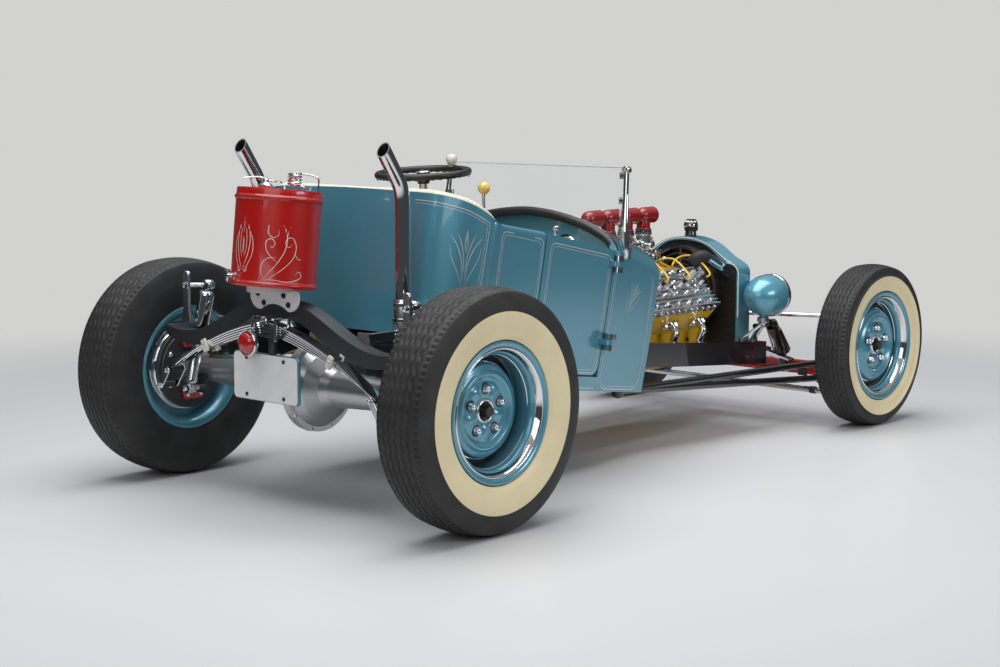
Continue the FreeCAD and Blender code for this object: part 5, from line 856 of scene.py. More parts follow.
def rim_roll():
    """Pleated roll of cream leather along the inside of the body's back rim."""
    path = []
    for side in SIDES:
        half = []
        for number in range(71):
            turn = math.radians(-14.0 + 104.0 * number / 70)
            met = corner_spot(side, turn, 0.5, 0.0)
            if met is None:
                continue
            s = rearward(met[0])
            way = Vector((side * math.cos(turn), math.sin(turn)))
            rise = min(1.0, max(0.0, (s - 1.0) / 0.1))
            inward = Vector((met[0].x - way.x * 0.026, s - way.y * 0.026))
            half.append(body_point(inward.x, inward.y, rim_height(s) - 0.016 + 0.014 * rise))
        path += half if side > 0 else list(reversed(half))[1:]
    return path


roll_path = smooth_path(rim_roll()[::3], 8)
sizes = [0.0145 + 0.0016 * abs(math.sin(number * 0.55)) for number in range(len(roll_path))]
roll = Build("rim_roll").add(tube(roll_path, sizes, 14), leather).done(angle=80.0)


# Rear spring, axle, plate and tail lamp.
SPRING_Y = 1.4523
SPRING_TOP = 0.622
SPRING_DROP = 0.207
SPRING_HALF = 0.5
SPRING_W = 0.045
LEAF = 0.008


def spring_line(x, half, drop):
    """How far a leaf has fallen at a distance from the middle."""
    share = abs(x) / half
    return drop * (0.35 * share + 0.65 * share * share)


def leaf(y, top, half, drop, wide, thick, number, step=0.13):
    """One arched spring leaf with rounded rims and a tapered, slightly lifted tip."""
    reach = half * (1 - number * step)
    path = []
    for k in range(49):
        x = -reach + 2 * reach * k / 48
        fall = spring_line(x, half, drop) * (1 - 0.012 * number)
        path.append((x, top - fall - number * thick - thick / 2))
    section = []
    for across, rise in ((-0.5, 0.0), (-0.47, 0.4), (-0.3, 0.46), (0.3, 0.46), (0.47, 0.4), (0.5, 0.0),
            (0.47, -0.4), (0.3, -0.46), (-0.3, -0.46), (-0.47, -0.4)):
        section.append((across * wide, rise * thick * 0.94))
    points = []
    for k, (x, z) in enumerate(path):
        before, after = path[max(k - 1, 0)], path[min(k + 1, 48)]
        slope = Vector((after[0] - before[0], 0, after[1] - before[1])).normalized()
        normal = Vector((-slope.z, 0, slope.x))
        end = min(1.0, (reach - abs(x)) / 0.03 * 0.45 + 0.55)
        for across, rise in section:
            points.append(Vector((x, y + across * end, z)) + normal * rise)
    wide_count = len(section)
    faces = grid_faces(49, wide_count, False, True, True)
    faces.append(tuple(range(wide_count)))
    faces.append(tuple(reversed(range(48 * wide_count, 49 * wide_count))))
    return points, faces


def box_shape(centre, sizes, bevel=0.002, axes=None):
    """A chamfered block; its long way may be turned by a matrix."""
    half_down = Matrix.Translation((0, 0, -sizes[2] / 2))
    place = Matrix.Translation(Vector(centre)) @ (axes or Matrix.Identity(4)) @ half_down
    w, d = sizes[0] / 2, sizes[1] / 2
    return slab([(w, d), (-w, d), (-w, -d), (w, -d)], sizes[2], place, bevel)


def spring_clip(x, y, top, half, drop, wide, thick, leaves, made, target):
    """Band round the leaves, square to them."""
    z = top - spring_line(x, half, drop)
    slope = (spring_line(abs(x) + 0.01, half, drop) - spring_line(abs(x) - 0.01, half, drop)) / 0.02
    turn = Matrix.Rotation(math.atan(slope) * (1 if x > 0 else -1), 4, "Y")
    target.add(box_shape((x, y, z - leaves * thick / 2), (0.016, wide + 0.006, leaves * thick + 0.006),
        0.002, turn))
    for side in SIDES:
        target.add(box_shape((x, y + side * (wide / 2 + 0.003), z - leaves * thick / 2 - 0.002),
            (0.022, 0.007, leaves * thick + 0.02), 0.002, turn), made)
    for side in SIDES:
        spot = Vector((x, y + side * (wide / 2 + 0.005), z - leaves * thick / 2))
        target.add(nut(spot, (0, side, 0), 0.009, 0.007))


def u_bolt(x, y, top, low, wide, target):
    """Square U-bolt over the leaves with nuts below its plate."""
    for side in SIDES:
        reach = side * (wide / 2 + 0.007)
        target.add(tube([(x, y + reach, low - 0.018), (x, y + reach, top + 0.01)], 0.0055, 10))
        target.add(nut((x, y + reach, low - 0.004), DOWN, 0.012, 0.012))
    target.add(tube([(x, y - wide / 2 - 0.007, top + 0.008), (x, y + wide / 2 + 0.007, top + 0.008)],
        0.0055, 10))


def shackle_set(x_end, z_end, side, y, wide, target):
    """The two plates, bolts and bushes that hang one end of a spring."""
    top = Vector((side * (x_end - 0.011), y, z_end))
    low = top + Vector((side * 0.07 * 0.55, 0, -0.07 * 0.8))
    for face in SIDES:
        shift = Vector((0, face * (wide / 2 + 0.0085), 0))
        along = (low - top).normalized()
        turned_axes = frame_at((0, 0, 0), (0, face, 0), along)
        place = Matrix.Translation((top + low) / 2 + shift) @ turned_axes
        half_length = (low - top).length / 2
        arc = [math.pi * (k / 6 - 0.5) for k in range(7)]
        outline = [(end * (half_length + 0.012 * math.cos(t)), end * 0.012 * math.sin(t)) for end in (1, -1)
            for t in arc]
        target.add(slab(outline, 0.0055, place, 0.001))
        for spot in (top, low):
            target.add(nut(spot + shift + Vector((0, face * 0.005, 0)), (0, face, 0), 0.014, 0.011))
    for spot in (top, low):
        target.add(turned([(-wide / 2, 0.011), (wide / 2, 0.011)], spot, BACK, 20), satin_dark)


SPRING = Build("rear_spring_leaves")
for number in range(5):
    SPRING.add(leaf(SPRING_Y, SPRING_TOP, SPRING_HALF, SPRING_DROP, SPRING_W - 0.001 * number, LEAF,
        number))
for x in (-0.3, 0.3):
    spring_clip(x, SPRING_Y, SPRING_TOP, SPRING_HALF, SPRING_DROP, SPRING_W, LEAF, 3, ivory, SPRING)
for x in (-0.055, 0.055):
    u_bolt(x, SPRING_Y, SPRING_TOP, SPRING_TOP - 5 * LEAF - 0.006, SPRING_W, SPRING)
SPRING.add(box_shape((0, SPRING_Y, SPRING_TOP - 5 * LEAF - 0.006), (0.15, SPRING_W + 0.03, 0.008)),
    satin_dark)
for side in SIDES:
    shackle_set(SPRING_HALF, SPRING_TOP - SPRING_DROP, side, SPRING_Y, SPRING_W, SPRING)
SPRING.done("rear_spring")

BANJO = (0.0, 1.2435, 0.385)
AXLE = Build("rear_axle_fittings")
for side in SIDES:
    for turn in turns(10, 0.5):
        spot = Vector((side * 0.008, BANJO[1] + 0.146 * math.sin(turn), BANJO[2] + 0.146 * math.cos(turn)))
        AXLE.add(nut(spot, (side, 0, 0), 0.013, 0.012))
    for turn in turns(8):
        spot = Vector((side * 0.118, BANJO[1] + 0.052 * math.sin(turn), BANJO[2] + 0.052 * math.cos(turn)))
        AXLE.add(nut(spot, (side, 0, 0), 0.01, 0.01), satin_dark)
    AXLE.add(tube(smooth_path([(side * 0.02, 1.25, 0.54), (side * 0.14, 1.205, 0.492),
        (side * 0.34, 1.2, 0.436), (side * 0.56, 1.225, 0.432)], 8), 0.0038, 8), brass)
    for x in (0.25, 0.45):
        AXLE.add(turned(mm(-6, 40.5, 6, 40.5), (side * x, BANJO[1], BANJO[2]), (1, 0, 0), 28), satin_dark)
AXLE.add(turned(mm(-4, 0, 0, 16, 10, 16, 12, 12, 12, 0), (0.03, 1.378, 0.42), (0, 1, 0.2), 6), satin_dark)
AXLE.add(box_shape((0.0, 1.252, 0.552), (0.032, 0.03, 0.026)), brass)
AXLE.done()

PLATE_W, PLATE_H = 0.305, 0.152
PLATE_Z = 0.437
PLATE_PLACE = frame_at((0.0, 1.4772, PLATE_Z), BACK, (1, 0, 0))
plate = Build("number_plate_face")
plate.add(slab(rounded_rectangle(PLATE_W, PLATE_H, 0.014), 0.0016, PLATE_PLACE, 0.0005), white_plate)
plate.add(slab(rounded_rectangle(PLATE_W - 0.01, PLATE_H - 0.01, 0.01), 0.0012,
    PLATE_PLACE @ Matrix.Translation((0, 0, 0.001)), 0.0004), white_plate)
for x in (-0.0889, 0.0889):
    for z in (-0.060325, 0.060325):
        spot = Vector((x, 1.4795, PLATE_Z + z))
        plate.add(turned(mm(0, 6.8, 2.2, 6.2, 3.4, 4, 3.6, 0), spot, BACK, 18), satin_dark)
plate.add(slab(rounded_rectangle(PLATE_W + 0.008, PLATE_H + 0.006, 0.016), 0.01,
    PLATE_PLACE @ Matrix.Translation((0, 0, -0.0115)), 0.002), paint)
plate.done()

LAMP_BACK = (0.042, 1.4858, 0.552)
tail = Build("tail_lamp_glass")
tail.add(turned(mm(0, 0, 0, 20, 8, 30, 18, 39.5, 26, 42.5, 30, 43.5, 34, 43, 36, 40.5, 35, 38, 32, 37),
    LAMP_BACK, BACK, 48))
tail.add(turned(mm(32, 37.2, 38, 36, 45, 31, 50, 23, 53, 12, 54, 0), LAMP_BACK, BACK, 48), red_glass)
tail.add(nut(LAMP_BACK, AHEAD, 0.02, 0.016))
tail.done("tail_lamp")
stem = Build("tail_lamp_stem")
stem.add(tube(smooth_path([(0.042, 1.484, 0.552), (0.052, 1.476, 0.546), (0.058, 1.47, 0.53),
    (0.058, 1.47, 0.516)], 6), 0.006, 12))
stem.add(nut((0.058, 1.47, 0.5135), UP, 0.016, 0.012))
stem.done()


# Fuel can and exhaust stacks.
CAN = Matrix.Translation((0.0, 1.4405, 0.73)) @ Matrix.Rotation(math.radians(6.4), 4, "X")
CAN_R = 0.138
CAN_H = 0.315
LID = 0.305


def can_spot(u, v, middle):
    """A spot on the can's side: u along its girth from a middle angle, v above its base."""
    turn = math.radians(middle) + u / CAN_R
    out = Vector((math.cos(turn), math.sin(turn), 0.0))
    return CAN @ (out * (CAN_R + 0.0004) + Vector((0, 0, v))), (CAN.to_3x3() @ out).normalized()


def in_can(x, y, z):
    """A point of the can's own frame in the car's."""
    return CAN @ Vector((x, y, z))


def can_line(count, *sizes):
    """A smooth line through corners that are given in the can's own frame, in millimetres."""
    return smooth_path([in_can(*corner) for corner in mm(*sizes, wide=3)], count)


def ring_up(height, peak=0.0055):
    """Corners of a rolled bead round the can."""
    return [(height + (k - 3) * 0.0029, CAN_R + peak * math.cos(math.pi * (k - 3) / 6.4)) for k in range(7)]


can = Build("can_drum")
can.add(lathe_mesh(mm(1, 0, 1, 134, 0, 137) + ring_up(0.009) + [(0.022, CAN_R), (0.15, CAN_R + 0.0004)]
    + ring_up(0.285) + [(0.3, CAN_R), (0.312, CAN_R - 0.0005), (CAN_H, CAN_R - 0.002),
    (0.3145, CAN_R - 0.004), (0.309, CAN_R - 0.0048), (0.3055, CAN_R - 0.007), (LID, 0.12), (0.3058, 0.1),
    (0.3062, 0.05), (0.3062, 0.0)], 112, CAN, closed=False), red_paint)
can.add(lathe_mesh(mm(306.5, 26, 309.5, 25.5, 311, 21.5, 318, 20.5, 319.5, 23.5, 327, 24, 328.5, 21.5,
    333.5, 15, 337, 10.5, 346, 9.8, 348, 7, 352, 6.6, 352, 0), 36, CAN @ Matrix.Translation((0.069, 0, 0)),
    closed=False))
for turn in turns(12):
    can.add(ball(in_can(0.069 + 0.024 * math.cos(turn), 0.024 * math.sin(turn), 0.3235), 0.0022, 8))
wire = 0.0026
can.add(tube(can_line(6, 69, 0, 348, 86, 18, 352, 108, 44, 348, 116, 54, 344), wire, 10))
can.add(tube(can_line(6, 69, 0, 346, 56, -14, 341, 36, -24, 342, 18, -22, 338, 4, -20, 330, 0, -20, 306.5),
    wire, 10))
can.add(nut(in_can(0.0, -0.02, 0.306), in_can(0, 0, 1) - in_can(0, 0, 0), 0.01, 0.008))
coil = []
for number in range(4 * 24 + 1):
    turn = 2 * math.pi * number / 24
    coil.append(in_can(-0.03 + 0.02 * math.cos(turn + 4.0), -0.033 + 0.02 * math.sin(turn + 4.0),
        0.332 + 0.01 * number / 24))
can.add(tube(coil, 0.0034, 10))
can.add(tube([coil[-1]] + can_line(8, -50, -56, 371, -70, -78, 367, -81, -90, 357, -82, -91, 330,
    -82, -91, 306), wire, 10))
can.add(tube([coil[0]] + can_line(8, -46, -51, 331, -52, -58, 325, -53, -59, 306), wire, 10))
for spot in ((-0.082, -0.091), (-0.053, -0.059)):
    can.add(lathe_mesh(mm(305.8, 9, 308, 8.5, 310, 4), 18, CAN @ Matrix.Translation((spot[0], spot[1], 0)),
        closed=False))
tap, way = can_spot(0.0, 0.03, 74.0)
down = in_can(0, 0, -1) - in_can(0, 0, 0)
can.add(turned(mm(0, 13, 3, 13, 5, 8.5, 18, 8.5, 20, 10.5, 30, 10.5, 32, 0), tap, way, 20))
can.add(turned(mm(0, 6, 14, 5.5, 16, 4.2, 26, 4.2, 26, 0), tap + way * 0.024, down, 16))
can.add(nut(tap + way * 0.024 - down * 0.01, -down, 0.01, 0.01), brass)
across = way.cross(down).normalized()
handle = tap + way * 0.026 - down * 0.016
can.add(tube([handle - across * 0.016, handle + across * 0.016], 0.003, 10))
can.done("fuel_can")

CAN_LINES = Build("can_pinstripes")
LENS = [
    (mm(0, 262, 9, 220, 24, 175, 27, 130, 14, 82, 1, 52), 0.0022),
    (mm(2, 228, 16, 190, 37, 150, 38, 105, 21, 66, 4, 40), 0.002),
    (mm(4, 200, 13, 165, 13, 120, 4, 92), 0.0018),
    (mm(3, 54, 13, 47, 20, 52, 18, 60, 11, 59), 0.0018),
]
flourish(lambda u, v: can_spot(u, v, 90.0), LENS, white_line, CAN_LINES)
for low, high, wide in ((0.165, 0.255, 0.006), (0.105, 0.158, 0.0052)):
    flourish(lambda u, v: can_spot(u, v, 90.0), [([(0.0, low), (0.0, (low + high) / 2), (0.0, high)],
        wide)], line_paint, CAN_LINES, mirror=False)
VINE = [
    (mm(-36, 22, -18, 48, 10, 84, 30, 124, 34, 166, 18, 202, -8, 212, -26, 196, -26, 172, -10, 160, 6, 170,
        4, 186), 0.0026),
    (mm(-30, 20, -2, 40, 30, 66, 58, 98, 66, 134, 54, 160, 36, 160, 30, 142, 42, 132, 52, 142), 0.0022),
    (mm(8, 82, -12, 96, -30, 120, -32, 146, -16, 156, -4, 142, -12, 128, -20, 134), 0.0021),
    (mm(32, 150, 40, 190, 56, 220, 74, 236, 84, 228, 78, 216), 0.0023),
    (mm(22, 196, 30, 224, 44, 246, 60, 258), 0.002),
    (mm(-38, 24, -2, 26, 42, 22, 84, 34, 90, 50, 78, 56, 70, 46), 0.0021),
    (mm(-34, 28, -44, 52, -40, 78, -22, 94, 6, 98), 0.0019),
    (mm(62, 112, 74, 98, 88, 94), 0.0018),
    (mm(-20, 206, -10, 228, 6, 240), 0.0018),
]
flourish(lambda u, v: can_spot(u, v, 138.0), VINE, white_line, CAN_LINES, mirror=False)
flourish(lambda u, v: can_spot(-u, v, 42.0), VINE, white_line, CAN_LINES, mirror=False)
CAN_LINES.done()

BRACKET = Build("can_bracket_bolts")
for x, z in ((0.05, 0.676), (-0.067, 0.676), (-0.045, 0.705), (0.078, 0.705)):
    BRACKET.add(nut((x, 1.4358, z), BACK, 0.0135, 0.009, dome=False), satin_dark)
BRACKET.done()

STACK_Y = 1.1885
CLAMP_Z = 0.5835


def stack(side, made):
    """Chrome pipe that sweeps back to a slanted dark mouth, with its long clamp at the foot."""
    x = side * 0.34
    line = [Vector((x, STACK_Y, 0.556 + 0.03 * number)) for number in range(15)]
    bend_z, bend_r, lean = 1.0, 0.15, math.radians(34.0)
    for number in range(13):
        turn = lean * number / 12
        line.append(Vector((x, STACK_Y + bend_r * (1 - math.cos(turn)), bend_z + bend_r * math.sin(turn))))
    way = Vector((0.0, math.sin(lean), math.cos(lean)))
    reach = (1.176 - line[-1].z) / way.z
    line += [line[-1] + way * reach * number / 6 for number in range(1, 7)]
    cut = Vector((0.0, 0.86, 0.51))

    def on_cut(point):
        return point - way * ((point - line[-1]).dot(cut) / way.dot(cut))

    def slanted(shape, sides):
        points, faces = shape
        return points[:-sides] + [on_cut(point) for point in points[-sides:]], faces[:-2]

    made.add(slanted(tube(line, 0.025, 28), 28))
    inner = slanted(tube(line[-7:], 0.0215, 28), 28)
    made.add((inner[0], [tuple(reversed(face)) for face in inner[1]]), black_leather)
    tip = tube(line[-2:], 0.025, 28)[0][-28:]
    within = tube(line[-2:], 0.0215, 28)[0][-28:]
    made.add(([on_cut(point) for point in tip + within], grid_faces(2, 28, False, True, True)))
    foot = Vector((x, STACK_Y, 0.0))
    made.add(turned(mm(552, 0, 552, 30, 556, 32.5, 690, 32.5, 696, 30, 697, 25.5), foot, UP, 36), aluminium)
    for z in (0.58, 0.63, 0.68):
        made.add(turned([(z - 0.006, 0.0327), (z - 0.005, 0.0345), (z + 0.005, 0.0345),
            (z + 0.006, 0.0327)], foot, UP, 36))
    for z in (0.6, 0.66):
        made.add(nut((x - side * 0.0325, STACK_Y, z), (-side, 0, 0), 0.012, 0.01))
    made.add(box_shape((x, 1.289, CLAMP_Z), (0.008, 0.15, 0.03)))
    for y in (1.24, 1.33):
        made.add(nut((x - side * 0.004, y, CLAMP_Z), (-side, 0, 0), 0.014, 0.011))
    made.add(box_shape((x, 1.3655, CLAMP_Z), (0.05, 0.007, 0.04)))
    made.add(nut((x, 1.199, 0.705), (0.0, 1.0, 0.0), 0.01, 0.014))


PIPES = Build("exhaust_stack_pair")
for side in SIDES:
    stack(side, PIPES)
PIPES.done("exhaust_stacks")


# Dampers.

def eye(target, centre, axis, radius=0.019, wide=0.032):
    """Damper eye with its rubber bush, washers and nuts."""
    way = Vector(axis).normalized()
    start = Vector(centre) - way * wide / 2
    target.add(turned([(0.0, 0.01), (0.0, radius - 0.002), (0.003, radius), (wide - 0.003, radius),
        (wide, radius - 0.002), (wide, 0.01)], start, way, 28))
    target.add(turned([(-0.003, 0.0), (-0.003, radius * 0.72), (0.0, radius * 0.78), (wide, radius * 0.78),
        (wide + 0.003, radius * 0.72), (wide + 0.003, 0.0)], start, way, 24), rubber)
    for end, face in ((start - way * 0.003, -way), (start + way * (wide + 0.003), way)):
        target.add(nut(end, face, 0.016, 0.012))


SHOCK_POST_X = 0.529
SHOCK_FOOT_X = 0.545
REAR_SHOCKS = Build("rear_shock_bodies")
for side in SIDES:
    high = Vector((side * 0.494, 1.2975, 0.693))
    low = Vector((side * SHOCK_FOOT_X, 1.345, 0.33))
    way = (low - high).normalized()
    reach = (low - high).length
    REAR_SHOCKS.add(turned([(0.018, 0.0), (0.018, 0.014), (0.024, 0.0235), (0.028, 0.0265), (0.04, 0.027),
        (reach * 0.5, 0.027), (reach * 0.505, 0.0255), (reach * 0.51, 0.027), (reach * 0.545, 0.027),
        (reach * 0.55, 0.025), (reach * 0.555, 0.0195), (reach - 0.045, 0.0195), (reach - 0.04, 0.0225),
        (reach - 0.024, 0.0225), (reach - 0.018, 0.012), (reach - 0.018, 0.0)], high, way, 36))
    eye(REAR_SHOCKS, high, BACK)
    eye(REAR_SHOCKS, low, BACK)
    outline = [(0.0155 * math.cos(math.pi * k / 12), 0.166 + 0.0155 * math.sin(math.pi * k / 12))
        for k in range(13)]
    outline += [(-0.0155, 0.05), (-0.024, 0.012), (-0.024, 0.0), (0.024, 0.0), (0.024, 0.012),
        (0.0155, 0.05)]
    bar = frame_at((side * SHOCK_POST_X, 1.369, 0.563), AHEAD, UP) @ Matrix.Rotation(-math.pi / 2, 4, "Z")
    REAR_SHOCKS.add(slab(outline, 0.011, bar, 0.002), aluminium)
    REAR_SHOCKS.add(tube([(side * SHOCK_POST_X, 1.364, 0.694), (side * 0.512, 1.332, 0.6935),
        (side * 0.496, 1.316, 0.693)], 0.0085, 14))
    REAR_SHOCKS.add(nut((side * SHOCK_POST_X, 1.369, 0.694), BACK, 0.019, 0.013))
    for z in (0.572, 0.6):
        REAR_SHOCKS.add(nut((side * SHOCK_POST_X, 1.358, z), AHEAD, 0.013, 0.01))
    REAR_SHOCKS.add(tube([low, (side * SHOCK_FOOT_X, 1.288, 0.332)], 0.0105, 16))
    REAR_SHOCKS.add(box_shape((side * SHOCK_FOOT_X, 1.29, 0.345), (0.05, 0.012, 0.072)), satin_dark)
REAR_SHOCKS.done("rear_shocks")


# Engine and radiator.
CRANK_Z = 0.395
DECK = 0.236
HEAD_TOP = 0.2683
FIN_TOP = 0.2825
BANK_FRONT = -0.719
HEAD_LONG = 0.56
CARB_PITCH = 0.115
CARB_YS = [-0.2015 - CARB_PITCH * number for number in range(4)]
MANIFOLD_Z = 0.69
LEAD_YELLOW = grain(material("yellow_plug_lead", (0.82, 0.52, 0.03, 1.0), 0.4), 200.0, 0.1, 0.001)
mottle(LEAD_YELLOW, 30.0, (0.76, 0.47, 0.025, 1.0), (0.86, 0.56, 0.04, 1.0))


def bank_point(side, out, along, y):
    """On one cylinder bank: out from the crank and along the deck outwards."""
    slope = math.sqrt(0.5)
    return Vector((side * slope * (out + along), y, CRANK_Z + slope * (out - along)))


def head_dressing(side):
    """Bosses, dome nuts, plugs, leads and the small studs along both deck edges of one bank."""
    target = Build("head_fittings_" + ("left" if side > 0 else "right"))
    up = bank_point(side, 1.0, 0.0, 0.0) - bank_point(side, 0.0, 0.0, 0.0)
    for row, across in enumerate((-0.078, -0.028, 0.028, 0.078)):
        count = 7 if row % 2 else 8
        for number in range(count):
            y = BANK_FRONT + 0.03 + (HEAD_LONG - 0.06) * (number + (0.5 if row % 2 else 0.0)) / 7
            if row == 0 and number == 0:
                continue
            spot = bank_point(side, HEAD_TOP - 0.006, across, y)
            target.add(turned(mm(0, 11.5, 16, 11, 17.5, 9.5, 17.5, 0), spot, up, 16), aluminium)
            target.add(nut(bank_point(side, FIN_TOP - 0.0035, across, y), up, 0.0125, 0.015, 0.4 * number))
    for number in range(4):
        y = BANK_FRONT + HEAD_LONG * (number + 0.5) / 4
        foot = bank_point(side, HEAD_TOP - 0.004, 0.002, y)
        target.add(turned(mm(0, 21, 18, 20, 20, 16), foot, up, 20), aluminium)
        target.add(nut(bank_point(side, HEAD_TOP + 0.014, 0.002, y), up, 0.02, 0.014, 0.2, dome=False))
        target.add(turned(mm(0, 6.5, 10, 6.5, 14, 5.5, 30, 5), bank_point(side, HEAD_TOP + 0.026, 0.002, y),
            up, 14), white_plate)
        top = bank_point(side, HEAD_TOP + 0.052, 0.002, y)
        target.add(tube([top, top + up * 0.018], 0.0078, 12), rubber)
        inner = Vector((side * 0.085, y - 0.03, 0.7 - number * 0.004))
        path = smooth_path([top + up * 0.012, top + up * 0.04 + Vector((-side * 0.01, -0.012, 0.0)),
            (top + inner) / 2 + Vector((0, -0.02, 0.045)), inner,
            Vector((side * (0.078 - 0.007 * number), -0.64, 0.664 - 0.006 * number)),
            Vector((side * (0.052 - 0.004 * number), -0.745, 0.64 - 0.01 * number)),
            Vector((side * 0.03, -0.775, 0.62 - 0.012 * number))], 8)
        target.add(tube(path, 0.0038, 8), LEAD_YELLOW)
    for number in range(14):
        y = BANK_FRONT + 0.02 + (HEAD_LONG - 0.04) * number / 13
        for edge in (-0.0955, 0.0955):
            spot = bank_point(side, DECK + 0.016, edge, y)
            away = bank_point(side, DECK + 0.016, edge * 2, y) - spot
            target.add(turned(mm(0, 10, 4, 10, 6, 0), spot, away, 12), aluminium)
    return target.done()


for side in SIDES:
    head_dressing(side)

DISTRIBUTOR = Build("distributor")
DISTRIBUTOR.add(turned(mm(0, 0, 0, 52, 20, 54, 30, 50, 40, 44, 46, 0), (0.0, -0.758, 0.602), AHEAD, 36),
    rubber)
for side in SIDES:
    for number in range(4):
        DISTRIBUTOR.add(tube([(side * 0.03, -0.776, 0.62 - 0.012 * number),
            (side * 0.03, -0.8, 0.618 - 0.012 * number)], 0.0062, 10), rubber)
DISTRIBUTOR.done()


def carburettor(y):
    """One two-barrel carburettor with its bowl, flange nuts, screws and levers."""
    target = Build("carburettor_fittings_%d" % (round(-y * 1000)))
    target.add(slab(rounded_rectangle(0.096, 0.058, 0.016), 0.007,
        Matrix.Translation((0, y, MANIFOLD_Z + 0.0075)), 0.001), aluminium)
    for x in (-0.038, 0.038):
        for shift in (-0.019, 0.019):
            target.add(nut((x, y + shift, MANIFOLD_Z + 0.0145), UP, 0.012, 0.013))
    target.add(turned(mm(0, 29.5, 6, 31, 10, 31, 14, 28.5, 40, 27.5, 44, 33, 52, 33, 56, 28.5, 86, 28.5,
        90, 34, 98, 34, 101, 28.5), (0, y, MANIFOLD_Z + 0.016), UP, 32), aluminium)
    target.add(turned(mm(-6, 0, -6, 19, 0, 22.5, 32, 22.5, 38, 18, 40, 0),
        (0, y + 0.02, MANIFOLD_Z + 0.065), BACK, 28))
    for side in SIDES:
        target.add(turned(mm(0, 12, 12, 12, 16, 9, 18, 0), (side * 0.026, y, MANIFOLD_Z + 0.06),
            (side, 0, 0), 20))
        target.add(nut((side * 0.03, y - 0.012, MANIFOLD_Z + 0.092), (side, 0, 0), 0.01, 0.01), brass)
        for angle in (0.7, 2.2, 3.9, 5.4):
            target.add(nut((0.029 * math.cos(angle), y + 0.029 * math.sin(angle), MANIFOLD_Z + 0.113), UP,
                0.0075, 0.008))
    target.add(tube([(-0.052, y, MANIFOLD_Z + 0.03), (0.052, y, MANIFOLD_Z + 0.03)], 0.004, 10))
    target.add(box_shape((-0.05, y + 0.01, MANIFOLD_Z + 0.038), (0.004, 0.03, 0.012)))
    target.add(tube(smooth_path([(0.02, y + 0.04, MANIFOLD_Z + 0.066),
        (0.05, y + 0.044, MANIFOLD_Z + 0.062), (0.068, y + 0.04, MANIFOLD_Z + 0.046)], 6), 0.0034, 8))
    return target.done()


for y in CARB_YS:
    carburettor(y)
FUEL = Build("fuel_rail_and_linkage")
FUEL.add(tube([(0.07, CARB_YS[0] + 0.075, MANIFOLD_Z + 0.044),
    (0.07, CARB_YS[3] + 0.02, MANIFOLD_Z + 0.044)], 0.0065, 14))
FUEL.add(tube([(-0.052, CARB_YS[0] + 0.03, MANIFOLD_Z + 0.046), (-0.052, CARB_YS[3] - 0.01,
    MANIFOLD_Z + 0.046)], 0.003, 8))
for y in CARB_YS:
    FUEL.add(nut((0.07, y + 0.04, MANIFOLD_Z + 0.046), UP, 0.012, 0.012), brass)
    FUEL.add(ball((-0.052, y + 0.012, MANIFOLD_Z + 0.046), 0.006, 12), brass)
for number in range(5):
    for side in SIDES:
        spot = (side * 0.055, CARB_YS[0] + 0.045 - CARB_PITCH * number, MANIFOLD_Z)
        FUEL.add(nut(spot, UP, 0.014, 0.015))
FUEL.add(turned(mm(0, 19, 30, 19, 33, 22, 41, 22, 44, 0), (0.0, -0.64, MANIFOLD_Z - 0.004), UP, 28))
FUEL.done()

SCOOPS = Build("air_horns")
for y in CARB_YS:
    horn = mm(-34, 0, -33, 12, -28, 22, -18, 29, -4, 31.8, 20, 32, 46, 32.2, 54, 32.6, 59.5, 33, 60.2, 31.8,
        59, 30, 30, 28.5, 8, 26, 4, 0)
    SCOOPS.add(turned(horn, (0, y, 0.872), AHEAD, 40), scoop_red)
    SCOOPS.add(turned(mm(5.5, 25.5, 5, 12, 5, 0), (0, y, 0.872), AHEAD, 40), satin_dark)
    SCOOPS.add(turned(mm(0, 29.5, 4, 31, 10, 31, 13, 27.5, 34, 27.5, 50, 24), (0, y, 0.8085), UP, 32),
        scoop_red)
    SCOOPS.add(turned(mm(-2, 32.2, 4, 32.2), (0, y, 0.812), UP, 32))
SCOOPS.done("air_scoops")

HOSE_END_Y = -0.742
second_tone("coolant_hoses", rubber, lambda spot: spot.y > HOSE_END_Y)

BLOCK = Build("block_fittings")
for side in SIDES:
    for number in range(3):
        y = BANK_FRONT + HEAD_LONG * (0.12, 0.45, 0.8)[number]
        spot = bank_point(side, DECK * 0.76, 0.0953, y)
        away = bank_point(side, DECK * 0.76, 0.2, y) - spot
        place = frame_at(spot, away, BACK)
        BLOCK.add(slab(rounded_rectangle(0.088, 0.046, 0.016), 0.009, place, 0.001))
        for shift in (-0.034, 0.034):
            BLOCK.add(nut(place @ Vector((shift, 0, 0.009)), away, 0.014, 0.012))
    for number in range(7):
        y = -0.735 + 0.085 * number
        BLOCK.add(nut((side * 0.1505, y, 0.372), (side, 0, 0), 0.013, 0.008), satin_dark)
BLOCK.add(tube([(0.0, -0.8, 0.5), (0.0, -0.76, 0.5)], 0.018, 20))
BLOCK.done()

CAP_Y = -0.8742
CAP = Build("radiator_cap")
CAP.add(turned(mm(0, 22.5, 6, 24.5, 12, 22.5, 30, 20.5, 36, 26, 46, 28.5, 54, 28.5, 58, 24, 60, 0),
    (0.0, CAP_Y, 0.7705), UP, 32), black_paint)
for turn in turns(8):
    CAP.add(ball((0.0195 * math.cos(turn), CAP_Y + 0.0195 * math.sin(turn), 0.8285), 0.0075, 12))
CAP.add(turned(mm(0, 29, 4, 30, 8, 29), (0.0, CAP_Y, 0.812), UP, 32))
CAP.add(turned(mm(0, 0, 0, 21.5, 4, 22.5, 9, 15, 10.5, 0), (0.0, CAP_Y, 0.829), UP, 28))
CAP.done()

SHELL = nodes["radiator_shell"]
SHELL_REAR_Y = max(point.co.y for point in SHELL.data.vertices)
SHELL_MIDDLE = 0.56


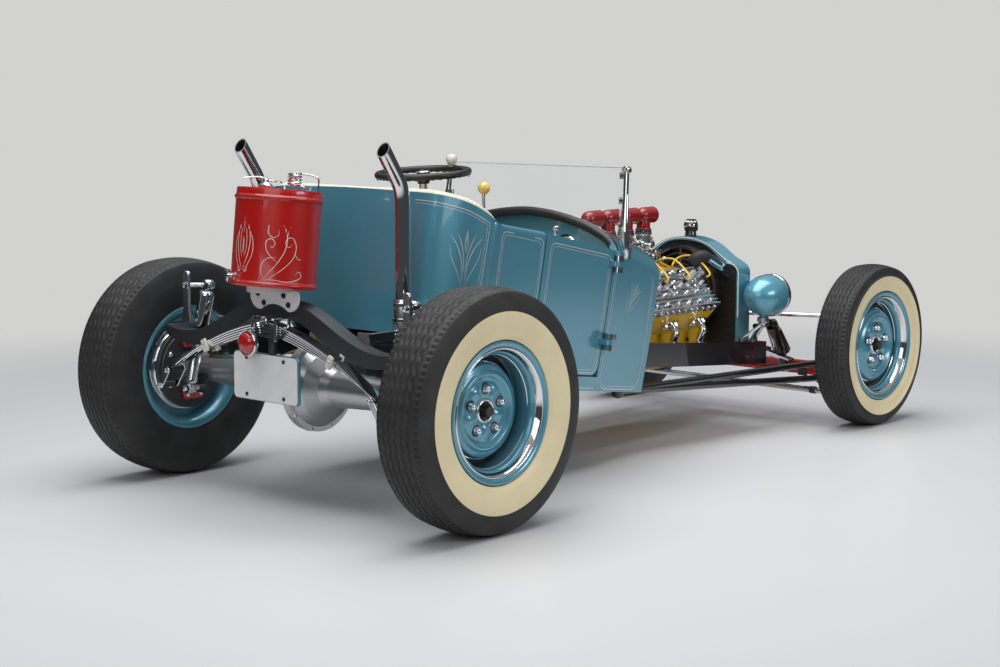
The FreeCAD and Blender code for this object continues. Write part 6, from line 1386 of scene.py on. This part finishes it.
def shell_edge(inset, lift):
    """Spots along the radiator shell's rear edge, inside its outline."""
    spots = []
    for number in range(141):
        turn = math.radians(-42.0 + 264.0 * number / 140)
        way = Vector((math.cos(turn), 0.0, math.sin(turn)))
        start = Vector((0.0, SHELL_REAR_Y - 0.004, SHELL_MIDDLE)) + way * 0.8
        met, place, normal, _ = SHELL.ray_cast(start, -way)
        if met and place.z > 0.452:
            flat = Vector((normal.x, 0.0, normal.z)).normalized()
            spots.append((Vector((place.x, SHELL_REAR_Y + lift, place.z)) - flat * inset,
                Vector((0.0, 1.0, 0.0))))
    return spots


EDGE = Build("shell_edge_line")
for part in runs(shell_edge(0.0045, 0.0008), 0.06):
    EDGE.add(ribbon(part, 0.006), white_line)
EDGE.done()


# The fan guard's rings and spokes are of a lighter metal than the core behind them.
GUARD_TOP_Z = 0.72
guard_rear = max(point.co.y for point in nodes["radiator"].data.vertices if point.co.z < GUARD_TOP_Z)
second_tone("radiator", guard_metal, lambda spot: spot.y > guard_rear - 0.006 and spot.z < GUARD_TOP_Z)


# Front axle, steering rods and headlamps.
FRONT_SPRING_TOP = 0.318
FRONT_SPRING_SIZES = (FRONT_SPRING_TOP, 0.34, 0.056)
FRONT_SPRING_W = 0.044
FRONT_SPRING_Y = -1.13
KNUCKLE_Y = -1.2965
TIE_ROD_Y, TIE_ROD_Z = -1.1465, 0.1397
LAMP_X, LAMP_Z = 0.358, 0.545
FRONT_SPRING = Build("front_spring_leaves")
for number in range(5):
    FRONT_SPRING.add(leaf(FRONT_SPRING_Y, *FRONT_SPRING_SIZES, FRONT_SPRING_W - 0.001 * number, 0.007,
        number))
for x in (-0.045, 0.045):
    u_bolt(x, FRONT_SPRING_Y, FRONT_SPRING_TOP, 0.276, FRONT_SPRING_W, FRONT_SPRING)
for x in (-0.21, 0.21):
    spring_clip(x, FRONT_SPRING_Y, *FRONT_SPRING_SIZES, FRONT_SPRING_W, 0.007, 3, satin_dark, FRONT_SPRING)
FRONT_SPRING.done()

LAMPS = Build("headlamp_fittings")
for side in SIDES:
    face = (side * LAMP_X, -0.959, LAMP_Z)
    LAMPS.add(turned(mm(12, 0, 7, 30, 4, 50, 1, 66, 4, 76), face, BACK, 56), clear_lens)
    LAMPS.add(turned(mm(4, 74.5, -1, 76.5, -2.5, 80, 1, 84.5, 8, 86.2, 18, 86.2, 21, 83.5), face, BACK, 72))
    LAMPS.add(turned(mm(0, 80.5, 0, 84.5, 18, 86.8, 50, 84.2, 80, 76.5, 105, 65.5, 126, 50, 140, 34,
        147, 18, 150, 0), (side * LAMP_X, -0.9405, LAMP_Z), BACK, 72), paint)
    LAMPS.add(ball((side * LAMP_X, -0.96, 0.6315), 0.006, 12))
LAMPS.done("headlamps")
STANDS = Build("lamp_stand_fittings")
for side in SIDES:
    STANDS.add(nut((side * LAMP_X, -0.884, 0.443), DOWN, 0.024, 0.016))
    STANDS.add(turned(mm(-12, 18.5, -6, 24, 8, 24, 14, 16.5), (side * LAMP_X, -0.884, 0.449), UP, 28))
STANDS.done()

SHOCKS = Build("front_shock_bodies")
for side in SIDES:
    high = Vector((side * 0.252, -1.11, 0.404))
    low = Vector((side * 0.236, -1.2965, 0.206))
    way = (low - high).normalized()
    reach = (low - high).length
    start = high + way * 0.035
    SHOCKS.add(turned([(0.0, 0.015), (0.004, 0.0265), (0.01, 0.0285), (reach * 0.5, 0.0285),
        (reach * 0.51, 0.0265), (reach * 0.52, 0.015)], start, way, 32), black_paint)
SHOCKS.done()

AXLE_RED = Build("front_axle_fittings")
for side in SIDES:
    for z in (0.1815, 0.3715):
        AXLE_RED.add(turned(mm(0, 22, 6, 21, 9, 14, 9, 0), (side * 0.505, KNUCKLE_Y, z),
            (0, 0, 1 if z > 0.3 else -1), 24))
    AXLE_RED.add(nut((side * 0.402, KNUCKLE_Y, 0.2335), UP, 0.026, 0.02))
AXLE_RED.done()


def joint_boot(place, body, name):
    """Rubber boot and nut of a steering joint."""
    made = Build(name, body)
    made.add(turned(mm(-18, 10, -14, 16.5, -4, 19.5, 6, 18.5, 14, 13, 18, 9.5), place, UP, 24), satin_dark)
    made.add(nut((place[0], place[1], place[2] + 0.017), UP, 0.017, 0.012))
    return made.done()


for side, word in ((1, "left"), (-1, "right")):
    joint_boot((side * 0.505, TIE_ROD_Y, TIE_ROD_Z), "tie_rod_body", "tie_rod_boot_" + word)
ROD = Build("tie_rod_clamps", "tie_rod_body")
for side in SIDES:
    ROD.add(turned(mm(-14, 12.8, -12, 15.5, 12, 15.5, 14, 12.8), (side * 0.44, TIE_ROD_Y, TIE_ROD_Z),
        (1, 0, 0), 24), satin_dark)
ROD.done()


# Steering wheel, seats, doors, dashboard and windscreen.
COLUMN = Matrix.Translation((0.2, 0.5255, 1.065)) @ Matrix.Rotation(math.radians(-4.0), 4, "X")
GRIP_RING = 0.165
DASH_FACE_S = 0.2783
ball_yellow = mottle(material("yellow_knob", (0.78, 0.5, 0.1, 1.0), 0.16, 0.0, 0.8), 22.0,
    (0.7, 0.42, 0.07, 1.0), (0.84, 0.58, 0.16, 1.0))


def wheel_grip():
    """Moulded rim with finger grooves along its underside."""
    points = []
    steps, sides = 216, 16
    for turn in turns(steps):
        for angle in turns(sides):
            under = max(0.0, -math.sin(angle))
            size = 0.0128 - 0.0022 * under * (0.5 + 0.5 * math.cos(36 * turn))
            away = GRIP_RING + size * math.cos(angle)
            points.append(COLUMN @ polar(away, turn, size * 1.05 * math.sin(angle)))
    return points, grid_faces(steps, sides, True, True)


STEER = Build("steering_wheel_rim", "steering_wheel_body")
STEER.add(wheel_grip(), black_leather)
for number in range(4):
    turn = math.pi * number / 2 + math.pi / 4
    out = polar(1.0, turn)
    path = smooth_path([COLUMN @ (out * 0.018 + Vector((0, 0, -0.02))),
        COLUMN @ (out * 0.06 + Vector((0, 0, -0.018))), COLUMN @ (out * 0.12 + Vector((0, 0, -0.007))),
        COLUMN @ (out * 0.163)], 6)
    STEER.add(tube(path, 0.0075, 14, 0.55))
up = (COLUMN.to_3x3() @ Vector(UP)).normalized()
STEER.add(turned(mm(-37.5, 0, -37.5, 21.5, -30, 22.5, -22, 30, -12, 32, -6, 29, 0, 24.5, 4, 23.5, 6, 20.5,
    10, 15, 11.5, 0), COLUMN @ Vector((0, 0, 0)), up, 48), black_leather)
STEER.add(turned(mm(4, 24, 6.5, 26.2, 9, 24), COLUMN @ Vector((0, 0, 0)), up, 48))
knob = COLUMN @ Vector((0.009, -0.1645, 0.0))
STEER.add(tube([knob + up * 0.008, knob + up * 0.022], 0.005, 12))
STEER.add(turned(mm(8, 0, 8, 15, 12, 15.5, 16, 8), knob, up, 20))
STEER.add(turned(mm(16, 0, 17, 9, 21, 15.5, 28, 19.8, 36, 20.8, 44, 19.2, 51, 14.5, 54.5, 8, 55.5, 0), knob,
    up, 36), ivory)
for turn in (0.9, 1.7, 3.8):
    place = COLUMN @ polar(GRIP_RING, turn, -0.006)
    STEER.add(nut(place - up * 0.004, -up, 0.012, 0.009))
STEER.done("steering_wheel", angle=50.0)

POST = Build("column_clamp")
low = COLUMN @ Vector((0, 0, -0.3))
POST.add(turned(mm(-18, 19.5, -16, 24, 16, 24, 18, 19.5), low, up, 32), satin_dark)
POST.add(nut(low + Vector((0.024, 0, 0)), (1, 0, 0), 0.014, 0.012))
POST.done()

LEVER = Build("gear_stick")
foot = body_point(0.0, 0.4239, 0.2003)
knob = Vector((0.0, 0.4165, 1.014))
pleats = mm(0, 62, 4, 62, 8, 54)
for number in range(6):
    low_r = 0.052 - 0.0068 * number
    pleats += [(0.012 + 0.011 * number, low_r), (0.016 + 0.011 * number, low_r - 0.006)]
pleats += [(0.08, 0.0085), (0.084, 0.008)]
LEVER.add(turned(pleats, foot, (0, -0.12, 1), 36), black_leather)
path = smooth_path([foot + Vector((0, 0, 0.05)), foot + Vector((0, -0.012, 0.18)), foot * 0.45 + knob * 0.55
    + Vector((0, 0.012, 0)), knob - Vector((0, 0, 0.06)), knob - Vector((0, 0, 0.012))], 8)
LEVER.add(tube(path, 0.0062, 16))
LEVER.add(turned(mm(-24.5, 7, -22.5, 8.5, -19.5, 12.5, -12, 19.5, -3, 22.8, 4, 22.8, 12, 19.7, 18, 14,
    21.5, 7.5, 22.8, 0), knob, UP, 40), ball_yellow)
LEVER.done("gear_lever", angle=50.0)


def pleated(name, profile, middle, half, pitch, groove, columns, power):
    """An upholstered form: a side outline carried across the car, with sewn channels and drawn-in ends."""
    loop = smooth_path([Vector((s, h, 0.0)) for s, h in profile + profile[:1]], 6)[:-1]
    count = len(loop)
    points = []
    for number in range(columns + 1):
        x = -half + 2 * half * number / columns
        end = max(1.0 - abs(x / half) ** power, 0.0) ** (1.0 / power)
        channel = abs(math.cos(math.pi * x / pitch)) ** 0.5
        for corner in loop:
            off = Vector((corner.x - middle[0], corner.y - middle[1]))
            size = off.length
            edge = size - groove * (1.0 - channel)
            off = off * (edge / size) * max(end, 0.04)
            points.append(body_point(x, middle[0] + off.x, middle[1] + off.y))
    faces = grid_faces(columns + 1, count, False, True)
    faces.append(tuple(range(count)))
    faces.append(tuple(reversed(range(columns * count, (columns + 1) * count))))
    return Build(name).add((points, faces), leather)


cushion = pleated("seat_cushion_pleats", mm(655, 203.5, 644, 220, 641, 260, 647, 298, 668, 318, 720, 327,
    800, 326, 900, 320, 980, 314, 1002, 300, 1006, 250, 1000, 208, 985, 203.5, 820, 203), (0.82, 0.262),
    0.408, 0.058, 0.0085, 280, 14)
cushion = cushion.done("seat_cushion", angle=80.0)
back = pleated("seat_back_pleats", mm(1016, 206, 1010, 260, 1012, 340, 1018, 420, 1030, 500, 1046, 570,
    1066, 606, 1094, 612, 1112, 590, 1122, 500, 1116, 400, 1112, 300, 1108, 210, 1060, 204), (1.066, 0.4),
    0.446, 0.058, 0.0085, 280, 16)
back = back.done("seat_back", angle=80.0)


def door_pad(side):
    """Pleated inner panel of a door."""
    name = "door_left" if side > 0 else "door_right"
    rows, columns = 34, 96
    grid = []
    for row in range(rows + 1):
        line = []
        for column in range(columns + 1):
            s = 0.375 + 0.37 * column / columns
            h = 0.14 + 0.32 * row / rows
            rim = min(1.0, 14 * min(row, rows - row) / rows, 14 * min(column, columns - column) / columns)
            lift = 0.0006 + 0.0075 * rim ** 0.5 * (0.55 + 0.45 * abs(math.cos(math.pi * s / 0.04)) ** 0.5)
            met = on_surface([name], body_point(0.0, s, h), body_way(side, 0.0, 0.0), lift)
            line.append(met[0] if met is not None and abs(met[0].x) > 0.36 else None)
        grid.append(line)
    points, index = [], {}
    for row, line in enumerate(grid):
        for column, place in enumerate(line):
            if place is not None:
                index[row, column] = len(points)
                points.append(place)
    faces = []
    for row in range(rows):
        for column in range(columns):
            corners = [(row, column), (row, column + 1), (row + 1, column + 1), (row + 1, column)]
            if all(corner in index for corner in corners):
                face = tuple(index[corner] for corner in corners)
                faces.append(face if side > 0 else tuple(reversed(face)))
    return points, faces


for side, body, word in ((1, "door_left_body", "left"), (-1, "door_right_body", "right")):
    pad = Build("door_panel_" + word, body).add(door_pad(side), leather).done(angle=80.0)
    grip = Build("door_knob_" + word, body)
    door = ["door_" + word]
    top = on_surface(door, body_point(side * 0.452, 0.69, 0.75), body_way(0, 0, -1), 0.0)
    if top is not None:
        grip.add(turned(mm(0, 10, 4, 10, 6, 5.5, 20, 5, 22, 8.5, 30, 10.5, 36, 8.5, 38, 0), top[0], UP, 24))
    inner = on_surface(door, body_point(0.0, 0.7, 0.4), body_way(side, 0, 0), 0.008)
    grip.add(turned(mm(0, 16, 5, 15, 10, 9, 22, 8), inner[0], (-side, 0, 0), 24))
    grip.add(tube(smooth_path([inner[0] + Vector((-side * 0.018, 0, 0)),
        inner[0] + Vector((-side * 0.024, -0.03, 0.004)),
        inner[0] + Vector((-side * 0.022, -0.085, -0.004))], 6), 0.0058, 12))
    grip.done()

second_tone("dashboard", paint, lambda spot: rearward(spot) < DASH_FACE_S + 0.0002)

DIALS = Build("dashboard_dials")
rear = body_way(0.0, 1.0, 0.0)
for x, radius in ((0.2, 0.046), (0.085, 0.03), (0.01, 0.03), (-0.065, 0.03), (-0.165, 0.046)):
    spot = body_point(x, DASH_FACE_S, 0.505)
    DIALS.add(turned([(0.0, radius + 0.006), (0.005, radius + 0.006), (0.008, radius + 0.001),
        (0.004, radius - 0.003)], spot, rear, 48))
    DIALS.add(turned([(0.003, radius - 0.002), (0.003, 0.0)], spot, rear, 48), ivory)
    place = frame_at(spot, rear, UP)
    ticks = 21 if radius > 0.04 else 11
    for number in range(ticks):
        turn = math.radians(-135 + 270 * number / (ticks - 1))
        long = 0.24 if number % 5 == 0 else 0.14
        ends = [place @ polar(radius * share, turn, 0.0034) for share in (0.9, 0.9 - long)]
        DIALS.add(tube(ends, 0.0007, 6), satin_dark)
    turn = math.radians(-100 + x * 300)
    DIALS.add(tube([place @ Vector((0, 0, 0.0042)), place @ polar(radius * 0.74, turn, 0.0042)], 0.0009, 8),
        red_paint)
    DIALS.add(turned(mm(3, 4, 6, 4, 7, 0), spot, rear, 20))
for x in (-0.33, -0.29, 0.31):
    DIALS.add(turned(mm(0, 11, 4, 11, 6, 7, 16, 7, 18, 10, 26, 9, 28, 0), body_point(x, DASH_FACE_S, 0.47),
        rear, 24))
DIALS.done()

PEDALS = Build("pedals")
for x, wide, tall in ((0.265, 0.052, 0.062), (0.185, 0.056, 0.062), (0.11, 0.044, 0.092)):
    foot = body_point(x, 0.115, 0.33)
    place = frame_at(foot, body_way(0.0, 1.0, 0.45), UP) @ Matrix.Rotation(math.pi / 2, 4, "Z")
    PEDALS.add(slab(rounded_rectangle(wide, tall, 0.01), 0.008, place, 0.002), rubber)
    for number in range(5):
        bar = place @ Matrix.Translation((0, (number - 2) * tall / 6.0, 0.0075))
        PEDALS.add(slab(rounded_rectangle(wide - 0.01, 0.005, 0.002), 0.003, bar, 0.0008), rubber)
    PEDALS.add(tube(smooth_path([foot, body_point(x, 0.085, 0.3), body_point(x, 0.07, 0.25),
        body_point(x, 0.072, 0.202)], 6), 0.0075, 12), satin_dark)
PEDALS.done()

SCREEN = Build("windscreen_fittings")
for side in SIDES:
    foot = body_point(side * 0.446, 0.279, 0.49)
    waist = body_point(side * 0.44, 0.293, 0.59)
    top = body_point(side * 0.4255, 0.295, 0.804)
    path = smooth_path([foot, foot * 0.55 + waist * 0.45, waist, waist * 0.5 + top * 0.5, top], 10)
    sizes = []
    for number in range(len(path)):
        share = number / (len(path) - 1)
        swell = math.sin(math.pi * min(share * 1.3, 1.0) ** 0.9)
        sizes.append(0.0085 + 0.0085 * max(swell, 0.0) ** 0.8 + 0.0025 * share)
    SCREEN.add(tube(path, sizes, 22, 0.8))
    SCREEN.add(ball(foot, 0.009, 18))
    way = (top - waist).normalized()
    SCREEN.add(turned(mm(-4, 0, -4, 12.5, 2, 14, 6, 14, 10, 9, 12, 0), top, way, 24))
    cross = Vector((-side, 0.0, 0.0))
    SCREEN.add(turned(mm(-16, 0, -16, 9.5, -10, 10.5, 2, 10.5, 4, 7, 18, 7, 18, 0), top - way * 0.004,
        cross, 20))
    for turn in turns(10):
        SCREEN.add(ball(top + way * 0.006 + polar(0.0125, turn), 0.003, 8))
    spot = body_point(side * 0.448, 0.263, 0.503)
    for number in range(5):
        SCREEN.add(turned(mm(-2.2, 0, -2.2, 8.5, 2.2, 8.5, 2.2, 0),
            spot + body_way(0, 0, 0.0085 * (number - 2)), body_way(0, 0, 1), 20), satin_dark)
    SCREEN.add(tube([spot - body_way(0, 0, 0.02), spot + body_way(0, 0, 0.024)], 0.0055, 12))
    for h in (0.6, 0.69, 0.78):
        share = (h - 0.59) / (0.804 - 0.59)
        on_post = waist * (1 - share) + top * share
        SCREEN.add(box_shape(on_post + Vector((-side * 0.016, 0, 0)), (0.02, 0.014, 0.024), 0.002))
        SCREEN.add(nut(on_post + Vector((-side * 0.016, 0.007, 0)), BACK, 0.008, 0.006, dome=False),
            satin_dark)
edge = [body_point(-0.414 + 0.828 * number / 24, 0.295, 0.8085) for number in range(25)]
SCREEN.add(tube(edge, 0.0022, 8), clear_lens)
SCREEN.done("windscreen_posts")


# Studio, lamps and camera.
FLOOR_TONE = (0.625, 0.625, 0.632, 1.0)
WALL_TONE = (0.64, 0.642, 0.635, 1.0)
WALL_GLOSS = (0.055, 0.058, 0.062, 1.0)
ROOM_R = 26.0
ROOM_H = 13.0
ROOM_BEND = 5.0
WALL_START_R = 2.3
WALL_FULL_R = 4.6


def room_material():
    """Pale floor that turns into an evenly lit wall; reflections see a darker wall."""
    made = material("studio_floor", FLOOR_TONE, 0.38)
    tree = made.node_tree
    link = tree.links.new
    shader = tree.nodes["Principled BSDF"]
    shader.inputs["Specular IOR Level"].default_value = 0.2
    mottle(made, 0.8, tone(FLOOR_TONE, 0.985), tone(FLOOR_TONE, 1.0))
    place = tree.nodes.new("ShaderNodeTexCoord")
    length = tree.nodes.new("ShaderNodeVectorMath")
    length.operation = "LENGTH"
    link(place.outputs["Object"], length.inputs[0])
    share = tree.nodes.new("ShaderNodeMapRange")
    share.interpolation_type = "SMOOTHSTEP"
    share.inputs["From Min"].default_value = WALL_START_R
    share.inputs["From Max"].default_value = WALL_FULL_R
    link(length.outputs["Value"], share.inputs["Value"])
    seen = tree.nodes.new("ShaderNodeLightPath")
    tint = tree.nodes.new("ShaderNodeMix")
    tint.data_type = "RGBA"
    tint.inputs["A"].default_value = WALL_GLOSS
    tint.inputs["B"].default_value = WALL_TONE
    clear = tree.nodes.new("ShaderNodeMath")
    clear.operation = "MAXIMUM"
    link(seen.outputs["Is Camera Ray"], clear.inputs[0])
    link(seen.outputs["Is Transmission Ray"], clear.inputs[1])
    link(clear.outputs["Value"], tint.inputs["Factor"])
    glow = tree.nodes.new("ShaderNodeEmission")
    link(tint.outputs["Result"], glow.inputs["Color"])
    mixed = tree.nodes.new("ShaderNodeMixShader")
    link(share.outputs["Result"], mixed.inputs["Fac"])
    link(shader.outputs["BSDF"], mixed.inputs[1])
    link(glow.outputs["Emission"], mixed.inputs[2])
    link(mixed.outputs["Shader"], tree.nodes["Material Output"].inputs["Surface"])
    return made


def make_room():
    """Seamless pale studio: a round floor that curves up into the wall."""
    steps = 12
    profile = [(0.0, 0.0), (0.0, 4.0)]
    for number in range(steps + 1):
        turn = 0.5 * math.pi * number / steps
        profile.append((ROOM_BEND * (1 - math.cos(turn)), ROOM_R - ROOM_BEND * (1 - math.sin(turn))))
    profile.append((ROOM_H, ROOM_R))
    points, faces = lathe_mesh(profile, 96, Matrix.Identity(4), closed=False)
    mesh = bpy.data.meshes.new("studio_room")
    mesh.from_pydata(points, [], faces)
    mesh.polygons.foreach_set("use_smooth", [True] * len(mesh.polygons))
    mesh.materials.append(room_material())
    room = bpy.data.objects.new("studio_room", mesh)
    bpy.context.collection.objects.link(room)


make_room()


def area_light(name, place, target, size, power):
    """A rectangular lamp that points at a target."""
    lamp = bpy.data.lights.new(name, "AREA")
    lamp.shape = "RECTANGLE"
    lamp.size, lamp.size_y = size
    lamp.energy = power
    holder = bpy.data.objects.new(name, lamp)
    bpy.context.collection.objects.link(holder)
    holder.location = place
    holder.rotation_euler = (Vector(target) - Vector(place)).to_track_quat("-Z", "Y").to_euler()


area_light("top_light", (0.0, 0.5, 5.0), (0.0, 0.0, 0.0), (4.0, 6.5), 330.0)
area_light("rear_light", (-3.0, 7.0, 3.6), (0.0, 0.5, 0.4), (5.2, 3.8), 100.0)
area_light("side_light", (-7.0, -1.0, 3.2), (0.0, 0.0, 0.4), (3.0, 1.6), 110.0)
world = bpy.data.worlds.new("studio_world")
bpy.context.scene.world = world
world.use_nodes = True
world.node_tree.nodes["Background"].inputs["Color"].default_value = (0.7, 0.72, 0.75, 1.0)
world.node_tree.nodes["Background"].inputs["Strength"].default_value = 0.5

CAMERA_PLACE = (-4.51519, 5.48389, 1.3488)
CAMERA_YAW = 0.7190289
CAMERA_PITCH = 0.1268385
CAMERA_ROLL = 0.0036484
CAMERA_LENS = 67.34


def make_camera():
    """The photograph's viewpoint."""
    ahead = Vector((math.sin(CAMERA_YAW) * math.cos(CAMERA_PITCH),
        -math.cos(CAMERA_YAW) * math.cos(CAMERA_PITCH), -math.sin(CAMERA_PITCH)))
    level = ahead.cross(Vector(UP)).normalized()
    high = level.cross(ahead)
    right = level * math.cos(CAMERA_ROLL) + high * math.sin(CAMERA_ROLL)
    up = high * math.cos(CAMERA_ROLL) - level * math.sin(CAMERA_ROLL)
    lens = bpy.data.cameras.new("camera")
    lens.lens = CAMERA_LENS
    lens.sensor_width = 36.0
    camera = bpy.data.objects.new("camera", lens)
    bpy.context.collection.objects.link(camera)
    turned = Matrix((right, up, -ahead)).transposed().to_4x4()
    camera.matrix_world = Matrix.Translation(CAMERA_PLACE) @ turned
    bpy.context.scene.camera = camera


make_camera()
bpy.context.scene.view_settings.view_transform = "Standard"
